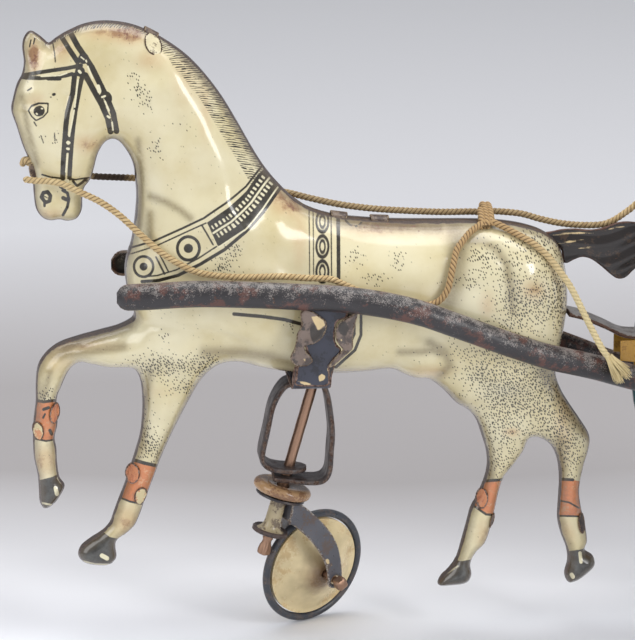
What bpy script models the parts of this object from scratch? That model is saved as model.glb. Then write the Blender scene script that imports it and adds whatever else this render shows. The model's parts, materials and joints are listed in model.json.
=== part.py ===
"""Clockwork horse and gig, an old tin toy, as separate pieces in metres with +Z up.

The horse faces -X and its near side is -Y. Places are measured from the axle line, which an empty
holds one wheel radius above the floor and back from the middle of the toy's length. Each piece that
moves hangs from an empty on its joint's axis.
"""

import math

import bmesh
import bpy
import numpy as np
from mathutils import Matrix, Vector
from mathutils.geometry import delaunay_2d_cdt

MM = 0.001

# Fits
SEAT_GAP = 0.3 * MM
RUNNING_GAP = 0.12 * MM
JOIN_LAP = 0.05 * MM

# Tin horse
HORSE_TIN = 0.5 * MM
SEAM_HALF_GAP = 0.15 * MM
RIM_RING = 1.7 * MM
RELIEF_STEP = 5.0 * MM
TAB_TIN = 0.5 * MM
TAIL_TIN = 1.0 * MM

# Shafts and bracket
SHAFT_HEIGHT = 6.6 * MM
SHAFT_DEPTH = 3.2 * MM
SHAFT_TIN = 0.6 * MM
BRACKET_TIN = 0.8 * MM
BRACKET_WIDTH = 9.8 * MM
BRACKET_FOOT_Z = 7.2 * MM
EAR_TIN = 0.6 * MM
STIRRUP_TIN = 1.4 * MM
STIRRUP_WIDTH = 8.8 * MM
TONGUE_TIN = 1.0 * MM
TONGUE_WIDTH = 9.6 * MM
RIVET_RADIUS = 1.2 * MM

# Caster
CASTER_RADIUS = 15.4 * MM
CASTER_TYRE = 1.0 * MM
CASTER_DISH = 5.5 * MM
CASTER_TIN = 0.6 * MM
CASTER_ARM_GAP = 3.2 * MM
CASTER_RAKE = math.radians(16)
CASTER_REST_TURN = math.radians(32)
PIN_RADIUS = 1.4 * MM
PIN_TOP_X = -148.2 * MM
PIN_CRIMP_RADIUS = 2.0 * MM
PIN_CRIMP_HEIGHT = 2.4 * MM
PIN_TO_WHEEL = 0.4 * MM
LUG_HALF_LENGTH = 2.4 * MM
LUG_TO_WHEEL = 1.0 * MM
WASHER_DROP = 3.0 * MM
FORK_TIN = 0.8 * MM
FORK_FLARE = 0.3
FORK_ARM_FOOT = 3.6 * MM
SPOOL_RADIUS = 2.0 * MM
SPOOL_FLANGE = 4.35 * MM
WASHER_RADIUS = 7.0 * MM
WASHER_TIN = 0.8 * MM
WASHER_DISH = 2.0 * MM
CASTER_AXLE_RADIUS = 1.0 * MM
CASTER_AXLE_HEAD = 1.8 * MM
CASTER_AXLE_END = 2.6 * MM

# Carriage wheels
WHEEL_RADIUS = 61.0 * MM
HALF_TRACK = 32.0 * MM
RIM_WIDTH = 3.2 * MM
RIM_DEPTH = 3.4 * MM
RIM_FOOT = 1.0 * MM
WEB_TIN = 1.2 * MM
SPOKES = 12
SPOKE_WIDTH = 3.0 * MM
HUB_DISC_RADIUS = 8.0 * MM
HUB_CAP_RADIUS = 5.0 * MM
HUB_CAP_HEIGHT = 2.6 * MM
AXLE_RADIUS = 1.5 * MM

# Clockwork
PLATE_TIN = 0.5 * MM
MOTOR_HALF_WIDTH = 4.9 * MM
GEAR_TIN = 0.8 * MM
SLOW_MODULE = 0.6 * MM
FAST_MODULE = 0.5 * MM
GREAT_TEETH = 50
INTERMEDIATE_TEETH = 40
PINION_TEETH = 10
MESH_GAP = 0.15 * MM
INTERMEDIATE_BEARING = math.radians(160)
GREAT_BEARING = math.radians(175)
ARBOR_RADIUS = 1.2 * MM
SPRING_TIN = 0.4 * MM
SPRING_WIDTH = 2.6 * MM
SPRING_TURNS = 8
SPRING_STEPS = 14
SPRING_RADIUS = 13.0 * MM
SPRING_TAIL = math.radians(60)
RATCHET_TEETH = 12
RATCHET_RADIUS = 4.6 * MM
RATCHET_STEP = 0.8 * MM
CLICK_PIVOT_RADIUS = 0.8 * MM
CLICK_REACH = 9.0 * MM
CLICK_BEARING = math.radians(50)
CLICK_TIP_BEARING = math.radians(5)
PILLAR_RADIUS = 1.0 * MM
PLATE_CORNER = 4.5 * MM
PLATE_MARGIN = 2.0 * MM
PLATE_TAIL = 15.0 * MM
NOSE_X = -70.9 * MM
NOSE_TOP = 15.4 * MM
NOSE_FOOT = 10.2 * MM
KEY_SLEEVE_RADIUS = 2.3 * MM
KEY_SLEEVE_LENGTH = 9.5 * MM
KEY_BOW_LENGTH = 19.0 * MM
KEY_BOW_WIDTH = 10.0 * MM
KEY_BOW_TIN = 1.2 * MM
KEY_BOW_SINK = 1.0 * MM

# Gig body
BODY_TIN = 0.8 * MM
BODY_HALF_WIDTH = 21.0 * MM
FLOOR_FRONT = -48.0 * MM
FLOOR_REAR = 32.0 * MM
DASH_HEIGHT = 31.0 * MM
DASH_LEAN = 9.0 * MM
SIDE_DROP = 8.0 * MM
SEAT_FRONT = -14.0 * MM
SEAT_HEIGHT = 17.0 * MM
ARM_HEIGHT = 23.0 * MM
BACK_HEIGHT = 24.0 * MM
BACK_LEAN = 8.0 * MM
RAIL_RADIUS = 0.9 * MM
RAIL_HEIGHT = 3.0 * MM
RAIL_HALF_WIDTH = 11.0 * MM

# Twine
TWINE = 1.75 * MM

# Horse outline in millimetres from the axle line, hand traced: ear, face, throat, raised foreleg,
# standing foreleg, belly, near hind leg, rear hind leg, rump, back and crest.
HORSE_OUTLINE = [
    (-212.5, 92.5), (-213.5, 93.2), (-215, 94.5), (-217, 95.5), (-218.5, 94), (-219, 91.5),
    (-218.7, 88), (-219.2, 85), (-220.5, 82.5), (-221.5, 79), (-222, 76), (-220.8, 72),
    (-219.5, 67.5), (-218, 63.5), (-217.2, 59.5), (-217, 55.5), (-216.5, 51.5), (-215, 49.2),
    (-213, 48.4), (-210.8, 48.6), (-208.8, 48.2), (-206.5, 48.8), (-205.2, 51), (-205, 54),
    (-204.5, 56.5), (-203, 58.5), (-202, 61.5), (-201, 65), (-199.5, 67.5), (-197.8, 68.5),
    (-196, 68), (-194, 65.5), (-192.5, 62.2), (-192, 58), (-191.8, 54), (-192.3, 48.5),
    (-193.2, 43), (-194.6, 38.5), (-194.9, 34.5), (-194, 28.5), (-192.8, 24),
    (-196, 21.6), (-201.5, 20.1), (-207, 18.7), (-211.5, 17.2), (-214.7, 14.8), (-216.8, 11.5),
    (-217.4, 7), (-217.5, 2.5), (-218.2, -3), (-218.4, -8), (-218.2, -12.5), (-217.4, -17),
    (-217.2, -21), (-217, -24), (-215.8, -25.6), (-213.6, -24.6), (-211.6, -22), (-210.7, -19.7),
    (-212, -17.5), (-212.5, -13.5), (-212.6, -10), (-213, -7.2), (-212.2, -3.5), (-212.3, 2.5),
    (-211, 6.2), (-209, 10.3), (-206.5, 12.2), (-203.5, 11.7), (-199.5, 10.8), (-195.8, 10.6),
    (-193, 10.2), (-191.6, 7.8), (-191, 4), (-191, -1), (-191.6, -6.5), (-193, -11.5),
    (-194.6, -16.5), (-196, -20.5), (-197.2, -23.5), (-198.4, -26.7), (-199.6, -29.9),
    (-201.7, -32.1), (-204.5, -33.9), (-207, -36), (-207.6, -38.4), (-206, -40.2),
    (-202.5, -41), (-199.5, -40.8), (-198, -39), (-198.2, -36.4), (-197.8, -34.5),
    (-195.5, -32.8), (-193.3, -30.7), (-192, -28), (-190.9, -25), (-189.4, -21),
    (-187.7, -16.5), (-186, -12), (-184, -7.5), (-181.8, -3), (-179.2, 2), (-176.6, 6.5),
    (-174, 9.4), (-170.8, 11.2), (-166.5, 11.4), (-161, 9.9), (-154, 8.6), (-145, 8),
    (-136, 8.2), (-129, 8.8), (-125.8, 7.6), (-122.5, 6.2), (-119, 5.8), (-115.6, 3.3),
    (-112, -0.5), (-108.7, -2.7), (-106.6, -5.5), (-105.2, -9.5), (-104, -13.5), (-103.7, -17.5),
    (-104.6, -21.5), (-106.2, -25.5), (-107.8, -28.5), (-108.7, -32), (-110, -37),
    (-111.2, -41.3), (-113, -44.3), (-115.3, -46.8), (-115.9, -49), (-112.5, -49.2),
    (-108.7, -48.6), (-107.4, -46.5), (-107.7, -43.5), (-106.3, -40.5), (-104, -38),
    (-102.5, -33.5), (-101.5, -29), (-100.6, -24.5), (-99.3, -20.5), (-97, -17.5),
    (-94.6, -14), (-93, -10.6), (-90, -10.7), (-87.2, -13), (-85.6, -17), (-85.1, -22),
    (-85.3, -27.5), (-85.4, -32), (-84.5, -36), (-83, -40), (-82.6, -43.5), (-83.3, -47),
    (-82.3, -49.3), (-80, -48.9), (-77.6, -47.2), (-75.6, -45), (-76, -42.5), (-78.2, -40.7),
    (-77.6, -38.3), (-78.2, -34), (-79.3, -29.5), (-79.9, -24.5), (-79, -18.5),
    (-77.7, -13.5), (-77.7, -10), (-80, -6), (-83, -1.5), (-85.3, 2.5), (-86.6, 7),
    (-85.7, 13), (-84.5, 20), (-84, 26), (-84.6, 33.5), (-86.3, 39.3), (-89.2, 42.4),
    (-93.5, 44.4), (-100, 45.8), (-108.5, 46.4), (-119, 46.6), (-130.5, 47), (-141.5, 48.2),
    (-148.5, 50.2), (-153, 53), (-157, 57), (-160.2, 61), (-163, 65.5), (-166.6, 72),
    (-170.4, 78.5), (-174.4, 84), (-178.7, 88.7), (-183.5, 92.4), (-188.4, 95.2), (-193.3, 97),
    (-199, 97.7), (-204, 97), (-208.3, 95.2), (-210.8, 93.7),
]

# Places on the horse in millimetres, each as x, z, half thickness there, width of the rounded edge
HORSE_FORM = [
    (-213, 51, 4.5, 6), (-212, 70, 6.5, 9), (-202, 70, 6.5, 8), (-216, 84, 5, 7),
    (-208, 90, 5, 6), (-217, 93, 1.6, 2.5), (-191, 92, 6, 8), (-188, 76, 8.5, 11),
    (-179, 62, 10, 13), (-174, 48, 12, 15), (-161, 58, 8, 10), (-181, 31, 13, 14),
    (-189.5, 31, 12, 11), (-152, 46, 11, 12), (-161, 27, 14, 15), (-138, 27, 14.5, 16),
    (-118, 30, 14, 15), (-101, 34, 13, 14), (-89, 27, 11.5, 12), (-101, 14, 12.5, 13),
    (-121, 13, 12, 12), (-114, 4, 9, 9), (-104, -6, 6, 6), (-84, -6, 5.5, 6),
    (-102, -17, 4, 4), (-80, -14, 4, 4), (-105, -25, 3, 3), (-82, -28, 3, 3),
    (-109, -41, 3, 3), (-80, -40, 3, 3), (-113, -48, 3.4, 3.5), (-78, -47, 3.4, 3.5),
    (-201, 15, 8, 8), (-176, 14, 10, 10), (-213, 12, 5.5, 6), (-215, 5, 4.5, 5),
    (-216, -5, 3, 3.2), (-215, -18, 3, 3.2), (-214, -24, 3.3, 3.4), (-184, 4, 6.5, 7),
    (-189, -8, 4.5, 5), (-192, -18, 3.4, 3.6), (-196, -30, 3, 3), (-204, -39, 3.3, 3.4),
]

# Tail outline in millimetres, from its root on the rump
TAIL_OUTLINE = [
    (-88.2, 42.6), (-85.6, 43.7), (-81, 45), (-76, 45.5), (-71, 45.1), (-67, 45.3),
    (-63, 43.6), (-59.5, 39.5), (-58, 34.5), (-60, 33.4), (-63, 34.6), (-66, 33.4),
    (-69, 30.2), (-72, 30.4), (-75, 32.6), (-79, 34.8), (-82.6, 36.2), (-83.9, 37.2),
    (-85.3, 40.1),
]

# Shaft route in millimetres: x, height of its middle, and its inner side's distance from the middle
SHAFT_ROUTE = [
    (-197.6, 32.6, 18.0), (-196.6, 32.7, 18.2), (-194.5, 32.8, 18.4), (-190, 32.9, 18.5),
    (-178, 33.3, 18.6), (-165, 32.8, 18.7), (-153, 32, 18.7), (-143, 31.2, 18.6),
    (-133, 29.6, 18.4), (-124, 27.3, 18.0), (-116, 24.2, 17.3), (-109, 21.3, 16.3),
    (-103, 18.7, 15.0), (-96, 15.8, 13.3), (-90, 13.5, 11.9), (-84, 11.6, 9.9),
    (-78, 9.6, 7.8), (-72, 7.4, 6.0), (-66, 5.6, 5.25), (-60, 4.7, 5.2), (-53, 4.2, 5.2),
]

# Half of the bracket's route in millimetres: distance from the middle, height over its foot, share of
# its width, and how far forward or back its middle lies from the foot's
BRACKET_ROUTE = [
    (17.9, 26.4, 0.54, 2.6), (17.9, 19.3, 0.54, 2.6), (17.6, 14.3, 0.54, 2.4),
    (17.2, 10.3, 0.75, 1.6), (16.8, 6.8, 1.0, 0.6), (16.3, 4.0, 1.0, 0), (14.8, 1.4, 1.0, 0),
    (12.0, 0.2, 1.0, 0), (6.0, 0, 1.0, 0),
]
BRACKET_X = -149.8 * MM

# Outline in millimetres of the two-lobed ear across each of the bracket's necks
EAR_OUTLINE = [
    (-151.8, 26.4), (-149.6, 27.3), (-147.6, 26.8), (-145.8, 26.6), (-143.2, 26.4), (-140.8, 25.2),
    (-140.2, 22.8), (-141.5, 20.9), (-143.4, 19.8), (-144.0, 17.4), (-144.4, 14.6), (-146.0, 14.4),
    (-146.4, 18.0), (-146.6, 22.6), (-147.8, 23.4), (-149.0, 21.8), (-149.8, 18.4), (-150.4, 16.4),
    (-152.0, 14.9), (-153.8, 15.4), (-154.2, 17.2), (-153.2, 19.0), (-152.6, 21.2), (-152.4, 23.6),
]

# Stirrup strap in millimetres: x, z of its front leg up from the upper layer's end, and of its rear
# leg down to the lower layer's end; its top lies under the bracket
STIRRUP_FRONT = [
    (-149.8, -16.95), (-153.2, -16.85), (-156.5, -16.6), (-159.2, -15.9), (-160.9, -14.3),
    (-161.1, -12.0), (-159.8, -6.0), (-158.5, 0.0), (-156.4, 4.1),
]
STIRRUP_REAR = [
    (-145.2, 4.1), (-144.4, 1.0), (-143.8, -3.5), (-143.5, -7.5), (-143.8, -12.0), (-144.2, -17.0),
    (-145.4, -19.2), (-147.6, -19.9), (-151.7, -19.6), (-155.4, -19.1), (-158.2, -18.7),
]
STIRRUP_TOP = [-154.2, -150.4, -146.6]

# Tongue strap in millimetres: x, z from the rump seam down to the motor frame's nose, then x alone
TONGUE_ROUTE = [(-83.9, 22.3), (-80, 21.2), (-74.5, 18.8), (-70.5, 16.8)]
TONGUE_TOP = [-67.5, -63.0, -58.0]

# Tabs folded over the top seam: x, z and half length in millimetres, and lean in degrees
SEAM_TABS = [
    ("seam_tab_crest", -187.6, 94.9, 2.0, 28),
    ("seam_tab_front", -141.6, 48.6, 2.2, 8),
    ("seam_tab_rear", -131.5, 47.5, 2.4, 3),
]
TAB_HALF_REACH = 2.0 * MM

# Twine routes in millimetres, chosen by hand over the horse and between what the reins are tied to
REIN_ROUTES = {
    "rein_far_front": [
        (-219.4, 5.7, 62.3), (-217.6, 5.9, 61.5), (-215.0, 6.4, 60.2), (-210.3, 7.4, 58.8),
        (-202.4, 7.8, 57.6), (-197.2, 8.4, 57.1), (-192.0, 9.4, 56.6), (-185.4, 11.7, 55.6),
        (-180.0, 12.9, 55.0), (-175.3, 13.4, 54.4), (-170.0, 12.9, 54.0), (-165.5, 11.4, 53.6),
        (-161.0, 10.2, 53.3), (-157.5, 8.8, 53.0), (-153.3, 6.0, 52.7), (-148.4, 4.2, 51.7),
        (-141.0, 3.5, 50.1), (-133.5, 3.3, 49.0), (-125.9, 3.3, 48.3), (-115.9, 3.3, 47.7),
        (-107.8, 3.3, 47.6),
    ],
    "rein_far_back": [
        (-102.6, 3.3, 47.6), (-95.7, 3.3, 46.9), (-90.6, 3.4, 45.4), (-85.5, 3.4, 44.2),
        (-80.4, 3.3, 43.6), (-75.3, 3.2, 43.6), (-72.3, 3.0, 44.5), (-69.8, 2.8, 46.1),
        (-66.5, 2.6, 48.7), (-62.9, 2.3, 53.0), (-60.6, 2.1, 56.8),
    ],
    "rein_near_front": [
        (-219.5, -5.7, 59.9), (-216.5, -6.3, 59.6), (-213.5, -6.7, 59.5), (-210.6, -7.0, 59.0),
        (-208.2, -6.9, 57.9), (-205.7, -6.8, 56.6), (-200.9, -7.2, 54.2), (-196.1, -8.2, 50.8),
        (-191.3, -9.9, 46.4), (-186.7, -12.4, 42.6), (-181.9, -14.2, 39.7), (-177.1, -14.9, 37.6),
        (-169.8, -15.5, 36.6), (-163.6, -15.9, 36.5), (-157.6, -16.1, 36.6), (-151.3, -16.2, 36.1),
        (-145.4, -16.3, 35.7), (-142.0, -16.4, 34.3), (-136.0, -16.5, 31.6), (-128.0, -16.4, 29.3),
        (-121.5, -16.1, 28.6), (-118.3, -15.9, 29.6), (-116.4, -15.8, 32.1), (-115.7, -15.5, 34.5),
        (-115.1, -14.8, 36.9), (-114.5, -13.7, 39.1), (-113.8, -12.3, 41.3), (-112.9, -11.0, 42.7),
        (-112.0, -10.0, 43.6), (-110.8, -8.5, 44.8), (-109.4, -6.8, 45.9), (-107.8, -4.8, 46.9),
        (-106.4, -3.1, 47.6),
    ],
    "rein_near_back": [
        (-103.8, -3.1, 47.6), (-100.8, -4.6, 46.7), (-97.4, -6.6, 45.2), (-93.6, -8.7, 43.2),
        (-90.0, -10.0, 39.8), (-87.5, -10.7, 35.9), (-85.8, -10.9, 32.5), (-83.8, -11.1, 29.0),
        (-79.9, -11.4, 21.1), (-76.9, -11.8, 15.4), (-75.0, -11.9, 12.8),
    ],
}

# Knot over the back in millimetres: its middle and half sizes
KNOT_PLACE = (-105.2, 2.0, 48.2)
KNOT_HALF_SIZE = (2.2, 3.8, 1.6)

# Frayed end of the near rein at the near shaft: its top in millimetres, and its lean in degrees
TASSEL_TOP = (-74.7, -11.9, 12.2)
TASSEL_LEAN = -35
TASSEL_LENGTH = 8.0 * MM
TASSEL_RADIUS = 1.9 * MM

LOOKS = {
    "horse": ((0.86, 0.82, 0.62), 0.3, 0.2),
    "black": ((0.05, 0.045, 0.04), 0.4, 0.3),
    "bare": ((0.33, 0.28, 0.26), 0.5, 0.6),
    "steel": ((0.30, 0.20, 0.15), 0.6, 0.7),
    "tan": ((0.55, 0.42, 0.25), 0.5, 0.3),
    "cream": ((0.80, 0.74, 0.58), 0.4, 0.2),
    "dark": ((0.10, 0.11, 0.12), 0.4, 0.4),
    "ochre": ((0.70, 0.48, 0.12), 0.35, 0.3),
    "brass": ((0.75, 0.60, 0.28), 0.35, 0.9),
    "spring": ((0.16, 0.18, 0.24), 0.35, 0.9),
    "teal": ((0.06, 0.16, 0.17), 0.4, 0.2),
    "maroon": ((0.32, 0.07, 0.06), 0.4, 0.2),
    "twine": ((0.62, 0.48, 0.28), 0.9, 0.0),
}


def in_metres(points):
    """Turns points typed in millimetres into metres."""
    return [tuple(value * MM for value in point) for point in points]


def side_on(a, b, depth):
    """Puts a flat outline in the XZ plane, with its depth along Y."""
    return (a, depth, b)


def from_above(a, b, depth):
    """Puts a flat outline in the XY plane, with its depth along Z."""
    return (a, b, depth)


def material(name, look):
    """Makes a piece's own Principled material from one of the looks."""
    colour, roughness, metallic = LOOKS[look]
    made = bpy.data.materials.new(name)
    made.use_nodes = True
    shader = made.node_tree.nodes["Principled BSDF"]
    shader.inputs["Base Color"].default_value = (*colour, 1)
    shader.inputs["Roughness"].default_value = roughness
    shader.inputs["Metallic"].default_value = metallic
    made.diffuse_color = (*colour, 1)
    return made


def empty(name, parent=None, place=(0, 0, 0), turn=(0, 0, 0)):
    """Makes an empty that carries a joint's axis or the whole toy."""
    made = bpy.data.objects.new(name, None)
    made.empty_display_size = 5 * MM
    return placed(made, parent, place, turn)


def placed(made, parent, place, turn):
    """Links an object to the scene under its parent."""
    bpy.context.scene.collection.objects.link(made)
    made.parent = parent
    made.location = place
    made.rotation_euler = turn
    return made


def piece(name, bm, look, parent, place=(0, 0, 0), turn=(0, 0, 0)):
    """Turns a bmesh into a named piece with its own material, shaded smooth up to its edges."""
    bmesh.ops.recalc_face_normals(bm, faces=bm.faces)
    mesh = bpy.data.meshes.new(name)
    bm.to_mesh(mesh)
    bm.free()
    mesh.shade_smooth()
    mesh.set_sharp_from_angle(angle=math.radians(32))
    mesh.materials.append(material(name, look))
    return placed(bpy.data.objects.new(name, mesh), parent, place, turn)


def boolean(target, bm, operation, parent=None, place=(0, 0, 0), turn=(0, 0, 0)):
    """Cuts a tool out of a piece, or joins it on, with a hidden tool object."""
    bmesh.ops.recalc_face_normals(bm, faces=bm.faces)
    mesh = bpy.data.meshes.new(f"{target.name}_tool")
    bm.to_mesh(mesh)
    bm.free()
    tool = placed(bpy.data.objects.new(mesh.name, mesh), parent or target.parent, place, turn)
    tool.hide_render = True
    tool.display_type = "WIRE"
    modifier = target.modifiers.new(operation.title(), "BOOLEAN")
    modifier.operation = operation
    modifier.object = tool


def circle(radius, steps, centre=(0, 0)):
    """Points round a circle."""
    turns = [2 * math.pi * i / steps for i in range(steps)]
    return [(centre[0] + radius * math.cos(t), centre[1] + radius * math.sin(t)) for t in turns]


def crossings(points, loops):
    """Counts for each point the outline edges that a ray along +X crosses."""
    count = np.zeros(len(points), int)
    for loop in loops:
        start = np.asarray(loop, float)
        end = np.roll(start, -1, axis=0)
        for (x0, y0), (x1, y1) in zip(start, end):
            spans = (y0 > points[:, 1]) != (y1 > points[:, 1])
            reach = x0 + (points[:, 1] - y0) * (x1 - x0) / (y1 - y0 if y1 != y0 else 1)
            count += spans & (points[:, 0] < reach)
    return count


def triangulated(loops, inner=()):
    """Triangles of a flat outline with holes; returns its points, their loops' indices and faces."""
    flat = [Vector((p[0] / MM, p[1] / MM)) for loop in loops for p in loop]
    flat += [Vector((p[0] / MM, p[1] / MM)) for p in inner]
    edges = []
    start = 0
    for loop in loops:
        edges += [(start + i, start + (i + 1) % len(loop)) for i in range(len(loop))]
        start += len(loop)
    points, _, faces, sources, _, _ = delaunay_2d_cdt(flat, edges, [], 0, 1e-6)
    index = {source: i for i, found in enumerate(sources) for source in found}
    points = np.array([tuple(p) for p in points]) * MM
    middles = np.array([points[list(face)].mean(axis=0) for face in faces])
    keep = crossings(middles, loops) % 2 == 1
    rings = []
    start = 0
    for loop in loops:
        rings.append([index[start + i] for i in range(len(loop))])
        start += len(loop)
    return points, rings, [face for face, kept in zip(faces, keep) if kept]


def plate(loops, low, high, axes=side_on):
    """A flat plate: the first loop is its outline, the others are holes."""
    points, rings, faces = triangulated(loops)
    bm = bmesh.new()
    bottom = [bm.verts.new(axes(*p, low)) for p in points]
    top = [bm.verts.new(axes(*p, high)) for p in points]
    for face in faces:
        bm.faces.new([bottom[i] for i in reversed(face)])
        bm.faces.new([top[i] for i in face])
    for ring in rings:
        for i, j in zip(ring, ring[1:] + ring[:1]):
            bm.faces.new([bottom[i], bottom[j], top[j], top[i]])
    return bm


def loft(sections):
    """A solid through equal rings of points, closed by a face at each end."""
    bm = bmesh.new()
    rings = [[bm.verts.new(p) for p in section] for section in sections]
    for ring, after in zip(rings, rings[1:]):
        for i in range(len(ring)):
            j = (i + 1) % len(ring)
            bm.faces.new([ring[i], ring[j], after[j], after[i]])
    bm.faces.new(rings[0])
    bm.faces.new(rings[-1])
    return bm


def turned(profile, steps):
    """A solid turned about Z from a closed profile of radius and height."""
    bm = bmesh.new()
    verts = [bm.verts.new((radius, 0, height)) for radius, height in profile]
    edges = [bm.edges.new((a, b)) for a, b in zip(verts, verts[1:] + verts[:1])
             if a.co.x > 0 or b.co.x > 0]
    bmesh.ops.spin(bm, geom=verts + edges, cent=(0, 0, 0), axis=(0, 0, 1), angle=2 * math.pi,
                   steps=steps, use_merge=True, use_duplicate=False)
    bmesh.ops.remove_doubles(bm, verts=bm.verts, dist=0.002 * MM)
    return bm


def rod(radius, low, high, steps=16):
    """A round rod along Z."""
    return turned([(0, high), (radius, high), (radius, low), (0, low)], steps)


def band(route, width):
    """The closed outline of a flat strip of one width along a route of 2-D points."""
    points = np.asarray(route, float)
    along = np.gradient(points, axis=0)
    along /= np.linalg.norm(along, axis=1)[:, None]
    out = np.stack([-along[:, 1], along[:, 0]], axis=1) * width / 2
    return [tuple(p) for p in points + out] + [tuple(p) for p in (points - out)[::-1]]


def smooth(route, spacing):
    """Points at one spacing along a smooth curve through a route's own points."""
    points = np.asarray(route, float)
    ends = np.vstack([2 * points[0] - points[1], points, 2 * points[-1] - points[-2]])
    t = np.linspace(0, 1, 12, endpoint=False)[:, None]
    curve = []
    for p0, p1, p2, p3 in zip(ends, ends[1:], ends[2:], ends[3:]):
        curve.append(0.5 * (2 * p1 + (p2 - p0) * t + (2 * p0 - 5 * p1 + 4 * p2 - p3) * t ** 2
                            + (3 * p1 - p0 - 3 * p2 + p3) * t ** 3))
    curve = np.vstack([*curve, points[-1:]])
    length = np.concatenate([[0], np.cumsum(np.linalg.norm(np.diff(curve, axis=0), axis=1))])
    even = np.linspace(0, length[-1], max(3, round(length[-1] / spacing) + 1))
    return np.stack([np.interp(even, length, curve[:, i]) for i in range(curve.shape[1])], axis=1)


def cord(name, route, parent):
    """A length of twine as a filled tube along its route."""
    curve = bpy.data.curves.new(name, "CURVE")
    curve.dimensions = "3D"
    curve.bevel_depth = TWINE / 2
    curve.bevel_resolution = 2
    curve.use_fill_caps = True
    line = curve.splines.new("POLY")
    points = smooth(in_metres(route), 2.5 * TWINE)
    line.points.add(len(points) - 1)
    for point, place in zip(line.points, points):
        point.co = (*place, 1)
    curve.materials.append(material(name, "twine"))
    return placed(bpy.data.objects.new(name, curve), parent, (0, 0, 0), (0, 0, 0))


def reins(toy):
    """The twine reins with the knot over the back and the frayed end at the near shaft."""
    for name, route in REIN_ROUTES.items():
        cord(name, route, toy)
    knot = turned([(math.sin(t), math.cos(t)) for t in np.linspace(0, math.pi, 9)], 14)
    half_x, half_y, half_z = (half * MM for half in KNOT_HALF_SIZE)
    knot.transform(Matrix.Diagonal((half_x, half_y, half_z, 1)))
    piece("rein_knot", knot, "twine", toy, in_metres([KNOT_PLACE])[0])
    profile = [(0, 0), (TWINE * 0.55, 0), (TWINE * 0.7, -TASSEL_LENGTH * 0.25),
               (TASSEL_RADIUS, -TASSEL_LENGTH), (0, -TASSEL_LENGTH)]
    piece("rein_tassel", turned(profile, 14), "twine", toy, in_metres([TASSEL_TOP])[0],
          (0, math.radians(TASSEL_LEAN), 0))


def edge_distance(points, outline):
    """Distance in a plane from each point to the nearest edge of an outline."""
    start = np.asarray(outline, float)
    run = np.roll(start, -1, axis=0) - start
    offset = points[:, None, :] - start[None]
    share = (offset * run).sum(axis=2) / (run ** 2).sum(axis=1)
    near = offset - np.clip(share, 0, 1)[..., None] * run
    return np.sqrt((near ** 2).sum(axis=2)).min(axis=1)


def horse_form(points):
    """Half thickness and rounded edge's width at places on the horse, blended from HORSE_FORM."""
    form = np.array(HORSE_FORM) * MM
    far = ((points[:, None, :] - form[None, :, :2]) ** 2).sum(axis=2)
    weight = 1 / (far + (3 * MM) ** 2) ** 2
    weight /= weight.sum(axis=1)[:, None]
    return weight @ form[:, 2], weight @ form[:, 3]


def horse_relief(points, outline, wall=0.0):
    """Height of the horse's outer face over its seam, or of its inner face with the wall taken off."""
    depth, rounding = horse_form(points)
    inward = np.clip((edge_distance(points, outline) - wall) / (rounding - wall), 0, 1)
    return SEAM_HALF_GAP + (depth - wall) * np.sqrt(1 - (1 - inward) ** 2)


def outline_inset(outline, distance):
    """Each point of an anticlockwise or clockwise outline moved inwards along its corner's bisector."""
    points = np.asarray(outline, float)
    before = points - np.roll(points, 1, axis=0)
    after = np.roll(points, -1, axis=0) - points
    before /= np.linalg.norm(before, axis=1)[:, None]
    after /= np.linalg.norm(after, axis=1)[:, None]
    mean = before + after
    mean /= np.linalg.norm(mean, axis=1)[:, None]
    turn = np.sign((points[:, 0] * np.roll(points[:, 1], -1)
                    - np.roll(points[:, 0], -1) * points[:, 1]).sum())
    return points + np.stack([-mean[:, 1], mean[:, 0]], axis=1) * turn * distance


def horse_half(name, side, toy):
    """One pressed tin half of the horse: a shell from the seam out to its rounded relief."""
    outline = np.array(in_metres(HORSE_OUTLINE))
    lip = outline_inset(outline, HORSE_TIN)
    ring = outline_inset(outline, RIM_RING)
    low, high = outline.min(axis=0), outline.max(axis=0)
    grid = np.stack(np.meshgrid(np.arange(low[0], high[0], RELIEF_STEP),
                                np.arange(low[1], high[1], RELIEF_STEP)), axis=-1).reshape(-1, 2)
    grid = grid[crossings(grid, [outline]) % 2 == 1]
    grid = grid[edge_distance(grid, outline) > RIM_RING + RELIEF_STEP * 0.4]
    ring = ring[edge_distance(ring, outline) > RIM_RING * 0.75][::2]
    points, rings, faces = triangulated([lip], np.vstack([ring, grid]))
    outer = horse_relief(points, outline)
    inner = horse_relief(points, outline, HORSE_TIN)
    inner[rings[0]] = SEAM_HALF_GAP
    bm = bmesh.new()
    rim = [bm.verts.new((x, side * SEAM_HALF_GAP, z)) for x, z in outline]
    top = [bm.verts.new((x, side * y, z)) for (x, z), y in zip(points, outer)]
    bottom = [bm.verts.new((x, side * y, z)) for (x, z), y in zip(points, inner)]
    for face in faces:
        bm.faces.new([top[i] for i in face])
        bm.faces.new([bottom[i] for i in reversed(face)])
    for i, (a, b) in enumerate(zip(rings[0], rings[0][1:] + rings[0][:1])):
        j = (i + 1) % len(rim)
        bm.faces.new([rim[i], rim[j], top[b], top[a]])
        bm.faces.new([rim[j], rim[i], bottom[a], bottom[b]])
    return piece(name, bm, "horse", toy)


def seam_tabs(toy):
    """The small tabs folded over the top seam, on the crest and on the back."""
    for name, x, z, half, turn in SEAM_TABS:
        half = half * MM
        flat = [(-half, 0), (half, 0), (half, TAB_TIN), (-half, TAB_TIN)]
        piece(name, plate([flat], -TAB_HALF_REACH, TAB_HALF_REACH), "bare", toy,
              (x * MM, 0, z * MM), (0, math.radians(turn), 0))


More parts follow.
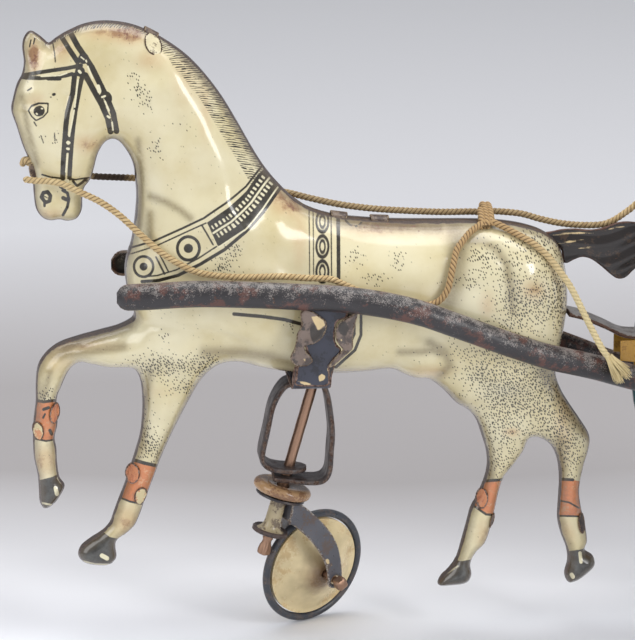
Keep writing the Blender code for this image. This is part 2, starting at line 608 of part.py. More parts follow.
def tail(toy):
    """The flat stamped tail."""
    return piece("tail", plate([in_metres(TAIL_OUTLINE)], -TAIL_TIN / 2, TAIL_TIN / 2), "black", toy)


def shaft(name, side, toy):
    """One half-round tin shaft, open towards the horse, with a rounded tip."""
    route = in_metres(SHAFT_ROUTE)
    turns = np.linspace(-math.pi / 2, math.pi / 2, 6)
    sections = []
    for x, z, inner in route:
        grown = min(1, 0.3 + (x - route[0][0]) / (SHAFT_HEIGHT / 2))
        share = math.sqrt(1 - (1 - grown) ** 2)
        depth, half = SHAFT_DEPTH * share, SHAFT_HEIGHT / 2 * share
        outside = [(x, side * (inner + depth * math.cos(t)), z + half * math.sin(t)) for t in turns]
        depth, half = depth - SHAFT_TIN, half - SHAFT_TIN
        inside = [(x, side * (inner + depth * math.cos(t)), z + half * math.sin(t)) for t in turns]
        sections.append(outside + inside[::-1])
    return piece(name, loft(sections), "black", toy)


def shaft_at(x):
    """Height of a shaft's middle and its inner side's distance from the toy's middle, at one x."""
    route = np.array(in_metres(SHAFT_ROUTE))
    return np.interp(x, route[:, 0], route[:, 1]), np.interp(x, route[:, 0], route[:, 2])


def strap(route, tin, width):
    """A bent strap of one width across Y along a route of x and z."""
    return plate([band(route, tin)], -width / 2, width / 2)


def bracket(toy):
    """The U-shaped strap that carries the horse between the shafts, narrower at its necks."""
    half = in_metres(BRACKET_ROUTE)
    route = [(-y, z, share / MM, shift) for y, z, share, shift in half]
    route += [(y, z, share / MM, shift) for y, z, share, shift in half[::-1]]
    middle = np.array([(y, z + BRACKET_FOOT_Z) for y, z, _, _ in route])
    along = np.gradient(middle, axis=0)
    along /= np.linalg.norm(along, axis=1)[:, None]
    out = np.stack([-along[:, 1], along[:, 0]], axis=1) * BRACKET_TIN / 2
    sections = []
    for (_, _, share, shift), upper, lower in zip(route, middle + out, middle - out):
        x0 = BRACKET_X + shift - BRACKET_WIDTH * share / 2
        x1 = BRACKET_X + shift + BRACKET_WIDTH * share / 2
        sections.append([(x0, *upper), (x1, *upper), (x1, *lower), (x0, *lower)])
    return piece("shaft_bracket", loft(sections), "dark", toy)


def bracket_neck_side():
    """Distance from the middle to the bracket's outer face at its necks."""
    return BRACKET_ROUTE[0][0] * MM + BRACKET_TIN / 2


def bracket_fasteners(toy):
    """The ears outside the bracket's necks, and the rivets that hold its ends in the shafts."""
    inner = bracket_neck_side() + SEAT_GAP
    neck_x = BRACKET_X + BRACKET_ROUTE[0][3] * MM
    height, side_gap = shaft_at(neck_x)
    outer = side_gap + SHAFT_DEPTH - SHAFT_TIN - 2 * SEAT_GAP
    place = (neck_x, 0, height)
    for name, side in (("near", -1), ("far", 1)):
        faces = sorted((side * inner, side * (inner + EAR_TIN)))
        piece(f"bracket_ear_{name}", plate([in_metres(EAR_OUTLINE)], *faces), "dark", toy)
        piece(f"bracket_rivet_{name}", rod(RIVET_RADIUS, inner, outer, 12), "steel", toy, place,
              (-side * math.pi / 2, 0, 0))


def stirrup_top():
    """Height of the middle of the stirrup strap's top, seated under the bracket."""
    return BRACKET_FOOT_Z - BRACKET_TIN / 2 - SEAT_GAP - STIRRUP_TIN / 2


def stirrup(toy, pin_axis):
    """The bent strap that hangs under the bracket and guides the swivel pin."""
    top = [(x * MM, stirrup_top()) for x in STIRRUP_TOP]
    route = in_metres(STIRRUP_FRONT) + top + in_metres(STIRRUP_REAR)
    made = piece("stirrup_strap", strap(route, STIRRUP_TIN, STIRRUP_WIDTH), "dark", toy)
    layers = [z * MM for _, z in STIRRUP_FRONT[:3] + STIRRUP_REAR[-3:]]
    low = along_pin(min(layers) - 2 * STIRRUP_TIN)
    high = along_pin(max(layers) + 2 * STIRRUP_TIN)
    boolean(made, rod(PIN_RADIUS + SEAT_GAP, low, high), "DIFFERENCE", pin_axis)


def trail():
    """Distance of the caster wheel's middle from the swivel axis."""
    return CASTER_RADIUS + PIN_RADIUS + PIN_TO_WHEEL


def lower_lug():
    """Height along the swivel axis of the lower lug's underside, clear of the wheel."""
    reach = trail() - LUG_HALF_LENGTH
    return math.sqrt((CASTER_RADIUS + LUG_TO_WHEEL) ** 2 - reach ** 2)


def upper_lug():
    """Height along the swivel axis of the upper lug's underside, which puts the dished washer under
    the stirrup strap."""
    under_strap = min(z for _, z in STIRRUP_REAR) * MM - STIRRUP_TIN / 2
    return along_pin(under_strap) - WASHER_DROP - SEAT_GAP - FORK_TIN


def swivel_foot():
    """Where the swivel axis comes nearest to the caster wheel's middle, which puts it on the floor."""
    lean = math.sin(CASTER_REST_TURN) * math.sin(CASTER_RAKE)
    low = (CASTER_RADIUS - CASTER_TYRE) * math.sqrt(1 - lean ** 2) + CASTER_TYRE
    z = low - WHEEL_RADIUS + trail() * math.cos(CASTER_REST_TURN) * math.sin(CASTER_RAKE)
    return PIN_TOP_X - (pin_top() - z) * math.tan(CASTER_RAKE), 0, z


def pin_top():
    """Height of the swivel pin's top, seated under the stirrup's top."""
    return stirrup_top() - STIRRUP_TIN / 2 - SEAT_GAP - PIN_RADIUS * math.sin(CASTER_RAKE)


def along_pin(z):
    """Distance up the swivel axis from its foot to a height."""
    return (z - swivel_foot()[2]) / math.cos(CASTER_RAKE)


def swivel_pin(pin_axis):
    """The long pin, crimped over under the lower lug."""
    top = along_pin(pin_top())
    crimp = lower_lug() - SEAT_GAP
    profile = [(0, top), (PIN_RADIUS, top), (PIN_RADIUS, crimp), (PIN_CRIMP_RADIUS, crimp),
               (PIN_CRIMP_RADIUS, crimp - PIN_CRIMP_HEIGHT), (0, crimp - PIN_CRIMP_HEIGHT)]
    return piece("swivel_pin", turned(profile, 16), "steel", pin_axis)


def dished_washer(pin_axis):
    """The dished washer on the upper lug."""
    low = upper_lug() + FORK_TIN + SEAT_GAP
    bore = PIN_RADIUS + SEAT_GAP
    profile = [(bore, low + WASHER_DISH + WASHER_TIN), (WASHER_RADIUS, low + WASHER_TIN),
               (WASHER_RADIUS, low), (bore, low + WASHER_DISH)]
    return piece("dished_washer", turned(profile, 24), "tan", pin_axis)


def fork_arm_side():
    """Distance from the caster wheel's middle plane to a fork arm's inner face."""
    return SEAM_HALF_GAP + CASTER_DISH + CASTER_TIN + CASTER_ARM_GAP


def arc_between(start, pull, end, steps=7):
    """Points along a curve from start to end, drawn towards a third point."""
    shares = [i / (steps - 1) for i in range(steps)]
    return [tuple((1 - t) ** 2 * a + 2 * t * (1 - t) * b + t ** 2 * c
                  for a, b, c in zip(start, pull, end)) for t in shares]


def flared(bm, slope):
    """Leans the two sides of an arm's plate in towards the middle plane as it rises."""
    for vert in bm.verts:
        vert.co.y -= math.copysign(slope * vert.co.z, vert.co.y)
    return bm


def caster_fork(swivel):
    """The fork: two lugs on the pin and an arm that flares out down each side of the wheel."""
    low, high = lower_lug(), upper_lug() + FORK_TIN
    reach, foot, back = trail(), FORK_ARM_FOOT / 2, LUG_HALF_LENGTH * 0.8
    under = arc_between((back, low), (reach * 0.72, low + back / 2), (reach - foot, 0))
    eye = [(reach - foot * math.cos(t), -foot * math.sin(t)) for t in np.linspace(0.4, 2.7, 6)]
    over = arc_between((reach + foot, 0), (reach * 0.85, high * 0.7), (back, high))
    outline = [(back / 8, low), *under, *eye, *over, (back / 8, high)]
    hole = circle(CASTER_AXLE_RADIUS + SEAT_GAP, 12, (reach, 0))
    inner, outer = fork_arm_side(), fork_arm_side() + FORK_TIN
    arm = flared(plate([outline, hole], inner, outer), FORK_FLARE)
    made = piece("caster_fork", arm, "dark", swivel)
    boolean(made, flared(plate([outline, hole], -outer, -inner), FORK_FLARE), "UNION", swivel)
    bore = circle(PIN_RADIUS + RUNNING_GAP, 16)
    for height in (low, high - FORK_TIN):
        half, side = LUG_HALF_LENGTH, outer - FORK_FLARE * (height + FORK_TIN) - JOIN_LAP
        lug = [(-half, -side), (half, -side), (half, side), (-half, side)]
        flat = plate([lug, bore], height + JOIN_LAP, height + FORK_TIN - JOIN_LAP, from_above)
        boolean(made, flat, "UNION", swivel)


def caster_spool(swivel):
    """The spool on the pin between the lugs."""
    low, high = lower_lug() + FORK_TIN + SEAT_GAP, upper_lug() - SEAT_GAP
    bore, lip = PIN_RADIUS + RUNNING_GAP, (high - low) * 0.1
    profile = [(bore, high), (SPOOL_RADIUS, high), (SPOOL_RADIUS, low + 3 * lip),
               (SPOOL_RADIUS + lip / 2, low + lip), (SPOOL_FLANGE, low + lip), (SPOOL_FLANGE, low),
               (bore, low)]
    return piece("caster_spool", turned(profile, 20), "cream", swivel)


def caster_wheel(swivel):
    """The caster's axle in the fork, and its wheel of two dished discs inside a rolled tyre."""
    along = (math.pi / 2, 0, 0)
    end = fork_arm_side() + FORK_TIN + SEAT_GAP + FORK_FLARE * CASTER_AXLE_HEAD
    head = end + CASTER_AXLE_END
    profile = [(0, head), (CASTER_AXLE_HEAD, head), (CASTER_AXLE_HEAD, end), (CASTER_AXLE_RADIUS, end),
               (CASTER_AXLE_RADIUS, -end), (CASTER_AXLE_HEAD, -end), (CASTER_AXLE_HEAD, -head),
               (0, -head)]
    hub = empty("caster_hub", swivel, (trail(), 0, 0), along)
    piece("caster_axle", turned(profile, 12), "steel", hub)
    bore = CASTER_AXLE_RADIUS + RUNNING_GAP
    rim = CASTER_RADIUS - 2 * CASTER_TYRE - SEAT_GAP
    low, high = SEAM_HALF_GAP, SEAM_HALF_GAP + CASTER_DISH
    disc = [(bore, high + CASTER_TIN), (rim, low + CASTER_TIN), (rim, low), (bore, high)]
    piece("caster_near_disc", turned(disc, 32), "cream", hub)
    piece("caster_far_disc", turned([(r, -z) for r, z in disc[::-1]], 32), "cream", hub)
    ring = [(CASTER_RADIUS - CASTER_TYRE + a, b) for a, b in circle(CASTER_TYRE, 8)]
    piece("caster_tyre", turned(ring[::-1], 32), "dark", hub)


def tongue(toy):
    """The flat strap from the horse's rump to the top of the motor frame."""
    height = NOSE_TOP + SEAT_GAP + TONGUE_TIN / 2
    route = in_metres(TONGUE_ROUTE) + [(x * MM, height) for x in TONGUE_TOP]
    return piece("tongue_strap", strap(route, TONGUE_TIN, TONGUE_WIDTH), "bare", toy)


def intermediate_place():
    """Middle of the intermediate arbor, in mesh with the axle's pinion."""
    apart = FAST_MODULE * (PINION_TEETH + INTERMEDIATE_TEETH) / 2 + MESH_GAP
    return apart * math.cos(INTERMEDIATE_BEARING), apart * math.sin(INTERMEDIATE_BEARING)


def great_place():
    """Middle of the great wheel, in mesh with the intermediate pinion."""
    apart = SLOW_MODULE * (PINION_TEETH + GREAT_TEETH) / 2 + MESH_GAP
    x, z = intermediate_place()
    return x + apart * math.cos(GREAT_BEARING), z + apart * math.sin(GREAT_BEARING)


def tip_radius(module, teeth):
    """Outer radius of a gear."""
    return module * (teeth + 2) / 2


def motor_edges():
    """The motor plate's front, rear, foot and top."""
    x, z = great_place()
    reach = tip_radius(SLOW_MODULE, GREAT_TEETH) + PLATE_MARGIN
    return x - reach, PLATE_TAIL, z - reach, z + reach


def motor_plate(name, side, toy):
    """One side plate of the motor, whose nose runs forward between the shafts."""
    front, rear, foot, top = motor_edges()
    step = PLATE_CORNER
    outline = [(NOSE_X, NOSE_FOOT), (NOSE_X, NOSE_TOP), (front - step, NOSE_TOP), (front, top - step),
               (front + step, top), (rear - step, top), (rear, top - step), (rear, foot + 2 * step),
               (rear - step, foot + step), (front + 2 * step, foot), (front, foot + step),
               (front - 2 * step, foot + 3 * step), (NOSE_X + 1.5 * step, foot + 3 * step),
               (NOSE_X + step, NOSE_FOOT - step / 9)]
    holes = [circle(AXLE_RADIUS + RUNNING_GAP, 20),
             circle(ARBOR_RADIUS + RUNNING_GAP, 16, intermediate_place()),
             circle(ARBOR_RADIUS + RUNNING_GAP, 16, great_place())]
    faces = sorted((side * MOTOR_HALF_WIDTH, side * (MOTOR_HALF_WIDTH - PLATE_TIN)))
    return piece(name, plate([outline, *holes], *faces), "ochre", toy)


def pillar_places():
    """Middles of the four pillars, clear of the gears."""
    front, rear, foot, top = motor_edges()
    step = PLATE_CORNER
    return [(front - 0.8 * step, NOSE_TOP - step), (rear - step, top - 1.3 * step),
            (rear - 1.2 * step, foot + 2.2 * step), (front + 0.8 * step, foot + step)]


def motor_pillars(toy):
    """The pillars that space the motor's plates."""
    end = MOTOR_HALF_WIDTH - PLATE_TIN - SEAT_GAP
    for i, (x, z) in enumerate(pillar_places()):
        piece(f"motor_pillar_{i + 1}", rod(PILLAR_RADIUS, -end, end, 12), "steel", toy, (x, 0, z),
              (math.pi / 2, 0, 0))


def gear(module, teeth, turn=0.0):
    """The outline of a gear, turned by a share of one tooth."""
    root, tip = module * (teeth - 2.4) / 2, tip_radius(module, teeth)
    points = []
    for tooth in range(teeth):
        for share, radius in ((-0.29, root), (-0.13, tip), (0.13, tip), (0.29, root)):
            angle = 2 * math.pi * (tooth + share + turn) / teeth
            points.append((radius * math.cos(angle), radius * math.sin(angle)))
    return points


def mesh_turn(teeth, bearing, other_teeth, other_turn):
    """The turn that puts a gear in mesh with another, which lies at a bearing from it."""
    other = (bearing + math.pi) / (2 * math.pi) * other_teeth - other_turn
    return bearing / (2 * math.pi) * teeth + other + 0.5


def gear_train(toy):
    """The great wheel, the intermediate arbor and the axle's pinion, in mesh at rest."""
    far_inner = MOTOR_HALF_WIDTH - PLATE_TIN
    great_low = far_inner - SEAT_GAP - GEAR_TIN
    wheel_low = -far_inner + 2 * SEAT_GAP + GEAR_TIN
    along = (math.pi / 2, 0, 0)

    gx, gz = great_place()
    great = empty("great_axis", toy, (gx, 0, gz))
    bore = circle(ARBOR_RADIUS + RUNNING_GAP, 16)
    pivot = click_place()
    outline = gear(SLOW_MODULE, GREAT_TEETH)
    piece("great_wheel", plate([outline, bore, circle(CLICK_PIVOT_RADIUS + SEAT_GAP, 10, pivot)],
                               great_low, great_low + GEAR_TIN), "brass", great)

    ix, iz = intermediate_place()
    middle = empty("intermediate_axis", toy, (ix, 0, iz))
    piece("intermediate_arbor", rod(ARBOR_RADIUS, -MOTOR_HALF_WIDTH - SEAT_GAP,
                                    MOTOR_HALF_WIDTH + SEAT_GAP), "steel", middle, turn=along)
    core = circle(ARBOR_RADIUS + SEAT_GAP, 16)
    turn = mesh_turn(PINION_TEETH, GREAT_BEARING, GREAT_TEETH, 0)
    piece("intermediate_pinion", plate([gear(SLOW_MODULE, PINION_TEETH, turn), core],
                                       great_low - SEAT_GAP / 2, far_inner - SEAT_GAP / 2),
          "brass", middle)
    piece("intermediate_wheel", plate([gear(FAST_MODULE, INTERMEDIATE_TEETH), core],
                                      wheel_low, wheel_low + GEAR_TIN), "brass", middle)

    turn = mesh_turn(PINION_TEETH, INTERMEDIATE_BEARING, INTERMEDIATE_TEETH, 0)
    axle = empty("axle_axis", toy)
    core = circle(AXLE_RADIUS + SEAT_GAP, 16)
    piece("axle_pinion", plate([gear(FAST_MODULE, PINION_TEETH, turn), core],
                               wheel_low - SEAT_GAP, wheel_low + GEAR_TIN + SEAT_GAP), "brass", axle)
    return great, axle


def click_place():
    """Middle of the click's pivot from the great wheel's middle."""
    return CLICK_REACH * math.cos(CLICK_BEARING), CLICK_REACH * math.sin(CLICK_BEARING)


def ratchet_layer():
    """Near and far faces of the ratchet and its click, beside the great wheel."""
    far = MOTOR_HALF_WIDTH - PLATE_TIN - 2 * SEAT_GAP - GEAR_TIN
    return far - GEAR_TIN, far


def winding_work(toy, great):
    """The arbor with its ratchet and key, the click on the great wheel, and the mainspring."""
    along = (math.pi / 2, 0, 0)
    near, far = ratchet_layer()
    end = MOTOR_HALF_WIDTH + SEAT_GAP
    high = end + KEY_SLEEVE_LENGTH - KEY_BOW_SINK - SEAT_GAP
    piece("winding_arbor", rod(ARBOR_RADIUS, -end, high), "steel", great, turn=along)
    root = RATCHET_RADIUS - RATCHET_STEP
    teeth = []
    for tooth in range(RATCHET_TEETH):
        for share, radius in ((0, root), (0.5, root + RATCHET_STEP / 2), (0.98, RATCHET_RADIUS)):
            angle = 2 * math.pi * (tooth + share) / RATCHET_TEETH
            teeth.append((radius * math.cos(angle), radius * math.sin(angle)))
    core = circle(ARBOR_RADIUS + SEAT_GAP, 16)
    piece("ratchet_wheel", plate([teeth, core], near, far), "steel", great)

    px, pz = click_place()
    pivot = empty("click_axis", great, (px, 0, pz))
    reach = root + SEAT_GAP
    tip = (reach * math.cos(CLICK_TIP_BEARING) - px, reach * math.sin(CLICK_TIP_BEARING) - pz)
    facing = math.atan2(tip[1], tip[0])
    round_eye = 2 * CLICK_PIVOT_RADIUS
    eye = [(round_eye * math.cos(facing + t), round_eye * math.sin(facing + t))
           for t in np.linspace(1.4, 2 * math.pi - 1.4, 10)]
    hole = circle(CLICK_PIVOT_RADIUS + RUNNING_GAP, 10)
    piece("click", plate([[tip, *eye], hole], near, far), "steel", pivot)
    rivet = rod(CLICK_PIVOT_RADIUS, -MOTOR_HALF_WIDTH + PLATE_TIN + SEAT_GAP, -near + SEAT_GAP, 10)
    piece("click_rivet", rivet, "steel", great, (px, 0, pz), along)

    piece("mainspring", mainspring(near - 2 * SEAT_GAP), "spring", toy, great.location)
    key(great, along, end)


def mainspring(far):
    """The mainspring: a flat spiral from the arbor out to a pillar."""
    inner = ARBOR_RADIUS + SEAT_GAP + SPRING_TIN / 2
    gx, gz = great_place()
    px, pz = pillar_places()[3]
    bearing = math.atan2(pz - gz, px - gx)
    apart = math.hypot(px - gx, pz - gz) - PILLAR_RADIUS - SEAT_GAP - SPRING_TIN
    steps = SPRING_STEPS * SPRING_TURNS
    route = []
    for i in range(steps + 1):
        radius = inner + (SPRING_RADIUS - inner) * i / steps
        angle = bearing - SPRING_TAIL + 2 * math.pi * (i - steps) / SPRING_STEPS
        route.append((radius * math.cos(angle), radius * math.sin(angle)))
    for share in (0.35, 0.7, 1.0):
        radius = SPRING_RADIUS + (apart - SPRING_RADIUS) * share ** 2
        angle = bearing - SPRING_TAIL * (1 - share)
        route.append((radius * math.cos(angle), radius * math.sin(angle)))
    return plate([band(route, SPRING_TIN)], far - SPRING_WIDTH, far)


def key(great, along, start):
    """The winding key: a sleeve on the arbor's end with a flat oval bow."""
    bore = ARBOR_RADIUS + SEAT_GAP
    end = start + KEY_SLEEVE_LENGTH
    profile = [(bore, end), (KEY_SLEEVE_RADIUS, end), (KEY_SLEEVE_RADIUS, start), (bore, start)]
    made = piece("winding_key", turned(profile, 20), "steel", great, turn=along)
    half_long, half_wide = KEY_BOW_LENGTH / 2, KEY_BOW_WIDTH / 2
    middle = end + half_wide - KEY_BOW_SINK
    bow = [(half_long * math.cos(t), middle + half_wide * math.sin(t))
           for t in np.linspace(0, 2 * math.pi, 24, endpoint=False)]
    boolean(made, plate([bow], -KEY_BOW_TIN / 2, KEY_BOW_TIN / 2), "UNION", great, turn=along)


def spoke_gap(index):
    """One gap between two spokes, from the hub disc to the rim."""
    inner, outer = HUB_DISC_RADIUS, WHEEL_RADIUS - RIM_DEPTH - RIM_FOOT
    points = []
    for radius, steps in ((inner, 3), (outer, 7)):
        margin = math.asin(SPOKE_WIDTH / 2 / radius)
        start = 2 * math.pi * index / SPOKES + margin
        end = 2 * math.pi * (index + 1) / SPOKES - margin
        arc = [(radius * math.cos(t), radius * math.sin(t)) for t in np.linspace(start, end, steps)]
        points += arc if radius == inner else arc[::-1]
    return points


def carriage_wheel(name, side, axle):
    """A pressed tin wheel: flat spokes inside a deeper rim, with a hub sleeve."""
    middle = side * HALF_TRACK
    web = [circle(WHEEL_RADIUS - RIM_DEPTH / 2, 72), circle(AXLE_RADIUS + SEAT_GAP, 16)]
    web += [spoke_gap(i) for i in range(SPOKES)]
    made = piece(name, plate(web, middle - WEB_TIN / 2, middle + WEB_TIN / 2), "teal", axle)
    half, soft = RIM_WIDTH / 2, RIM_WIDTH / 4
    rim = [(WHEEL_RADIUS - soft, half), (WHEEL_RADIUS, half - soft), (WHEEL_RADIUS, soft - half),
           (WHEEL_RADIUS - soft, -half), (WHEEL_RADIUS - RIM_DEPTH, -half),
           (WHEEL_RADIUS - RIM_DEPTH, half)]
    boolean(made, turned(rim, 72), "UNION", axle, (0, middle, 0), (math.pi / 2, 0, 0))


def hub(name, side, axle):
    """A turned hub cap on the axle's end."""
    low = HALF_TRACK + WEB_TIN / 2 + SEAT_GAP
    top = low + HUB_CAP_HEIGHT
    bore = AXLE_RADIUS + SEAT_GAP
    profile = [(0, top), (HUB_CAP_RADIUS * 0.5, top - HUB_CAP_HEIGHT * 0.15),
               (HUB_CAP_RADIUS * 0.87, top - HUB_CAP_HEIGHT * 0.5), (HUB_CAP_RADIUS, low),
               (bore, low), (bore, top - HUB_CAP_HEIGHT * 0.5), (0, top - HUB_CAP_HEIGHT * 0.5)]
    return piece(name, turned(profile, 24), "brass", axle, turn=(-side * math.pi / 2, 0, 0))


def running_gear(axle):
    """The axle with its two wheels and hub caps."""
    end = HALF_TRACK + WEB_TIN / 2 + HUB_CAP_HEIGHT * 0.5
    piece("axle", rod(AXLE_RADIUS, -end, end, 20), "steel", axle, turn=(math.pi / 2, 0, 0))
    for name, side in (("near", -1), ("far", 1)):
        carriage_wheel(f"wheel_{name}", side, axle)
        hub(f"hub_cap_{name}", side, axle)


def floor_height():
    """Height of the floor pan's underside, on top of the motor's plates."""
    return motor_edges()[3] + SEAT_GAP


def gig_body(toy):
    """The gig's body on the motor: floor, sides, dash with its rein rail, and seat."""
    floor = floor_height()
    inside = BODY_HALF_WIDTH - BODY_TIN - SEAT_GAP
    deck = floor + BODY_TIN + SEAT_GAP
    pan = [(FLOOR_FRONT, -inside), (FLOOR_REAR, -inside), (FLOOR_REAR, inside), (FLOOR_FRONT, inside)]
    piece("floor_pan", plate([pan], floor, floor + BODY_TIN, from_above), "maroon", toy)

    seat = deck + SEAT_HEIGHT
    arm = deck + ARM_HEIGHT
    rear = FLOOR_REAR + BODY_TIN
    dash_foot, dash_top = (FLOOR_FRONT, deck), (FLOOR_FRONT - DASH_LEAN, deck + DASH_HEIGHT)
    side = [(FLOOR_FRONT - BODY_TIN, floor)]
    side += arc_between((FLOOR_FRONT / 2, floor - SIDE_DROP), (0, floor - SIDE_DROP * 1.4),
                        (FLOOR_REAR / 2, floor - SIDE_DROP), 4)
    side += [(rear, floor), (rear + BACK_LEAN * 0.4, seat)]
    side += arc_between((rear + BACK_LEAN * 0.6, arm), (SEAT_FRONT, arm + SIDE_DROP / 4),
                        (SEAT_FRONT - BODY_TIN, arm - SIDE_DROP / 2), 6)
    side += arc_between((SEAT_FRONT - SIDE_DROP, deck + SIDE_DROP),
                        (FLOOR_FRONT + SIDE_DROP, deck + SIDE_DROP / 2),
                        (FLOOR_FRONT - DASH_LEAN * 0.4 + BODY_TIN, deck + DASH_HEIGHT * 0.5), 7)
    side += [(FLOOR_FRONT - DASH_LEAN * 0.5 - BODY_TIN, deck + DASH_HEIGHT * 0.5)]
    for name, sign in (("near", -1), ("far", 1)):
        faces = sorted((sign * BODY_HALF_WIDTH, sign * (BODY_HALF_WIDTH - BODY_TIN)))
        piece(f"body_side_{name}", plate([side], *faces), "maroon", toy)

    dash = arc_between(dash_foot, (FLOOR_FRONT, deck + DASH_HEIGHT / 2), dash_top, 6)
    piece("dash_panel", strap(dash, BODY_TIN, 2 * inside), "maroon", toy)
    front = [(SEAT_FRONT, deck), (SEAT_FRONT, seat - BODY_TIN / 2 - SEAT_GAP)]
    piece("seat_front", strap(front, BODY_TIN, 2 * inside), "maroon", toy)
    pan = [(SEAT_FRONT - BODY_TIN, -inside), (FLOOR_REAR - SEAT_GAP, -inside),
           (FLOOR_REAR - SEAT_GAP, inside), (SEAT_FRONT - BODY_TIN, inside)]
    piece("seat_pan", plate([pan], seat - BODY_TIN / 2, seat + BODY_TIN / 2, from_above), "maroon", toy)
    back = [(rear, floor + BODY_TIN)]
    back += arc_between((rear, seat), (rear, seat + BACK_HEIGHT / 2),
                        (rear + BACK_LEAN, seat + BACK_HEIGHT), 6)
    piece("seat_back", strap(back, BODY_TIN, 2 * inside), "maroon", toy)
    rein_rail(toy, dash_top[0], dash_top[1] + SEAT_GAP)


def rein_rail(toy, x, foot):
    """The wire rail over the dash that the reins are tied to."""
    high, wide, bend = foot + RAIL_HEIGHT, RAIL_HALF_WIDTH, 1.5 * RAIL_RADIUS
    half = [(wide, foot), (wide, high - bend), (wide - bend * 0.3, high - bend * 0.3),
            (wide - bend, high)]
    route = [(-y, z) for y, z in half] + half[::-1]
    curve = bpy.data.curves.new("rein_rail", "CURVE")
    curve.dimensions = "3D"
    curve.bevel_depth = RAIL_RADIUS
    curve.bevel_resolution = 2
    curve.use_fill_caps = True
    line = curve.splines.new("POLY")
    line.points.add(len(route) - 1)
    for point, (y, z) in zip(line.points, route):
        point.co = (x, y, z, 1)
    curve.materials.append(material("rein_rail", "brass"))
    return placed(bpy.data.objects.new("rein_rail", curve), toy, (0, 0, 0), (0, 0, 0))


def build():
    """Builds the toy."""
    for obj in list(bpy.context.scene.objects):
        bpy.data.objects.remove(obj, do_unlink=True)
    nose = min(x for x, _ in HORSE_OUTLINE) * MM
    toy = empty("toy", place=(-(nose + WHEEL_RADIUS) / 2, 0, WHEEL_RADIUS))
    horse_half("horse_near_half", -1, toy)
    horse_half("horse_far_half", 1, toy)
    seam_tabs(toy)
    tail(toy)
    shaft("shaft_near", -1, toy)
    shaft("shaft_far", 1, toy)
    bracket(toy)
    bracket_fasteners(toy)
    pin_axis = empty("pin_axis", toy, swivel_foot(), (0, CASTER_RAKE, 0))
    swivel = empty("swivel", pin_axis, turn=(0, 0, CASTER_REST_TURN))
    stirrup(toy, pin_axis)
    swivel_pin(pin_axis)
    dished_washer(pin_axis)
    caster_fork(swivel)
    caster_spool(swivel)
    caster_wheel(swivel)
    tongue(toy)
    motor_plate("motor_plate_near", -1, toy)
    motor_plate("motor_plate_far", 1, toy)
    motor_pillars(toy)
    great, axle = gear_train(toy)
    winding_work(toy, great)
    running_gear(axle)
    gig_body(toy)
    reins(toy)


build()
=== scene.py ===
"""Looks of the clockwork horse and gig, dressed over the packed model in its own frame."""

import json
import logging
import math
from dataclasses import dataclass
from enum import Enum
from typing import Callable, Sequence

import bmesh
import bpy
import numpy as np
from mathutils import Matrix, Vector
from mathutils.geometry import delaunay_2d_cdt

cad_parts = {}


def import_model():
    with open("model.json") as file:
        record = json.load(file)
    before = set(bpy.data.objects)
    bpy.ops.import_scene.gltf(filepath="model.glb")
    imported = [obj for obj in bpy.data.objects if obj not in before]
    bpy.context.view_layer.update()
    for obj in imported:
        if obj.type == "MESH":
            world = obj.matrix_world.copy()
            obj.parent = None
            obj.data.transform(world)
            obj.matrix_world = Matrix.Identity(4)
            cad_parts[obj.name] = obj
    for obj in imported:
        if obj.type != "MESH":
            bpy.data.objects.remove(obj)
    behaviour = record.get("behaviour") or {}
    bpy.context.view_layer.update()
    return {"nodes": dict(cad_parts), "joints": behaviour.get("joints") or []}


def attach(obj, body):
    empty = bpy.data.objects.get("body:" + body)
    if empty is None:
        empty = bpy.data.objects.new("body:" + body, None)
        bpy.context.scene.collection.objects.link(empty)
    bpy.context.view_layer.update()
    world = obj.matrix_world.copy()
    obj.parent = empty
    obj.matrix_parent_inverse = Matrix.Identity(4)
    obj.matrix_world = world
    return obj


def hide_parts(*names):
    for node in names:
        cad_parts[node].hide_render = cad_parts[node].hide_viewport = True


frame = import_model()
log = logging.getLogger("gig")

MM = 0.001
AXLE_LINE = np.array([80.5, 0.0, 61.0]) * MM

Array = np.ndarray
Colour = tuple[float, float, float, float]
Points = Sequence[tuple[float, ...]]
Line = tuple[float, Points]

SIDES = (("near", -1), ("far", 1))
FAR_OUTSIDE = -9.0


def srgb(red: int, green: int, blue: int) -> Colour:
    """A colour as a picture shows it, turned into the shader's linear numbers.

    Args:
        red: Red from 0 to 255.
        green: Green from 0 to 255.
        blue: Blue from 0 to 255.

    Returns:
        The linear colour with full cover.
    """
    parts = np.array([red, green, blue]) / 255
    linear = np.where(parts <= 0.04045, parts / 12.92, ((parts + 0.055) / 1.055) ** 2.4)
    return (*(float(part) for part in linear), 1.0)


def from_axle(points: Points | Array) -> Array:
    """Points in millimetres from the axle line, turned into metres in the toy's frame.

    Args:
        points: Places of three numbers each.

    Returns:
        The same places in metres.
    """
    return np.asarray(points, float) * MM + AXLE_LINE


def side_places(points: Points | Array) -> Array:
    """Pairs of x and height in millimetres from the axle line, turned into metres.

    Args:
        points: Places of two numbers each.

    Returns:
        The same pairs in metres in the toy's frame.
    """
    return np.asarray(points, float) * MM + AXLE_LINE[[0, 2]]


# Lines and outlines


def lengths_along(path: Array) -> Array:
    """Length along a path up to each of its points."""
    return np.concatenate([[0], np.cumsum(np.linalg.norm(np.diff(path, axis=0), axis=1))])


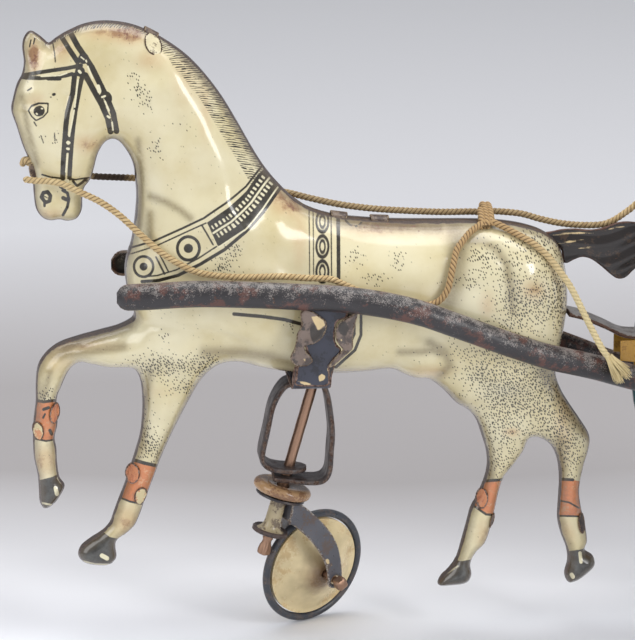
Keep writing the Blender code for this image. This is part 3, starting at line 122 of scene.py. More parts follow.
def flowing(points: Array, spacing: float, closed: bool) -> Array:
    """A smooth curve through points, with a point at every even step along it.

    Formula: Catmull-Rom, where each run is the cubic through its two ends whose slopes are half the
    difference of the neighbours on either side, then read off at equal lengths.

    Args:
        points: The points that the curve goes through.
        spacing: Step along the curve.
        closed: Whether the last point runs back to the first.

    Returns:
        The curve's points, without a repeat of the first one.
    """
    points = np.asarray(points, float)
    if closed:
        before, here = np.roll(points, 1, axis=0), points
        after, beyond = np.roll(points, -1, axis=0), np.roll(points, -2, axis=0)
    else:
        padded = np.vstack([2 * points[0] - points[1], points, 2 * points[-1] - points[-2]])
        before, here, after, beyond = padded[:-3], padded[1:-2], padded[2:-1], padded[3:]
    t = np.linspace(0, 1, 12, endpoint=False)[None, :, None]
    a, b, c, d = (corner[:, None, :] for corner in (before, here, after, beyond))
    runs = 0.5 * (2 * b + (c - a) * t + (2 * a - 5 * b + 4 * c - d) * t ** 2
                  + (3 * b - a - 3 * c + d) * t ** 3)
    dense = runs.reshape(-1, points.shape[1])
    dense = np.vstack([dense, dense[:1] if closed else points[-1:]])
    along = lengths_along(dense)
    steps = max(2, int(round(along[-1] / spacing)))
    at = np.linspace(0, along[-1], steps, endpoint=False) if closed else np.linspace(0, along[-1], steps + 1)
    return np.stack([np.interp(at, along, dense[:, i]) for i in range(points.shape[1])], axis=1)


def from_line(places: Array, line: Array, closed: bool = False) -> Array:
    """Distance of each place from a line of straight runs, the least over the runs.

    Args:
        places: Places of two numbers each.
        line: The line's points.
        closed: Whether the line runs back to its start.

    Returns:
        One distance for each place.
    """
    line = np.asarray(line, float)
    ends = np.roll(line, -1, axis=0) if closed else line[1:]
    best = np.full(len(places), np.inf)
    for start, end in zip(line, ends):
        run = end - start
        away = places - start
        share = np.clip(away @ run / max(run @ run, 1e-18), 0, 1)
        best = np.minimum(best, ((away - share[:, None] * run) ** 2).sum(axis=1))
    return np.sqrt(best)


def within(places: Array, loops: Sequence[Array]) -> Array:
    """Whether each place lies inside outlines, by an odd count of edges to its right.

    Args:
        places: Places of two numbers each.
        loops: The outer outline and any holes.

    Returns:
        True for each place inside.
    """
    count = np.zeros(len(places), int)
    for loop in loops:
        loop = np.asarray(loop, float)
        for (x0, y0), (x1, y1) in zip(loop, np.roll(loop, -1, axis=0)):
            if y0 != y1:
                spans = (y0 > places[:, 1]) != (y1 > places[:, 1])
                count += spans & (places[:, 0] < x0 + (places[:, 1] - y0) * (x1 - x0) / (y1 - y0))
    return count % 2 == 1


def drawn_in(loop: Array, distance: float) -> Array:
    """An outline moved inwards: each point goes along the inward normal of its mean direction.

    Args:
        loop: A closed outline.
        distance: How far it moves.

    Returns:
        The moved points.
    """
    along = np.roll(loop, -1, axis=0) - np.roll(loop, 1, axis=0)
    along /= np.linalg.norm(along, axis=1)[:, None]
    after = np.roll(loop, -1, axis=0)
    turn = np.sign((loop[:, 0] * after[:, 1] - after[:, 0] * loop[:, 1]).sum())
    return loop + np.stack([-along[:, 1], along[:, 0]], axis=1) * turn * distance


def circle(radius: float, steps: int, centre: Sequence[float] = (0.0, 0.0)) -> Array:
    """Points round a circle: centre plus radius times cosine and sine.

    Args:
        radius: The circle's radius.
        steps: How many points.
        centre: Its middle.

    Returns:
        The points, two numbers each.
    """
    turn = np.linspace(0, 2 * math.pi, steps, endpoint=False)
    return np.stack([np.cos(turn), np.sin(turn)], axis=1) * radius + np.asarray(centre)


def bowed(start: Sequence[float], pull: Sequence[float], end: Sequence[float], steps: int) -> Array:
    """Points on a curve from start to end drawn towards a third: the quadratic Bezier curve.

    Args:
        start: Where it starts.
        pull: The point that draws it.
        end: Where it ends.
        steps: How many points.

    Returns:
        The points.
    """
    t = np.linspace(0, 1, steps)[:, None]
    a, b, c = (np.asarray(point, float) for point in (start, pull, end))
    return (1 - t) ** 2 * a + 2 * t * (1 - t) * b + t ** 2 * c


def inside(places: Array, outlines: Sequence[Points]) -> Array:
    """How far inside the nearest of several outlines each place is, below zero outside them all."""
    loops = [np.array(outline, float) for outline in outlines]
    return np.max([from_line(places, loop, True) * np.where(within(places, [loop]), 1.0, -1.0)
                   for loop in loops], axis=0)


def drawn(places: Array, strokes: Sequence[Line]) -> Array:
    """How far inside the nearest stroke each place is: the stroke's half width minus the distance."""
    return np.max([half - from_line(places, np.array(line, float)) for half, line in strokes], axis=0)


def ovals(places: Array, spots: Sequence[tuple[float, ...]]) -> Array:
    """Soft oval marks, added up: strength times e to minus the squared distance over the oval's radii.

    Args:
        places: Places of two numbers each.
        spots: Middle, two radii and strength of each mark.

    Returns:
        One sum for each place.
    """
    return sum(strength * np.exp(-(((places[:, 0] - x) / wide) ** 2 + ((places[:, 1] - y) / high) ** 2))
               for x, y, wide, high, strength in spots)


def along_line(places: Array, line: Points) -> tuple[Array, Array]:
    """How far along a line each place is, and how far off it, below zero on its upper side.

    Formula: the nearest run decides, and the first and last runs go on straight past the line's ends.

    Args:
        places: Places of two numbers each.
        line: The line's points.

    Returns:
        The way along and the distance off.
    """
    line = np.asarray(line, float)
    best, run, off, done = np.full(len(places), np.inf), np.zeros(len(places)), np.zeros(len(places)), 0.0
    for i, (start, end) in enumerate(zip(line, line[1:])):
        way = end - start
        length = np.linalg.norm(way)
        away = places - start
        share = away @ way / length ** 2
        share = np.clip(share, None if i == 0 else 0, None if i == len(line) - 2 else 1)
        gap = np.linalg.norm(away - share[:, None] * way, axis=1)
        side = np.sign(way[0] * away[:, 1] - way[1] * away[:, 0])
        nearer = gap < best
        best = np.where(nearer, gap, best)
        run = np.where(nearer, done + share * length, run)
        off = np.where(nearer, gap * side, off)
        done += length
    return run, off


# Meshes


def filled(loops: Sequence[Array], inner: Array) -> tuple[Array, Array]:
    """Triangles that fill a flat outline with holes, through its points and the points inside it.

    Args:
        loops: The outer outline, then its holes, in metres.
        inner: Points inside them.

    Returns:
        The points, with the loops' first, and the triangles.
    """
    corners = np.vstack([*loops, inner.reshape(-1, 2)]) / MM
    edges, start = [], 0
    for loop in loops:
        ring = np.arange(len(loop)) + start
        edges += np.stack([ring, np.roll(ring, -1)], axis=1).tolist()
        start += len(loop)
    flat = list(map(Vector, corners.tolist()))
    points, _, faces, _, _, _ = delaunay_2d_cdt(flat, edges, [], 1, 1e-7)
    points, faces = np.array(points, float), np.array(faces, int)
    if len(loops) > 1:
        faces = faces[within(points[faces].mean(axis=1), [loop / MM for loop in loops])]
    return points * MM, faces


def lattice(low: Array, high: Array, step: float) -> Array:
    """Points of a square lattice, every other row moved by half a step."""
    x, z = np.meshgrid(np.arange(low[0], high[0], step), np.arange(low[1], high[1], step * 0.866))
    x = x + (np.arange(len(x)) % 2)[:, None] * step / 2
    return np.stack([x, z], axis=-1).reshape(-1, 2)


def quads(rows: int, columns: int, ring: bool) -> Array:
    """Four-sided faces over a grid of points, whose rows may close into rings.

    Args:
        rows: Rows of the grid.
        columns: Points in a row.
        ring: Whether each row closes on itself.

    Returns:
        The faces.
    """
    row, column = np.meshgrid(np.arange(rows - 1), np.arange(columns if ring else columns - 1), indexing="ij")
    here, beside = row * columns + column, row * columns + (column + 1) % columns
    return np.stack([here, beside, beside + columns, here + columns], axis=-1).reshape(-1, 4)


def frames_along(path: Array) -> tuple[Array, Array, Array]:
    """Direction and two cross directions at each point of a path.

    Formula: the direction is the gradient along the path, the side is its cross product with the
    upright Z axis, made of length one, and the third is the cross product of the two. Where the path
    runs straight up, the side is the Y axis.

    Args:
        path: The path's points.

    Returns:
        Along, side and up, one row for each point.
    """
    along = np.gradient(path, axis=0)
    along /= np.linalg.norm(along, axis=1)[:, None]
    side = np.cross(along, [0.0, 0.0, 1.0])
    weak = np.linalg.norm(side, axis=1) < 1e-3
    side[weak] = [0.0, 1.0, 0.0]
    side /= np.linalg.norm(side, axis=1)[:, None]
    return along, side, np.cross(side, along)


class Body(Enum):
    """The moving bodies that pieces ride on."""

    CHASSIS = "chassis"
    AXLE = "axle"
    INTERMEDIATE = "intermediate"
    GREAT_WHEEL = "great_wheel"
    WINDING = "winding"
    CLICK = "click"
    CASTER_FORK = "caster_fork"
    CASTER_WHEEL = "caster_wheel"


@dataclass
class Stock:
    """What a piece is made of before it becomes an object: points, faces and fields of values."""

    points: Array
    faces: list[list[int]]
    fields: dict[str, Array]

    @classmethod
    def tube(cls, grid: Array, fields: dict[str, Array], ends: bool = True) -> "Stock":
        """Stock from rings of points.

        Args:
            grid: Rings by points by three.
            fields: Values by name, one for each point of the grid.
            ends: Whether the first and last rings are filled. Rings that are one point need no fill.

        Returns:
            The stock, closed once its doubles are merged.
        """
        rows, columns = grid.shape[:2]
        faces = quads(rows, columns, True).tolist()
        if ends:
            faces += [list(range(columns))[::-1], [(rows - 1) * columns + i for i in range(columns)]]
        return cls(grid.reshape(-1, 3), faces,
                   {key: value.reshape(rows * columns, -1) for key, value in fields.items()})

    @classmethod
    def gathered(cls, parts: Sequence["Stock"]) -> "Stock":
        """Several stocks as one, with the fields of the first."""
        starts = np.cumsum([0] + [len(part.points) for part in parts])
        faces = [[int(i + start) for i in face] for part, start in zip(parts, starts) for face in part.faces]
        fields = {key: np.vstack([np.reshape(part.fields[key], (len(part.points), -1)) for part in parts])
                  for key in parts[0].fields}
        return cls(np.vstack([part.points for part in parts]), faces, fields)


def cleaned(mesh: bpy.types.Mesh, reach: float, flat: float = 0.0) -> None:
    """Joins doubled points, joins flat faces if asked, and turns the faces outwards.

    Args:
        mesh: The mesh, changed in place.
        reach: Distance within which points are doubles.
        flat: Angle in degrees under which two faces become one, or 0 to keep them all.
    """
    bm = bmesh.new()
    bm.from_mesh(mesh)
    bmesh.ops.remove_doubles(bm, verts=bm.verts, dist=reach)
    if flat:
        bmesh.ops.dissolve_limit(bm, angle_limit=math.radians(flat), verts=bm.verts, edges=bm.edges)
    bmesh.ops.recalc_face_normals(bm, faces=bm.faces)
    bm.to_mesh(mesh)
    bm.free()


def dressed(piece: bpy.types.Object, body: Body, finish: "Finish", replaces: Sequence[str],
            crease: float) -> bpy.types.Object:
    """Links a piece, shades it, gives it its finish and seats it on its body."""
    piece.data.shade_smooth()
    piece.data.set_sharp_from_angle(angle=math.radians(crease))
    piece.data.materials.clear()
    piece.data.materials.append(finish.material())
    bpy.context.scene.collection.objects.link(piece)
    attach(piece, body.value)
    if replaces:
        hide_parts(*replaces)
    log.info("%s rides on %s with %d faces", piece.name, body.value, len(piece.data.polygons))
    return piece


def made_object(name: str, stock: Stock, body: Body, finish: "Finish", replaces: Sequence[str] = (),
                crease: float = 40.0) -> bpy.types.Object:
    """Turns stock into a dressed piece at the origin, with its faces outwards.

    Args:
        name: The piece's name.
        stock: Its points, faces and fields.
        body: What it rides on.
        finish: What its surface is.
        replaces: CAD nodes that it stands for.
        crease: Angle in degrees past which an edge stays sharp.

    Returns:
        The object.
    """
    mesh = bpy.data.meshes.new(name)
    mesh.from_pydata(stock.points.tolist(), [], stock.faces)
    for key, values in stock.fields.items():
        values = np.asarray(values, np.float32).reshape(len(stock.points), -1)
        kind, part = ("FLOAT_VECTOR", "vector") if values.shape[1] == 3 else ("FLOAT", "value")
        mesh.attributes.new(key, kind, "POINT").data.foreach_set(part, values.ravel())
    cleaned(mesh, 1e-7)
    return dressed(bpy.data.objects.new(name, mesh), body, finish, replaces, crease)


def from_cad(node: str, body: Body, finish: "Finish", bevel: float = 0.12 * MM) -> bpy.types.Object:
    """A copy of a CAD node, merged from loose triangles, with its edges rounded by a bevel.

    Args:
        node: The CAD node's name.
        body: What it rides on.
        finish: What its surface is.
        bevel: Width of the rounded edges.

    Returns:
        The piece that stands for the node.
    """
    mesh = frame["nodes"][node].data.copy()
    cleaned(mesh, 2e-7, 0.5)
    piece = dressed(bpy.data.objects.new(f"{node}_dressed", mesh), body, finish, (node,), 32)
    rounding = piece.modifiers.new("eased_edges", "BEVEL")
    rounding.width = bevel
    rounding.segments = 2
    rounding.limit_method = "ANGLE"
    rounding.angle_limit = math.radians(35)
    rounding.harden_normals = False
    return piece


def pressed(loops: Sequence[Array], half: float, middle: float, grain: float,
            swell: Callable[[Array, Array], Array] | None = None) -> Stock:
    """A flat sheet piece square to Y, with rounded edges.

    Formula: at distance d from the edge each face stands off the middle by the half thickness times
    the square root of 1 minus (1 minus d over the half thickness, at most 1) squared, plus any swell.

    Args:
        loops: Outer outline and holes, as pairs of x and z in metres.
        half: Half the sheet's thickness.
        middle: Where the sheet's middle is on Y.
        grain: Step of the points inside.
        swell: Extra height of both faces, from the places and their distances to the edge.

    Returns:
        The closed stock with the field edge, each point's distance from the edge in millimetres.
    """
    inner = lattice(loops[0].min(axis=0), loops[0].max(axis=0), grain)
    inwards = [1] + [-1] * (len(loops) - 1)
    for offset in (0.25 * half, 0.6 * half, 1.1 * half, 0.9 * MM):
        inner = np.vstack([inner, *(drawn_in(loop, offset * sign) for loop, sign in zip(loops, inwards))])
    inner = inner[within(inner, loops)]
    edge = np.min([from_line(inner, loop, True) for loop in loops], axis=0)
    places, faces = filled(loops, inner[edge > 0.2 * half])
    edge = np.min([from_line(places, loop, True) for loop in loops], axis=0)
    rim, count = sum(len(loop) for loop in loops), len(places)
    edge[:rim] = 0
    rise = half * np.sqrt(1 - (1 - np.clip(edge / half, 0, 1)) ** 2)
    lift = swell(places, edge) if swell else np.zeros(count)
    lift = lift * np.clip(edge / half, 0, 1)
    front = np.insert(places, 1, middle + rise + lift, axis=1)
    back = np.insert(places, 1, middle - rise + lift, axis=1)
    twin = np.where(np.arange(count) < rim, np.arange(count), np.arange(count) + count)
    under = twin[faces[:, ::-1]].tolist()
    edge = np.concatenate([edge, edge]) / MM
    return Stock(np.vstack([front, back]), faces.tolist() + under, {"edge": edge})


def strip(rail: Array, across: Sequence[float] | Array, width: Array | float, tin: float,
          columns: int = 8) -> Stock:
    """A bent strap: a flat section with round edges carried along a rail.

    Formula: a point of the section is across times its share of the half width, less half the
    thickness, plus the rail's normal times half the thickness; round an edge, cosine and sine of half
    a turn carry it from one face to the other.

    Args:
        rail: The strap's middle line in metres.
        across: Direction of its width.
        width: Its width, one number or one for each point of the rail.
        tin: Its thickness.
        columns: Points across each face.

    Returns:
        The closed stock with the field edge, in millimetres.
    """
    along = np.gradient(rail, axis=0)
    along /= np.linalg.norm(along, axis=1)[:, None]
    across = np.broadcast_to(np.asarray(across, float), rail.shape)
    normal = np.cross(along, across)
    normal /= np.linalg.norm(normal, axis=1)[:, None]
    half = np.broadcast_to(np.asarray(width, float), (len(rail),)) / 2
    flat = np.linspace(-1, 1, columns)
    bend = np.linspace(-math.pi / 2, math.pi / 2, 5)[1:-1]
    side = np.concatenate([flat, 1 + 0 * bend, flat[::-1], -1 + 0 * bend])
    lift = np.concatenate([-1 + 0 * flat, np.sin(bend), 1 + 0 * flat, -np.sin(bend)])
    round_off = np.concatenate([0 * flat, np.cos(bend), 0 * flat, -np.cos(bend)])
    reach = side[None, :] * (half[:, None] - tin / 2) + round_off[None, :] * tin / 2
    grid = (rail[:, None, :] + reach[..., None] * across[:, None, :]
            + (lift * tin / 2)[None, :, None] * normal[:, None, :])
    run = lengths_along(rail)
    from_end = np.minimum(run, run[-1] - run)
    edge = np.minimum(half[:, None] - np.abs(reach), from_end[:, None]) / MM
    return Stock.tube(grid, {"edge": edge})


def blotted(stock: Stock, light: Sequence[Points], dim: Sequence[Points]) -> Stock:
    """Adds the fields light and dim: how far inside outlines in the picture each point is, in pixels.

    Args:
        stock: The stock, changed in place. Stock on the far side is read as its mirror image.
        light: Outlines of its pale marks, which on the tail are painted highlights.
        dim: Outlines of its dark marks.

    Returns:
        The same stock.
    """
    px = LENS.seen(stock.points * [1, -1, 1] if stock.points[:, 1].mean() > 0 else stock.points)
    for name, outlines in (("light", light), ("dim", dim)):
        stock.fields[name] = inside(px, outlines) if outlines else np.full(len(px), FAR_OUTSIDE)
    return stock


@dataclass(frozen=True)
class Spindle:
    """An axis that turned pieces stand on: its foot and its direction."""

    foot: tuple[float, float, float]
    along: tuple[float, float, float]

    def axes(self) -> tuple[Array, Array, Array]:
        """The direction of the axis and two directions square to it."""
        along = np.asarray(self.along, float)
        along /= np.linalg.norm(along)
        helper = np.array([1.0, 0.0, 0.0]) if abs(along[0]) < 0.9 else np.array([0.0, 1.0, 0.0])
        first = np.cross(along, helper)
        first /= np.linalg.norm(first)
        return along, first, np.cross(along, first)

    def turned(self, profile: Points, steps: int, ring: bool,
               ripple: Callable[[Array, Array], Array] | None = None) -> Stock:
        """A turned piece: each profile point goes round the axis at its radius and height.

        Args:
            profile: Radius and height pairs in metres.
            steps: Points round.
            ring: Whether the profile closes on itself, as round a bore.
            ripple: Extra radius, from the angle and the height.

        Returns:
            The stock with the field radius in millimetres, closed once its doubles are merged.
        """
        profile = np.asarray(profile, float)
        if ring:
            profile = np.vstack([profile, profile[:1]])
        along, first, second = self.axes()
        turn = np.linspace(0, 2 * math.pi, steps, endpoint=False)
        radius = profile[:, :1] + (ripple(turn[None, :], profile[:, 1:]) if ripple else 0)
        radius = np.where(profile[:, :1] < 1e-9, 0, radius)
        round_axis = np.cos(turn)[:, None] * first + np.sin(turn)[:, None] * second
        grid = (np.asarray(self.foot) + radius[..., None] * round_axis[None]
                + profile[:, 1][:, None, None] * along)
        field = np.broadcast_to(radius / MM, grid.shape[:2])
        return Stock.tube(grid, {"radius": field}, False)


# Routes and outlines: in millimetres from the axle line as in the toy's source, or in the photo's
# pixels where the name says SEEN, LIGHT or DIM

HORSE_OUTLINE = [
    (-212.5, 92.5), (-213.5, 93.2), (-215, 94.5), (-217, 95.5), (-218.5, 94), (-219, 91.5), (-218.7, 88),
    (-219.2, 85), (-220.5, 82.5), (-221.5, 79), (-222, 76), (-220.8, 72), (-219.5, 67.5), (-218, 63.5),
    (-217.2, 59.5), (-217, 55.5), (-216.5, 51.5), (-215, 49.2), (-213, 48.4), (-210.8, 48.6), (-208.8, 48.2),
    (-206.5, 48.8), (-205.2, 51), (-205, 54), (-204.5, 56.5), (-203, 58.5), (-202, 61.5), (-201, 65),
    (-199.5, 67.5), (-197.8, 68.5), (-196, 68), (-194, 65.5), (-192.5, 62.2), (-192, 58), (-191.8, 54),
    (-192.3, 48.5), (-193.2, 43), (-194.6, 38.5), (-194.9, 34.5), (-194, 28.5), (-192.8, 24), (-196, 21.6),
    (-201.5, 20.1), (-207, 18.7), (-211.5, 17.2), (-214.7, 14.8), (-216.8, 11.5), (-217.4, 7), (-217.5, 2.5),
    (-218.2, -3), (-218.4, -8), (-218.2, -12.5), (-217.4, -17), (-217.2, -21), (-217, -24), (-215.8, -25.6),
    (-213.6, -24.6), (-211.6, -22), (-210.7, -19.7), (-212, -17.5), (-212.5, -13.5), (-212.6, -10),
    (-213, -7.2), (-212.2, -3.5), (-212.3, 2.5), (-211, 6.2), (-209, 10.3), (-206.5, 12.2), (-203.5, 11.7),
    (-199.5, 10.8), (-195.8, 10.6), (-193, 10.2), (-191.6, 7.8), (-191, 4), (-191, -1), (-191.6, -6.5),
    (-193, -11.5), (-194.6, -16.5), (-196, -20.5), (-197.2, -23.5), (-198.4, -26.7), (-199.6, -29.9),
    (-201.7, -32.1), (-204.5, -33.9), (-207, -36), (-207.6, -38.4), (-206, -40.2), (-202.5, -41),
    (-199.5, -40.8), (-198, -39), (-198.2, -36.4), (-197.8, -34.5), (-195.5, -32.8), (-193.3, -30.7),
    (-192, -28), (-190.9, -25), (-189.4, -21), (-187.7, -16.5), (-186, -12), (-184, -7.5), (-181.8, -3),
    (-179.2, 2), (-176.6, 6.5), (-174, 9.4), (-170.8, 11.2), (-166.5, 11.4), (-161, 9.9), (-154, 8.6),
    (-145, 8), (-136, 8.2), (-129, 8.8), (-125.8, 7.6), (-122.5, 6.2), (-119, 5.8), (-115.6, 3.3),
    (-112, -0.5), (-108.7, -2.7), (-106.6, -5.5), (-105.2, -9.5), (-104, -13.5), (-103.7, -17.5),
    (-104.6, -21.5), (-106.2, -25.5), (-107.8, -28.5), (-108.7, -32), (-110, -37), (-111.2, -41.3),
    (-113, -44.3), (-115.3, -46.8), (-115.9, -49), (-112.5, -49.2), (-108.7, -48.6), (-107.4, -46.5),
    (-107.7, -43.5), (-106.3, -40.5), (-104, -38), (-102.5, -33.5), (-101.5, -29), (-100.6, -24.5),
    (-99.3, -20.5), (-97, -17.5), (-94.6, -14), (-93, -10.6), (-90, -10.7), (-87.2, -13), (-85.6, -17),
    (-85.1, -22), (-85.3, -27.5), (-85.4, -32), (-84.5, -36), (-83, -40), (-82.6, -43.5), (-83.3, -47),
    (-82.3, -49.3), (-80, -48.9), (-77.6, -47.2), (-75.6, -45), (-76, -42.5), (-78.2, -40.7), (-77.6, -38.3),
    (-78.2, -34), (-79.3, -29.5), (-79.9, -24.5), (-79, -18.5), (-77.7, -13.5), (-77.7, -10), (-80, -6),
    (-83, -1.5), (-85.3, 2.5), (-86.6, 7), (-85.7, 13), (-84.5, 20), (-84, 26), (-84.6, 33.5), (-86.3, 39.3),
    (-89.2, 42.4), (-93.5, 44.4), (-100, 45.8), (-108.5, 46.4), (-119, 46.6), (-130.5, 47), (-141.5, 48.2),
    (-148.5, 50.2), (-153, 53), (-157, 57), (-160.2, 61), (-163, 65.5), (-166.6, 72), (-170.4, 78.5),
    (-174.4, 84), (-178.7, 88.7), (-183.5, 92.4), (-188.4, 95.2), (-193.3, 97), (-199, 97.7), (-204, 97),
    (-208.3, 95.2), (-210.8, 93.7),
]

# X, height, half thickness, and how wide the edge's rounding is
HORSE_FORM = [
    (-213, 51, 4.5, 6), (-212, 70, 6.5, 9), (-202, 70, 6.5, 8), (-216, 84, 5, 7), (-208, 90, 5, 6),
    (-217, 93, 1.6, 2.5), (-191, 92, 6, 8), (-188, 76, 8.5, 11), (-179, 62, 10, 13), (-174, 48, 12, 15),
    (-161, 58, 8, 10), (-181, 31, 13, 14), (-189.5, 31, 12, 11), (-152, 46, 11, 12), (-161, 27, 14, 15),
    (-138, 27, 14.5, 16), (-118, 30, 14, 15), (-101, 34, 13, 14), (-89, 27, 11.5, 12), (-101, 14, 12.5, 13),
    (-121, 13, 12, 12), (-114, 4, 9, 9), (-104, -6, 6, 6), (-84, -6, 5.5, 6), (-102, -17, 4, 4),
    (-80, -14, 4, 4), (-105, -25, 3, 3), (-82, -28, 3, 3), (-109, -41, 3, 3), (-80, -40, 3, 3),
    (-113, -48, 3.4, 3.5), (-78, -47, 3.4, 3.5), (-201, 15, 8, 8), (-176, 14, 10, 10), (-213, 12, 5.5, 6),
    (-215, 5, 4.5, 5), (-216, -5, 3, 3.2), (-215, -18, 3, 3.2), (-214, -24, 3.3, 3.4), (-184, 4, 6.5, 7),
    (-189, -8, 4.5, 5), (-192, -18, 3.4, 3.6), (-196, -30, 3, 3), (-204, -39, 3.3, 3.4),
]

TAIL_SEEN = (
    (544, 233), (552, 231), (562, 229), (575, 228.4), (590, 229.4), (603, 227.4), (616, 222.6), (630, 221.4),
    (650, 226), (664, 242), (670, 262), (662, 266), (650, 262), (636, 268), (626, 277), (618, 278.6),
    (611, 274.6), (601, 266), (591, 259), (582, 257), (574, 259.6), (567, 263), (563, 261), (561, 250),
    (552, 240))

# Pale streaks on the tail: painted highlights of its glossy hair.
TAIL_PAINTED_HIGHLIGHTS = (
    ((551, 234.6), (566, 232), (580, 231.6), (594, 232.6), (580, 233.2), (566, 233.8)),
    ((556, 243), (568, 239.8), (584, 238.6), (570, 241.4)),
    ((572, 248.6), (586, 245.4), (600, 245.6), (586, 247)),
    ((604, 229.4), (616, 226), (630, 224.8), (617, 227.6)))

# X, height, and distance off the middle plane
SHAFT_ROUTE = [
    (-197.6, 32.6, 18.0), (-196.6, 32.7, 18.2), (-194.5, 32.8, 18.4), (-190, 32.9, 18.5), (-178, 33.3, 18.6),
    (-165, 32.8, 18.7), (-153, 32, 18.7), (-143, 31.2, 18.6), (-133, 29.6, 18.4), (-124, 27.3, 18.0),
    (-116, 24.2, 17.3), (-109, 21.3, 16.3), (-103, 18.7, 15.0), (-96, 15.8, 13.3), (-90, 13.5, 11.9),
    (-84, 11.6, 9.9), (-78, 9.6, 7.8), (-72, 7.4, 6.0), (-66, 5.6, 5.25), (-60, 4.7, 5.2), (-53, 4.2, 5.2),
]

# Distance off the middle plane, height over the foot, share of the width, and shift along X
BRACKET_ROUTE = [
    (17.9, 26.4, 0.54, 2.6), (17.9, 19.3, 0.54, 2.6), (17.6, 14.3, 0.54, 2.4), (17.2, 10.3, 0.75, 1.6),
    (16.8, 6.8, 1.0, 0.6), (16.3, 4.0, 1.0, 0), (14.8, 1.4, 1.0, 0), (12.0, 0.2, 1.0, 0), (6.0, 0, 1.0, 0),
]

NECK_SEEN = (
    (303, 297), (325, 298), (348, 297), (347.7, 311), (346.5, 318), (339.5, 320.5), (336, 324.5),
    (334.8, 334), (336, 343), (341, 349), (339, 354.5), (331, 363), (329.6, 368), (329.6, 378), (328, 385.6),
    (312, 386.4), (295.4, 385), (295.8, 374), (298, 366), (309, 363), (310, 357), (306, 349), (303, 340),
    (302, 320))
LEFT_EAR_SEEN = (
    (306.8, 309), (313, 311.5), (319, 315.6), (324.5, 319.6), (326.8, 324), (326.2, 330), (323.5, 336),
    (319, 341), (313.5, 344), (308.5, 345), (304.4, 346.4), (306.4, 351.5), (310.5, 356), (312.2, 361),
    (309, 365), (303, 366.4), (296, 365.5), (290.4, 360), (291, 355), (294, 349), (296, 341), (297, 334),
    (300.5, 327), (301, 320), (300, 314), (303, 310))
RIGHT_EAR_SEEN = (
    (357.5, 311.6), (356.8, 318), (354.4, 328), (353, 338), (353.2, 345), (352, 349.6), (345, 356),
    (337, 363), (331, 367.4), (328.2, 366), (332, 360.6), (338, 354), (342.6, 349.6), (340.5, 346.6),
    (336.6, 341), (335, 334), (335.8, 328), (339, 322.6), (345, 318.6), (351, 315))
EAR_LIGHT = (
    ((311.4, 317), (317, 316), (323, 320), (325, 325), (321, 328.6), (318, 330.6), (314.4, 323)),
    ((318.5, 376), (322, 374), (326, 376.5), (324, 380), (319, 381.5)),
    ((327, 368), (330.5, 368.5), (330, 372), (327.5, 371)),
    ((297, 381), (306, 382), (313, 385), (305, 385.4)), ((339.6, 339), (342.4, 339.4), (341.6, 342.4)),
    ((303, 358.6), (306, 359.4), (305, 361)))
EAR_DIM = (
    ((310.6, 327.4), (314, 324.4), (318, 331.4), (325, 326.6), (325.4, 331), (321, 338), (313.4, 343),
     (310, 336)),
    ((339.4, 322.6), (346, 321), (349, 329), (346, 336), (340, 334), (338, 328)),
    ((301, 325), (305, 327), (305, 331), (301, 330)))
ARM_LIGHT = (((325.5, 560), (328, 558.4), (330, 561), (329, 564.4), (326, 563.5)),
             ((330.6, 565), (332, 565.4), (331, 566.6)))

STIRRUP_FRONT = [
    (-149.8, -16.95), (-153.2, -16.85), (-156.5, -16.6), (-159.2, -15.9), (-160.9, -14.3), (-161.1, -12.0),
    (-159.8, -6.0), (-158.5, 0.0), (-156.4, 4.1),
]

STIRRUP_REAR = [
    (-145.2, 4.1), (-144.4, 1.0), (-143.8, -3.5), (-143.5, -7.5), (-143.8, -12.0), (-144.2, -17.0),
    (-145.4, -19.2), (-147.6, -19.9), (-151.7, -19.6), (-155.4, -19.1), (-158.2, -18.7),
]

STIRRUP_TOP = [-154.2, -150.4, -146.6]

TONGUE_ROUTE = [(-83.9, 22.3), (-80, 21.2), (-74.5, 18.8), (-70.5, 16.8)]

TONGUE_TOP = [-67.5, -63.0, -58.0]

# Name, x, height, half width and lean in degrees
SEAM_TABS = [
    ("seam_tab_crest", -187.6, 94.9, 2.0, 28),
    ("seam_tab_front", -141.6, 48.6, 2.2, 8),
    ("seam_tab_rear", -131.5, 47.5, 2.4, 3),
]

# Name, middle, half width, half height, lean in degrees and finish
SEEN_TABS = (
    ("raised_foreleg_upper", 54.9, 413.2, 5.4, 10.0, 4, "TAB_ORANGE"),
    ("raised_foreleg_lower", 38.0, 430.4, 5.8, 9.0, -6, "TAB_CREAM"),
    ("standing_foreleg_upper", 132.4, 473.2, 7.0, 9.6, 14, "TAB_ORANGE"),
    ("standing_foreleg_lower", 140.6, 494.6, 6.6, 9.0, 14, "TAB_CREAM"),
    ("near_hind_upper", 481.8, 498.2, 5.6, 9.6, 12, "TAB_ORANGE"),
    ("near_hind_lower", 492.6, 521.0, 2.8, 7.8, 12, "TAB_DARK"),
    ("far_hind_lower", 581.6, 522.8, 4.2, 10.0, -4, "TAB_DARK"),
    ("mane", 153.0, 42.9, 8.0, 11.6, -28, "TAB_MANE"))
CURL_SEEN = ((41, 171), (38, 166.4), (34.6, 162.4), (29.6, 159.6), (25, 159.8), (22.8, 162.8), (24.2, 166.4))
BIT_TAB_SEEN = (
    (29, 162.6), (35, 164.6), (39.6, 169), (42, 175), (41.4, 179), (34, 178.6), (30, 175.4), (28.6, 168))

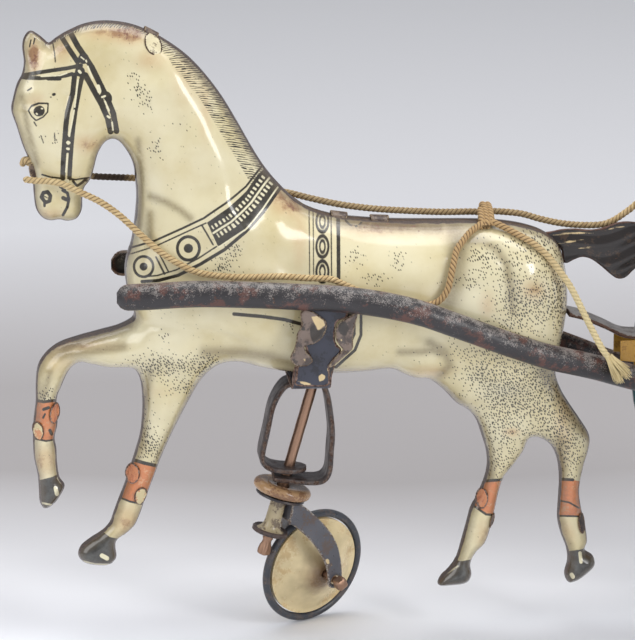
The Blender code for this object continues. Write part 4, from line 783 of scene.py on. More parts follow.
REIN_ROUTES = {
    "rein_far_front": [
        (-219.4, 5.7, 62.3), (-217.6, 5.9, 61.5), (-215.0, 6.4, 60.2), (-210.3, 7.4, 58.8),
        (-202.4, 7.8, 57.6), (-197.2, 8.4, 57.1), (-192.0, 9.4, 56.6), (-185.4, 11.7, 55.6),
        (-180.0, 12.9, 55.0), (-175.3, 13.4, 54.4), (-170.0, 12.9, 54.0), (-165.5, 11.4, 53.6),
        (-161.0, 10.2, 53.3), (-157.5, 8.8, 53.0), (-153.3, 6.0, 52.7), (-148.4, 4.2, 51.7),
        (-141.0, 3.5, 50.1), (-133.5, 3.3, 49.0), (-125.9, 3.3, 48.3), (-115.9, 3.3, 47.7),
        (-107.8, 3.3, 47.6), (-105.4, 2.4, 47.4),
    ],
    "rein_far_back": [
        (-105.0, 2.4, 47.4), (-102.6, 3.3, 47.6), (-95.7, 3.3, 46.9), (-90.6, 3.4, 45.4), (-85.5, 3.4, 44.2),
        (-80.4, 3.3, 43.6), (-75.3, 3.2, 43.6), (-72.3, 3.0, 44.5), (-69.8, 2.8, 46.1), (-66.5, 2.6, 48.7),
        (-62.9, 2.3, 53.0), (-60.6, 2.1, 56.8),
    ],
    "rein_near_front": [
        (-219.5, -5.7, 59.9), (-216.5, -6.3, 59.6), (-213.5, -6.7, 59.5), (-210.6, -7.0, 59.0),
        (-208.2, -6.9, 57.9), (-205.7, -6.8, 56.6), (-200.9, -7.2, 54.2), (-196.1, -8.2, 50.8),
        (-191.3, -9.9, 46.4), (-186.7, -12.4, 42.6), (-181.9, -14.2, 39.7), (-177.1, -14.9, 37.6),
        (-169.8, -15.5, 36.6), (-163.6, -15.9, 36.5), (-157.6, -16.1, 36.6), (-151.3, -16.2, 36.1),
        (-145.4, -16.3, 35.7), (-142.0, -16.4, 34.3), (-136.0, -16.5, 31.6), (-128.0, -16.4, 29.3),
        (-121.5, -16.1, 28.6), (-118.3, -15.9, 29.6), (-116.4, -15.8, 32.1), (-115.7, -15.5, 34.5),
        (-115.1, -14.8, 36.9), (-114.5, -13.7, 39.1), (-113.8, -12.4, 41.1), (-112.9, -11.3, 42.3),
        (-112.0, -10.4, 43.1), (-110.9, -9.3, 44.1), (-109.5, -7.9, 45.1), (-107.9, -6.4, 45.8),
        (-106.5, -5.3, 46.3), (-105.2, -4.4, 46.7),
    ],
    "rein_near_back": [
        (-104.9, -4.4, 46.7), (-103.5, -5.3, 46.6), (-100.7, -6.5, 45.4), (-97.4, -8.1, 43.8),
        (-93.9, -9.6, 41.8), (-90.6, -10.6, 38.8), (-87.9, -11.0, 35.4), (-85.8, -10.9, 32.5),
        (-83.8, -11.1, 29.0), (-79.9, -11.4, 21.1), (-76.9, -11.8, 15.4), (-75.0, -11.9, 12.8),
    ],
}


# Finishes


def maths(operation: str, flipped: bool = False) -> "Callable[[Wire, Wire | float], Wire]":
    """A method of Wire that adds one Math node over the wire and another value.

    Args:
        operation: The node's operation.
        flipped: Whether the other value comes first.

    Returns:
        The method.
    """

    def method(wire: "Wire", other: "Wire | float") -> "Wire":
        """The node's output."""
        values = (other, wire) if flipped else (wire, other)
        return wire.shade.node("Math", {"operation": operation}, dict(enumerate(values)))

    return method


class Wire:
    """A shader's socket, on which Python's operators add Math nodes. The greater of two is most."""

    __add__, __radd__ = maths("ADD"), maths("ADD", True)
    __sub__, __rsub__ = maths("SUBTRACT"), maths("SUBTRACT", True)
    __mul__, __rmul__ = maths("MULTIPLY"), maths("MULTIPLY", True)
    __truediv__, __pow__ = maths("DIVIDE"), maths("POWER")
    __mod__, most = maths("FLOORED_MODULO"), maths("MAXIMUM")

    def __init__(self, shade: "Shade", socket: bpy.types.NodeSocket) -> None:
        """Keeps the socket and the shade that it belongs to."""
        self.shade = shade
        self.socket = socket

    def size(self) -> "Wire":
        """This without its sign."""
        return self.shade.node("Math", {"operation": "ABSOLUTE"}, {0: self})

    def above(self, edge: "Wire | float", soft: float) -> "Wire":
        """0 below an edge and 1 above it, over a soft width.

        Args:
            edge: Where it turns.
            soft: How wide the turn is.

        Returns:
            A mask from 0 to 1.
        """
        return self.shade.node("Clamp", {}, {"Value": (self - edge) * (1 / soft) + 0.5})


class Shade:
    """The nodes of one material."""

    def __init__(self, name: str) -> None:
        """Starts an empty material of that name."""
        self.material = bpy.data.materials.new(name)
        self.material.use_nodes = True
        self.tree = self.material.node_tree
        self.tree.nodes.clear()
        self.place = self.node("TexCoord", {}, {}, "Object")

    def node(self, kind: str, settings: dict, sockets: dict, out: int | str = 0) -> Wire:
        """Adds one node.

        Args:
            kind: The node's type, without the word ShaderNode.
            settings: Its own settings, which are set first.
            sockets: Values or wires for its inputs, by name or number.
            out: Which output to give back.

        Returns:
            That output.
        """
        made = self.tree.nodes.new("ShaderNode" + kind)
        for key, value in settings.items():
            setattr(made, key, value)
        for key, value in sockets.items():
            if isinstance(value, Wire):
                self.tree.links.new(value.socket, made.inputs[key])
            else:
                made.inputs[key].default_value = value
        return Wire(self, made.outputs[out])

    def field(self, name: str, out: str = "Fac") -> Wire:
        """A value that the piece's mesh carries, by name."""
        return self.node("Attribute", {"attribute_name": name}, {}, out)

    def parts(self, place: Wire) -> tuple[Wire, Wire, Wire]:
        """The three parts of a vector."""
        split = self.node("SeparateXYZ", {}, {"Vector": place}).socket.node
        return tuple(Wire(self, socket) for socket in split.outputs)

    def noise(self, grain: float, place: Wire | None = None, detail: float = 3.0, rough: float = 0.55,
              stretch: tuple[float, float, float] = (1.0, 1.0, 1.0)) -> Wire:
        """Smooth noise from about 0.2 to 0.8.

        Args:
            grain: Size of its blobs in metres.
            place: Where it is read, or the piece's own places.
            detail: How many finer layers it has.
            rough: How strong the finer layers are.
            stretch: Scale along each axis.

        Returns:
            The noise.
        """
        at = place or self.place
        if stretch != (1.0, 1.0, 1.0):
            at = self.node("VectorMath", {"operation": "MULTIPLY"}, {0: at, 1: stretch})
        return self.node("TexNoise", {}, {"Vector": at, "Scale": 1 / grain, "Detail": detail,
                                          "Roughness": rough})

    def spots(self, spacing: float, place: Wire | None = None) -> tuple[Wire, Wire]:
        """Scattered dots: the distance to the nearest dot's middle, and a number that each dot keeps.

        Args:
            spacing: Distance between dots in metres.
            place: Where it is read, or the piece's own places.

        Returns:
            The distance in spacings, and the dot's number from 0 to 1.
        """
        near = self.node("TexVoronoi", {"voronoi_dimensions": "2D" if place else "3D"},
                         {"Vector": place or self.place, "Scale": 1 / spacing, "Randomness": 0.85})
        number, _, _ = self.parts(Wire(self, near.socket.node.outputs["Color"]))
        return near, number

    def mix(self, first: "Wire | Colour", second: "Wire | Colour", share: "Wire | float",
            blend: str = "MIX") -> Wire:
        """One colour laid over another by a share."""
        return self.node("Mix", {"data_type": "RGBA", "blend_type": blend, "clamp_factor": True},
                         {0: share, 6: first, 7: second}, 2)

    def finished(self, colour: Wire, roughness: "Wire | float", metallic: "Wire | float", height: Wire,
                 depth: float, **fixed: float) -> bpy.types.Material:
        """Ends the material in one Principled shader with a bump.

        Args:
            colour: Base colour.
            roughness: Roughness.
            metallic: Share of bare metal.
            height: Height of the surface, from 0 to 1.
            depth: How deep that height is in metres.
            fixed: Constants by socket name, with _ for a space.

        Returns:
            The material.
        """
        normal = self.node("Bump", {}, {"Height": height, "Distance": depth, "Strength": 1.0}, "Normal")
        shader = self.node("BsdfPrincipled", {}, {
            "Base Color": colour, "Roughness": roughness, "Metallic": metallic, "Normal": normal,
            **{key.replace("_", " "): value for key, value in fixed.items()}})
        output = self.tree.nodes.new("ShaderNodeOutputMaterial")
        self.tree.links.new(shader.socket, output.inputs["Surface"])
        return self.material


@dataclass(frozen=True)
class Finish:
    """What every finish has: a name, the record's material slot, and one material made at first use."""

    name: str
    slot: str

    def material(self) -> bpy.types.Material:
        """The finish's material, made once."""
        return bpy.data.materials.get(self.name) or self.mixed(Shade(self.name))

    def mixed(self, shade: Shade) -> bpy.types.Material:
        """Fills the material's nodes."""
        raise NotImplementedError


@dataclass(frozen=True)
class PaintedTin(Finish):
    """Lacquer on tin: patches, chips and grime, and if asked for lining, a darker hub, blots or painted
    glints.
    """

    coat: Colour = srgb(60, 62, 72)
    patch: Colour = srgb(48, 40, 38)
    bare: Colour = srgb(150, 130, 112)
    patch_grain: float = 4 * MM
    patched: float = 0.3
    chipped: float = 0.12
    painted_glints: float = 0.0
    gloss: float = 0.3
    edge_worn: float = 0.0
    lining: tuple[float, ...] = ()
    line_colour: Colour = srgb(205, 180, 120)
    line_round: bool = True
    line_half: float = 0.22
    hub_darkening: float = 0.0
    blots: bool = False

    def mixed(self, shade: Shade) -> bpy.types.Material:
        """Coat, patches, lining, darker hub, blots, grime, chips and painted glint specks, in that order."""
        broad = shade.noise(self.patch_grain, detail=4.0, rough=0.6)
        fine = shade.noise(0.5 * MM, detail=2.0)
        veins = shade.noise(1.6 * MM, detail=5.0, rough=0.7)
        patches = (broad + 0.25 * (fine - 0.5)).above(0.72 - 0.4 * self.patched, 0.08)
        colour = shade.mix(self.coat, self.patch, patches)
        if self.lining:
            x, _, z = shade.parts(shade.place)
            across, up = x - float(AXLE_LINE[0]), z - float(AXLE_LINE[2])
            reach = (across * across + up * up) ** 0.5 / MM if self.line_round else z / MM
            for at in self.lining:
                line = (self.line_half - (reach - at).size() + 0.12 * (veins - 0.5)).above(0.0, 0.08)
                colour = shade.mix(colour, self.line_colour, line * veins.above(0.36, 0.1))
        # Darker brown towards the hub, inside the given radius in millimetres.
        if self.hub_darkening:
            near = (self.hub_darkening - shade.field("radius")) / self.hub_darkening + 0.7 * (broad - 0.5)
            colour = shade.mix(colour, srgb(122, 88, 60), near.above(0.3, 0.7) * 0.85)
        if self.blots:
            dim = (shade.field("dim") + 2.4 * (veins - 0.5)).above(0.0, 0.8)
            colour = shade.mix(colour, srgb(60, 56, 53), dim * 0.9)
            # Pale blots: cream marks, and on the tail painted highlights.
            light = (shade.field("light") + 1.8 * (veins - 0.5)).above(0.0, 0.6)
            colour = shade.mix(colour, srgb(216, 192, 146), light)
        colour = shade.mix(colour, srgb(26, 22, 20), shade.noise(9 * MM).above(0.58, 0.35) * 0.35)
        chips = (veins + 0.3 * (fine - 0.5)).above(0.78 - 0.35 * self.chipped, 0.03)
        if self.edge_worn:
            near = self.edge_worn - shade.field("edge") + 1.1 * (shade.noise(1.2 * MM) - 0.5)
            chips = chips.most(near.above(0.0, 0.12))
        colour = shade.mix(colour, shade.mix(self.bare, srgb(70, 45, 32), fine.above(0.5, 0.3)), chips)
        # Painted glints: pale specks, more of them on a piece's upper side, standing in for the lamps' sheen.
        if self.painted_glints:
            grit = shade.noise(0.32 * MM, detail=3.0, rough=0.8) + 0.5 * (veins - 0.5)
            glints = grit + 0.16 * shade.field("upper") + 0.5 * (shade.noise(2.6 * MM, detail=3.0) - 0.5)
            glints = glints.above(0.74 - 0.1 * self.painted_glints, 0.06)
            colour = shade.mix(colour, srgb(164, 156, 150), glints * 0.6)
        roughness = self.gloss + 0.3 * chips + 0.3 * (broad - 0.5)
        height = 0.8 * (1 - chips) + 0.25 * veins + 0.1 * fine
        return shade.finished(colour, roughness, 0.45 * chips, height, 0.05 * MM)


@dataclass(frozen=True)
class BareMetal(Finish):
    """Metal with tarnish, rust and fine scratches."""

    colour: Colour = srgb(150, 145, 140)
    tarnish: Colour = srgb(90, 80, 72)
    rust: Colour = srgb(122, 74, 50)
    rusted: float = 0.2
    tarnished: float = 0.5
    polish: float = 0.35
    metal: float = 0.9
    shine: float = 0.5
    scratch: tuple[float, float, float] = (0.15, 1.0, 1.0)

    def mixed(self, shade: Shade) -> bpy.types.Material:
        """Metal, tarnish clouds, rust in patches and scratches along one way."""
        cloud = shade.noise(3 * MM, detail=4.0)
        grit = shade.noise(0.45 * MM, detail=3.0, rough=0.7)
        lines = shade.noise(0.25 * MM, stretch=self.scratch, detail=2.0)
        dulled = (cloud + 0.3 * (grit - 0.5)).above(0.75 - 0.5 * self.tarnished, 0.35)
        colour = shade.mix(self.colour, self.tarnish, dulled)
        rust = shade.noise(2.2 * MM, detail=5.0, rough=0.65) + 0.25 * (grit - 0.5)
        rust = rust.above(0.78 - 0.5 * self.rusted, 0.07)
        colour = shade.mix(colour, shade.mix(self.rust, srgb(68, 42, 32), grit.above(0.5, 0.3)), rust)
        colour = shade.mix(colour, srgb(230, 225, 215), lines.above(0.66, 0.05) * (1 - rust) * 0.25)
        roughness = self.polish + 0.4 * rust + 0.35 * (cloud - 0.5) + 0.12 * (lines - 0.5)
        metallic = self.metal * (1 - rust * 0.9)
        height = 0.6 * rust * grit + 0.15 * lines + 0.2 * grit
        return shade.finished(colour, roughness, metallic, height, 0.06 * MM, Specular_IOR_Level=self.shine)


@dataclass(frozen=True)
class SpunTwine(Finish):
    """Twine: fibres that follow the strands, painted shade between them, with pale, tanned and darker
    stretches.
    """

    light: Colour = srgb(218, 194, 146)
    mid: Colour = srgb(184, 154, 108)
    # deep: the colour of the painted shade between strands.
    deep: Colour = srgb(118, 92, 58)

    def mixed(self, shade: Shade) -> bpy.types.Material:
        """Fibre noise on the lay field and painted shade in the grooves, then what is bleached, tanned and
        darkened.
        """
        lay = shade.field("lay", "Vector")
        fibre = shade.noise(1.0, lay, detail=3.0, rough=0.7, stretch=(0.9, 9.0, 1.0))
        clump = shade.noise(1.0, lay, detail=2.0, stretch=(0.25, 1.5, 1.0))
        body = shade.mix(self.mid, self.light, (clump + 0.5 * (fibre - 0.5)).above(0.5, 0.4))
        strand = shade.field("strand")
        # Painted shade: the deep colour in the grooves between strands.
        groove_shade = (0.42 - strand + 0.3 * (fibre - 0.5)).above(0.0, 0.3)
        colour = shade.mix(body, self.deep, groove_shade * 0.85)
        colour = shade.mix(colour, srgb(228, 214, 166), shade.field("bleached") * 0.6)
        # Tanned stretches, with painted shade in their grooves.
        handled = shade.mix(srgb(172, 138, 94), srgb(104, 78, 50), (0.5 - strand).above(0.0, 0.4))
        colour = shade.mix(colour, handled, shade.field("tanned") * (0.5 + 0.5 * clump))
        colour = shade.mix(colour, srgb(48, 34, 28), shade.field("stained"))
        return shade.finished(colour, 0.82 + 0.2 * (fibre - 0.5), 0.0, fibre * 0.7 + 0.3 * clump, 0.12 * MM)


@dataclass(frozen=True)
class PrintedTin(Finish):
    """The horse's printed and lacquered tin, whose print the mesh carries as fields."""

    def mixed(self, shade: Shade) -> bpy.types.Material:
        """Cream ground, stains, airbrush and painted crease shade, mane with a painted highlight, stipple,
        bandages, hooves, ink, lights, painted edge shade, a dark rim and chips.
        """
        cloud = shade.noise(9 * MM, detail=4.0)
        fine = shade.noise(0.6 * MM, detail=3.0, rough=0.7)
        blot = shade.noise(2.4 * MM, detail=5.0, rough=0.7)
        ground = shade.mix(srgb(221, 209, 168), srgb(208, 193, 146), cloud.above(0.52, 0.3))
        ground = shade.mix(ground, srgb(230, 222, 190), shade.noise(16 * MM).above(0.56, 0.3) * 0.7)
        stain = shade.field("stain")
        ground = shade.mix(ground, srgb(196, 158, 112), (stain * (0.35 + 1.1 * blot)).above(0.5, 0.9) * 0.9)
        burnt = (stain * (0.2 + blot * 1.2) - 0.62).above(0.0, 0.25)
        ground = shade.mix(ground, srgb(134, 92, 64), burnt * 0.7)
        # Khaki along creases, valleys and leg edges: the print's airbrush and painted shade in the creases.
        ground = shade.mix(ground, srgb(126, 110, 76), shade.field("brushed") * (0.6 + 0.5 * fine))
        freckles = shade.noise(0.9 * MM, detail=5.0, rough=0.8).above(0.67, 0.04)
        ground = shade.mix(ground, srgb(140, 112, 82), freckles * 0.5)

        mane = shade.field("mane_lay", "Vector")
        hair = shade.noise(1.0, mane, detail=2.0, rough=0.5, stretch=(0.5, 0.12, 1.0))
        run, _, _ = shade.parts(mane)
        stroke = (((run * 0.34 + 1.6 * hair) % 1.0) - 0.5).size()
        ink = srgb(46, 42, 34)
        thick = shade.field("mane")
        colour = shade.mix(ground, srgb(128, 122, 108), thick.above(0.75, 0.4) * 0.4)
        colour = shade.mix(colour, ink, (0.10 + 0.5 * (hair - 0.42) + 0.08 * thick - stroke).above(0.0, 0.12)
                           * thick.above(0.14, 0.12))

        x, _, z = shade.parts(shade.place)
        flat = shade.node("CombineXYZ", {}, {"X": x + 0.35 * z, "Y": z * 0.7})
        away, number = shade.spots(0.56 * MM, flat)
        stipple = shade.field("stipple")
        share = stipple * (0.75 + 0.9 * blot)
        dots = (0.32 + 0.16 * (number - 0.5) - away).above(0.0, 0.14) * (share - number).above(0.0, 0.05)
        colour = shade.mix(colour, srgb(120, 112, 88), stipple * 0.16)
        colour = shade.mix(colour, ink, dots * 0.95)

        ragged = 0.55 * (fine - 0.5)
        faded = (blot + 0.3 * (fine - 0.5)).above(0.6, 0.12)
        cloth = shade.mix(srgb(206, 128, 80), srgb(216, 176, 134), faded * 0.6)
        cloth = shade.mix(cloth, srgb(150, 96, 74), (cloud + 0.5 * (fine - 0.5)).above(0.6, 0.2) * 0.5)
        colour = shade.mix(colour, cloth, (shade.field("bandage") + ragged).above(0.0, 0.5))
        hoof = (shade.field("hoof") + ragged).above(0.0, 0.7)
        colour = shade.mix(colour, shade.mix(srgb(84, 84, 80), srgb(52, 50, 46), blot.above(0.5, 0.3)), hoof)
        colour = shade.mix(colour, shade.mix(ink, srgb(66, 60, 46), blot.above(0.55, 0.2)),
                           (shade.field("ink") + ragged).above(0.0, 0.6))
        colour = shade.mix(colour, srgb(232, 224, 190), (shade.field("pale") + ragged).above(0.0, 0.55))

        edge = shade.field("edge")
        # A dark rim within about 0.4 mm of the outline, rougher and lower than the lacquer.
        worn = (0.42 + 0.75 * (blot - 0.5) - edge).above(0.0, 0.16)
        # A darker band within about 1.5 mm of the outline: the print's airbrush and painted shade where the
        # form turns away.
        colour = shade.mix(colour, srgb(96, 80, 58), (1.5 + 1.8 * (blot - 0.5) - edge).above(0.0, 1.6) * 0.5)
        colour = shade.mix(colour, shade.mix(srgb(40, 33, 31), srgb(92, 70, 56), fine.above(0.5, 0.3)), worn)
        chips = (shade.noise(1.5 * MM, detail=5.0, rough=0.75) + 0.25 * stain).above(0.80, 0.02) * 0.8
        colour = shade.mix(colour, srgb(118, 74, 52), chips)
        roughness = 0.2 + 0.3 * chips + 0.3 * worn + 0.16 * (cloud - 0.4) + 0.12 * (fine - 0.5)
        height = 0.5 * (1 - chips.most(worn)) + 0.12 * blot + 0.05 * fine
        return shade.finished(colour, roughness, 0.0, height, 0.05 * MM, Coat_Weight=0.7, Coat_Roughness=0.09)


class Looks:
    """The toy's finishes, each named for what it covers."""

    HORSE = PrintedTin("printed_cream_tin", "horse_tin")
    # The shaft's pale specks are painted glints, denser on its upper side.
    SHAFT = PaintedTin("black_shaft_paint", "black_tin", srgb(50, 47, 49), srgb(96, 64, 56),
                       srgb(156, 132, 116), patch_grain=5 * MM, patched=0.38, chipped=0.34, painted_glints=1.0,
                       gloss=0.4, edge_worn=0.3)
    TAIL = PaintedTin("black_tail_paint", "black_tin", srgb(44, 39, 37), srgb(74, 58, 46), srgb(92, 64, 54),
                      patched=0.3, chipped=0.14, gloss=0.16, edge_worn=0.3, blots=True)
    BRACKET = PaintedTin("blue_grey_bracket_paint", "dark_tin", srgb(58, 60, 72), srgb(46, 46, 54),
                         srgb(140, 116, 104), patched=0.4, chipped=0.26, gloss=0.34, edge_worn=0.45,
                         blots=True)
    STRAP = PaintedTin("worn_strap_paint", "dark_tin", srgb(82, 73, 70), srgb(58, 48, 46),
                       srgb(116, 100, 90), patch_grain=3 * MM, patched=0.55, chipped=0.4, gloss=0.42,
                       edge_worn=0.12)
    EAR = PaintedTin("brown_ear_tin", "dark_tin", srgb(124, 108, 98), srgb(84, 74, 70), srgb(168, 152, 130),
                     patch_grain=3 * MM, patched=0.5, chipped=0.3, gloss=0.4, edge_worn=0.3, blots=True)
    TAB = PaintedTin("bare_tab_tin", "bare_tin", srgb(120, 102, 86), srgb(74, 58, 50), srgb(168, 150, 124),
                     patch_grain=2 * MM, patched=0.55, chipped=0.25, gloss=0.38, edge_worn=0.3)
    TONGUE = PaintedTin("grey_tongue_tin", "bare_tin", srgb(132, 128, 124), srgb(98, 92, 88),
                        srgb(90, 66, 54), patched=0.4, chipped=0.2, gloss=0.36, edge_worn=0.25)
    WASHER = PaintedTin("tan_washer_lacquer", "tan_tin", srgb(178, 142, 104), srgb(140, 104, 76),
                        srgb(96, 66, 48), patched=0.45, chipped=0.0, gloss=0.08)
    DISC = PaintedTin("cream_disc_paint", "cream_tin", srgb(230, 210, 164), srgb(212, 184, 134),
                      srgb(112, 78, 56), patch_grain=6 * MM, patched=0.35, chipped=0.1, gloss=0.26,
                      hub_darkening=7.5)
    SPOOL = PaintedTin("cream_spool_paint", "cream_tin", srgb(188, 172, 138), srgb(128, 112, 92),
                       srgb(100, 80, 66), patch_grain=3 * MM, patched=0.5, chipped=0.16, gloss=0.24)
    TAB_ORANGE = PaintedTin("orange_tab_paint", "horse_tin", srgb(204, 136, 96), srgb(182, 112, 80),
                            srgb(150, 132, 120), patch_grain=2 * MM, patched=0.4, chipped=0.25, gloss=0.3,
                            edge_worn=0.34)
    TAB_CREAM = PaintedTin("cream_tab_paint", "horse_tin", srgb(222, 206, 162), srgb(206, 146, 106),
                           srgb(120, 100, 88), patch_grain=2 * MM, patched=0.42, chipped=0.3, gloss=0.28,
                           edge_worn=0.34)
    TAB_MANE = PaintedTin("cream_mane_tab_paint", "horse_tin", srgb(226, 214, 176), srgb(150, 136, 110),
                          srgb(84, 70, 60), patch_grain=2 * MM, patched=0.3, chipped=0.2, gloss=0.24,
                          edge_worn=0.34)
    TAB_DARK = PaintedTin("dark_tab_tin", "horse_tin", srgb(78, 62, 55), srgb(54, 44, 42),
                          srgb(150, 126, 104), patch_grain=2 * MM, patched=0.5, chipped=0.25, gloss=0.36,
                          edge_worn=0.3)
    FLANGE = PaintedTin("brown_flange_paint", "dark_tin", srgb(82, 66, 60), srgb(58, 46, 44),
                        srgb(140, 112, 96), patch_grain=3 * MM, patched=0.5, chipped=0.34, gloss=0.4)
    TYRE = PaintedTin("dark_tyre_paint", "tyre_tin", srgb(66, 69, 76), srgb(92, 84, 82), srgb(166, 158, 150),
                      patched=0.35, chipped=0.42, gloss=0.32)
    OCHRE = PaintedTin("ochre_plate_paint", "ochre_tin", srgb(186, 142, 62), srgb(150, 108, 48),
                       srgb(106, 84, 66), patched=0.3, chipped=0.18, gloss=0.28)
    TEAL = PaintedTin("teal_wheel_paint", "teal_tin", srgb(36, 74, 78), srgb(28, 52, 56),
                      srgb(130, 118, 104), patched=0.35, chipped=0.22, gloss=0.26, lining=(6.6, 59.3),
                      line_colour=srgb(214, 196, 140), line_half=0.35)
    MAROON = PaintedTin("maroon_body_paint", "maroon_tin", srgb(122, 40, 38), srgb(92, 32, 32),
                        srgb(138, 112, 96), patched=0.3, chipped=0.16, gloss=0.22, lining=(88.2, 89.6),
                        line_colour=srgb(216, 186, 112), line_round=False)
    MAROON_PLAIN = PaintedTin("maroon_seat_paint", "maroon_tin", srgb(116, 40, 38), srgb(86, 32, 32),
                              srgb(138, 112, 96), patched=0.35, chipped=0.18, gloss=0.26)
    FORK = PaintedTin("dark_fork_arm_paint", "dark_tin", srgb(88, 88, 94), srgb(94, 80, 74),
                      srgb(176, 168, 158), patched=0.4, chipped=0.26, gloss=0.32, edge_worn=0.3, blots=True)
    FORK_PLAIN = PaintedTin("dark_fork_paint", "dark_tin", srgb(58, 56, 60), srgb(74, 60, 54),
                            srgb(132, 112, 96), patched=0.4, chipped=0.2, gloss=0.34)
    STEEL = BareMetal("motor_steel", "steel", srgb(152, 150, 148), srgb(104, 98, 92), rusted=0.22,
                      polish=0.36)
    RUSTY = BareMetal("rusty_steel", "rusty_steel", srgb(98, 80, 70), srgb(58, 44, 38), srgb(104, 60, 38),
                      rusted=0.56, tarnished=0.8, polish=0.42, metal=0.05, shine=0.12)
    SPRING = BareMetal("blue_spring_steel", "blue_spring_steel", srgb(66, 76, 104), srgb(96, 84, 84),
                       rusted=0.12, polish=0.26)
    BRASS = BareMetal("old_brass", "brass", srgb(204, 168, 92), srgb(138, 104, 54), srgb(104, 84, 50),
                      rusted=0.14, tarnished=0.45, polish=0.28)
    TWINE = SpunTwine("spun_twine", "twine")


# Camera and stage


@dataclass(frozen=True)
class Lens:
    """The camera of the photograph, and where it puts a point of the toy in the picture."""

    target: tuple[float, float, float] = (-0.0664, 0.0, 0.0824)
    azimuth: float = -5.5
    elevation: float = 14.0
    distance: float = 0.85
    scale: float = 4000.0
    width: float = 635.0
    height: float = 640.0

    def axes(self) -> tuple[Array, Array, Array]:
        """Directions towards the camera, to its right and up."""
        a, e = math.radians(self.azimuth), math.radians(self.elevation)
        back = np.array([math.sin(a) * math.cos(e), -math.cos(a) * math.cos(e), math.sin(e)])
        right = np.array([math.cos(a), math.sin(a), 0.0])
        return back, right, np.cross(back, right)

    def seen(self, points: Array) -> Array:
        """Where the camera sees points, in pixels.

        Formula: the way right and down from the target, times scale times distance over depth.

        Args:
            points: Places in metres.

        Returns:
            Pixels, two numbers for each place.
        """
        back, right, up = self.axes()
        away = points - np.asarray(self.target)
        grow = self.scale * self.distance / (self.distance - away @ back)
        across, down = self.width / 2 + grow * (away @ right), self.height / 2 - grow * (away @ up)
        return np.stack([across, down], axis=1)

    def onto(self, px: Points | Array, y: float) -> Array:
        """Where the sight lines through pixels meet a plane at y.

        Args:
            px: Pixels, two numbers each.
            y: The plane's place on Y.

        Returns:
            Pairs of x and z in metres.
        """
        px = np.asarray(px, float)
        back, right, up = self.axes()
        eye = np.asarray(self.target) + back * self.distance
        way = (-back * self.distance + (px[:, :1] - self.width / 2) / self.scale * right
               + (self.height / 2 - px[:, 1:]) / self.scale * up)
        place = eye + way * ((y - eye[1]) / way[:, 1:2])
        return place[:, ::2]

    def camera(self) -> bpy.types.Object:
        """Makes the scene's camera."""
        data = bpy.data.cameras.new("camera")
        data.sensor_width = 36.0
        data.lens = 36.0 * self.distance * self.scale / max(self.width, self.height)
        data.clip_start, data.clip_end = 0.01, 20.0
        made = bpy.data.objects.new("camera", data)
        back, _, _ = self.axes()
        made.location = Vector(np.asarray(self.target) + back * self.distance)
        made.rotation_mode = "QUATERNION"
        made.rotation_quaternion = Vector(-back).to_track_quat("-Z", "Y")
        bpy.context.scene.collection.objects.link(made)
        bpy.context.scene.camera = made
        return made


LENS = Lens()


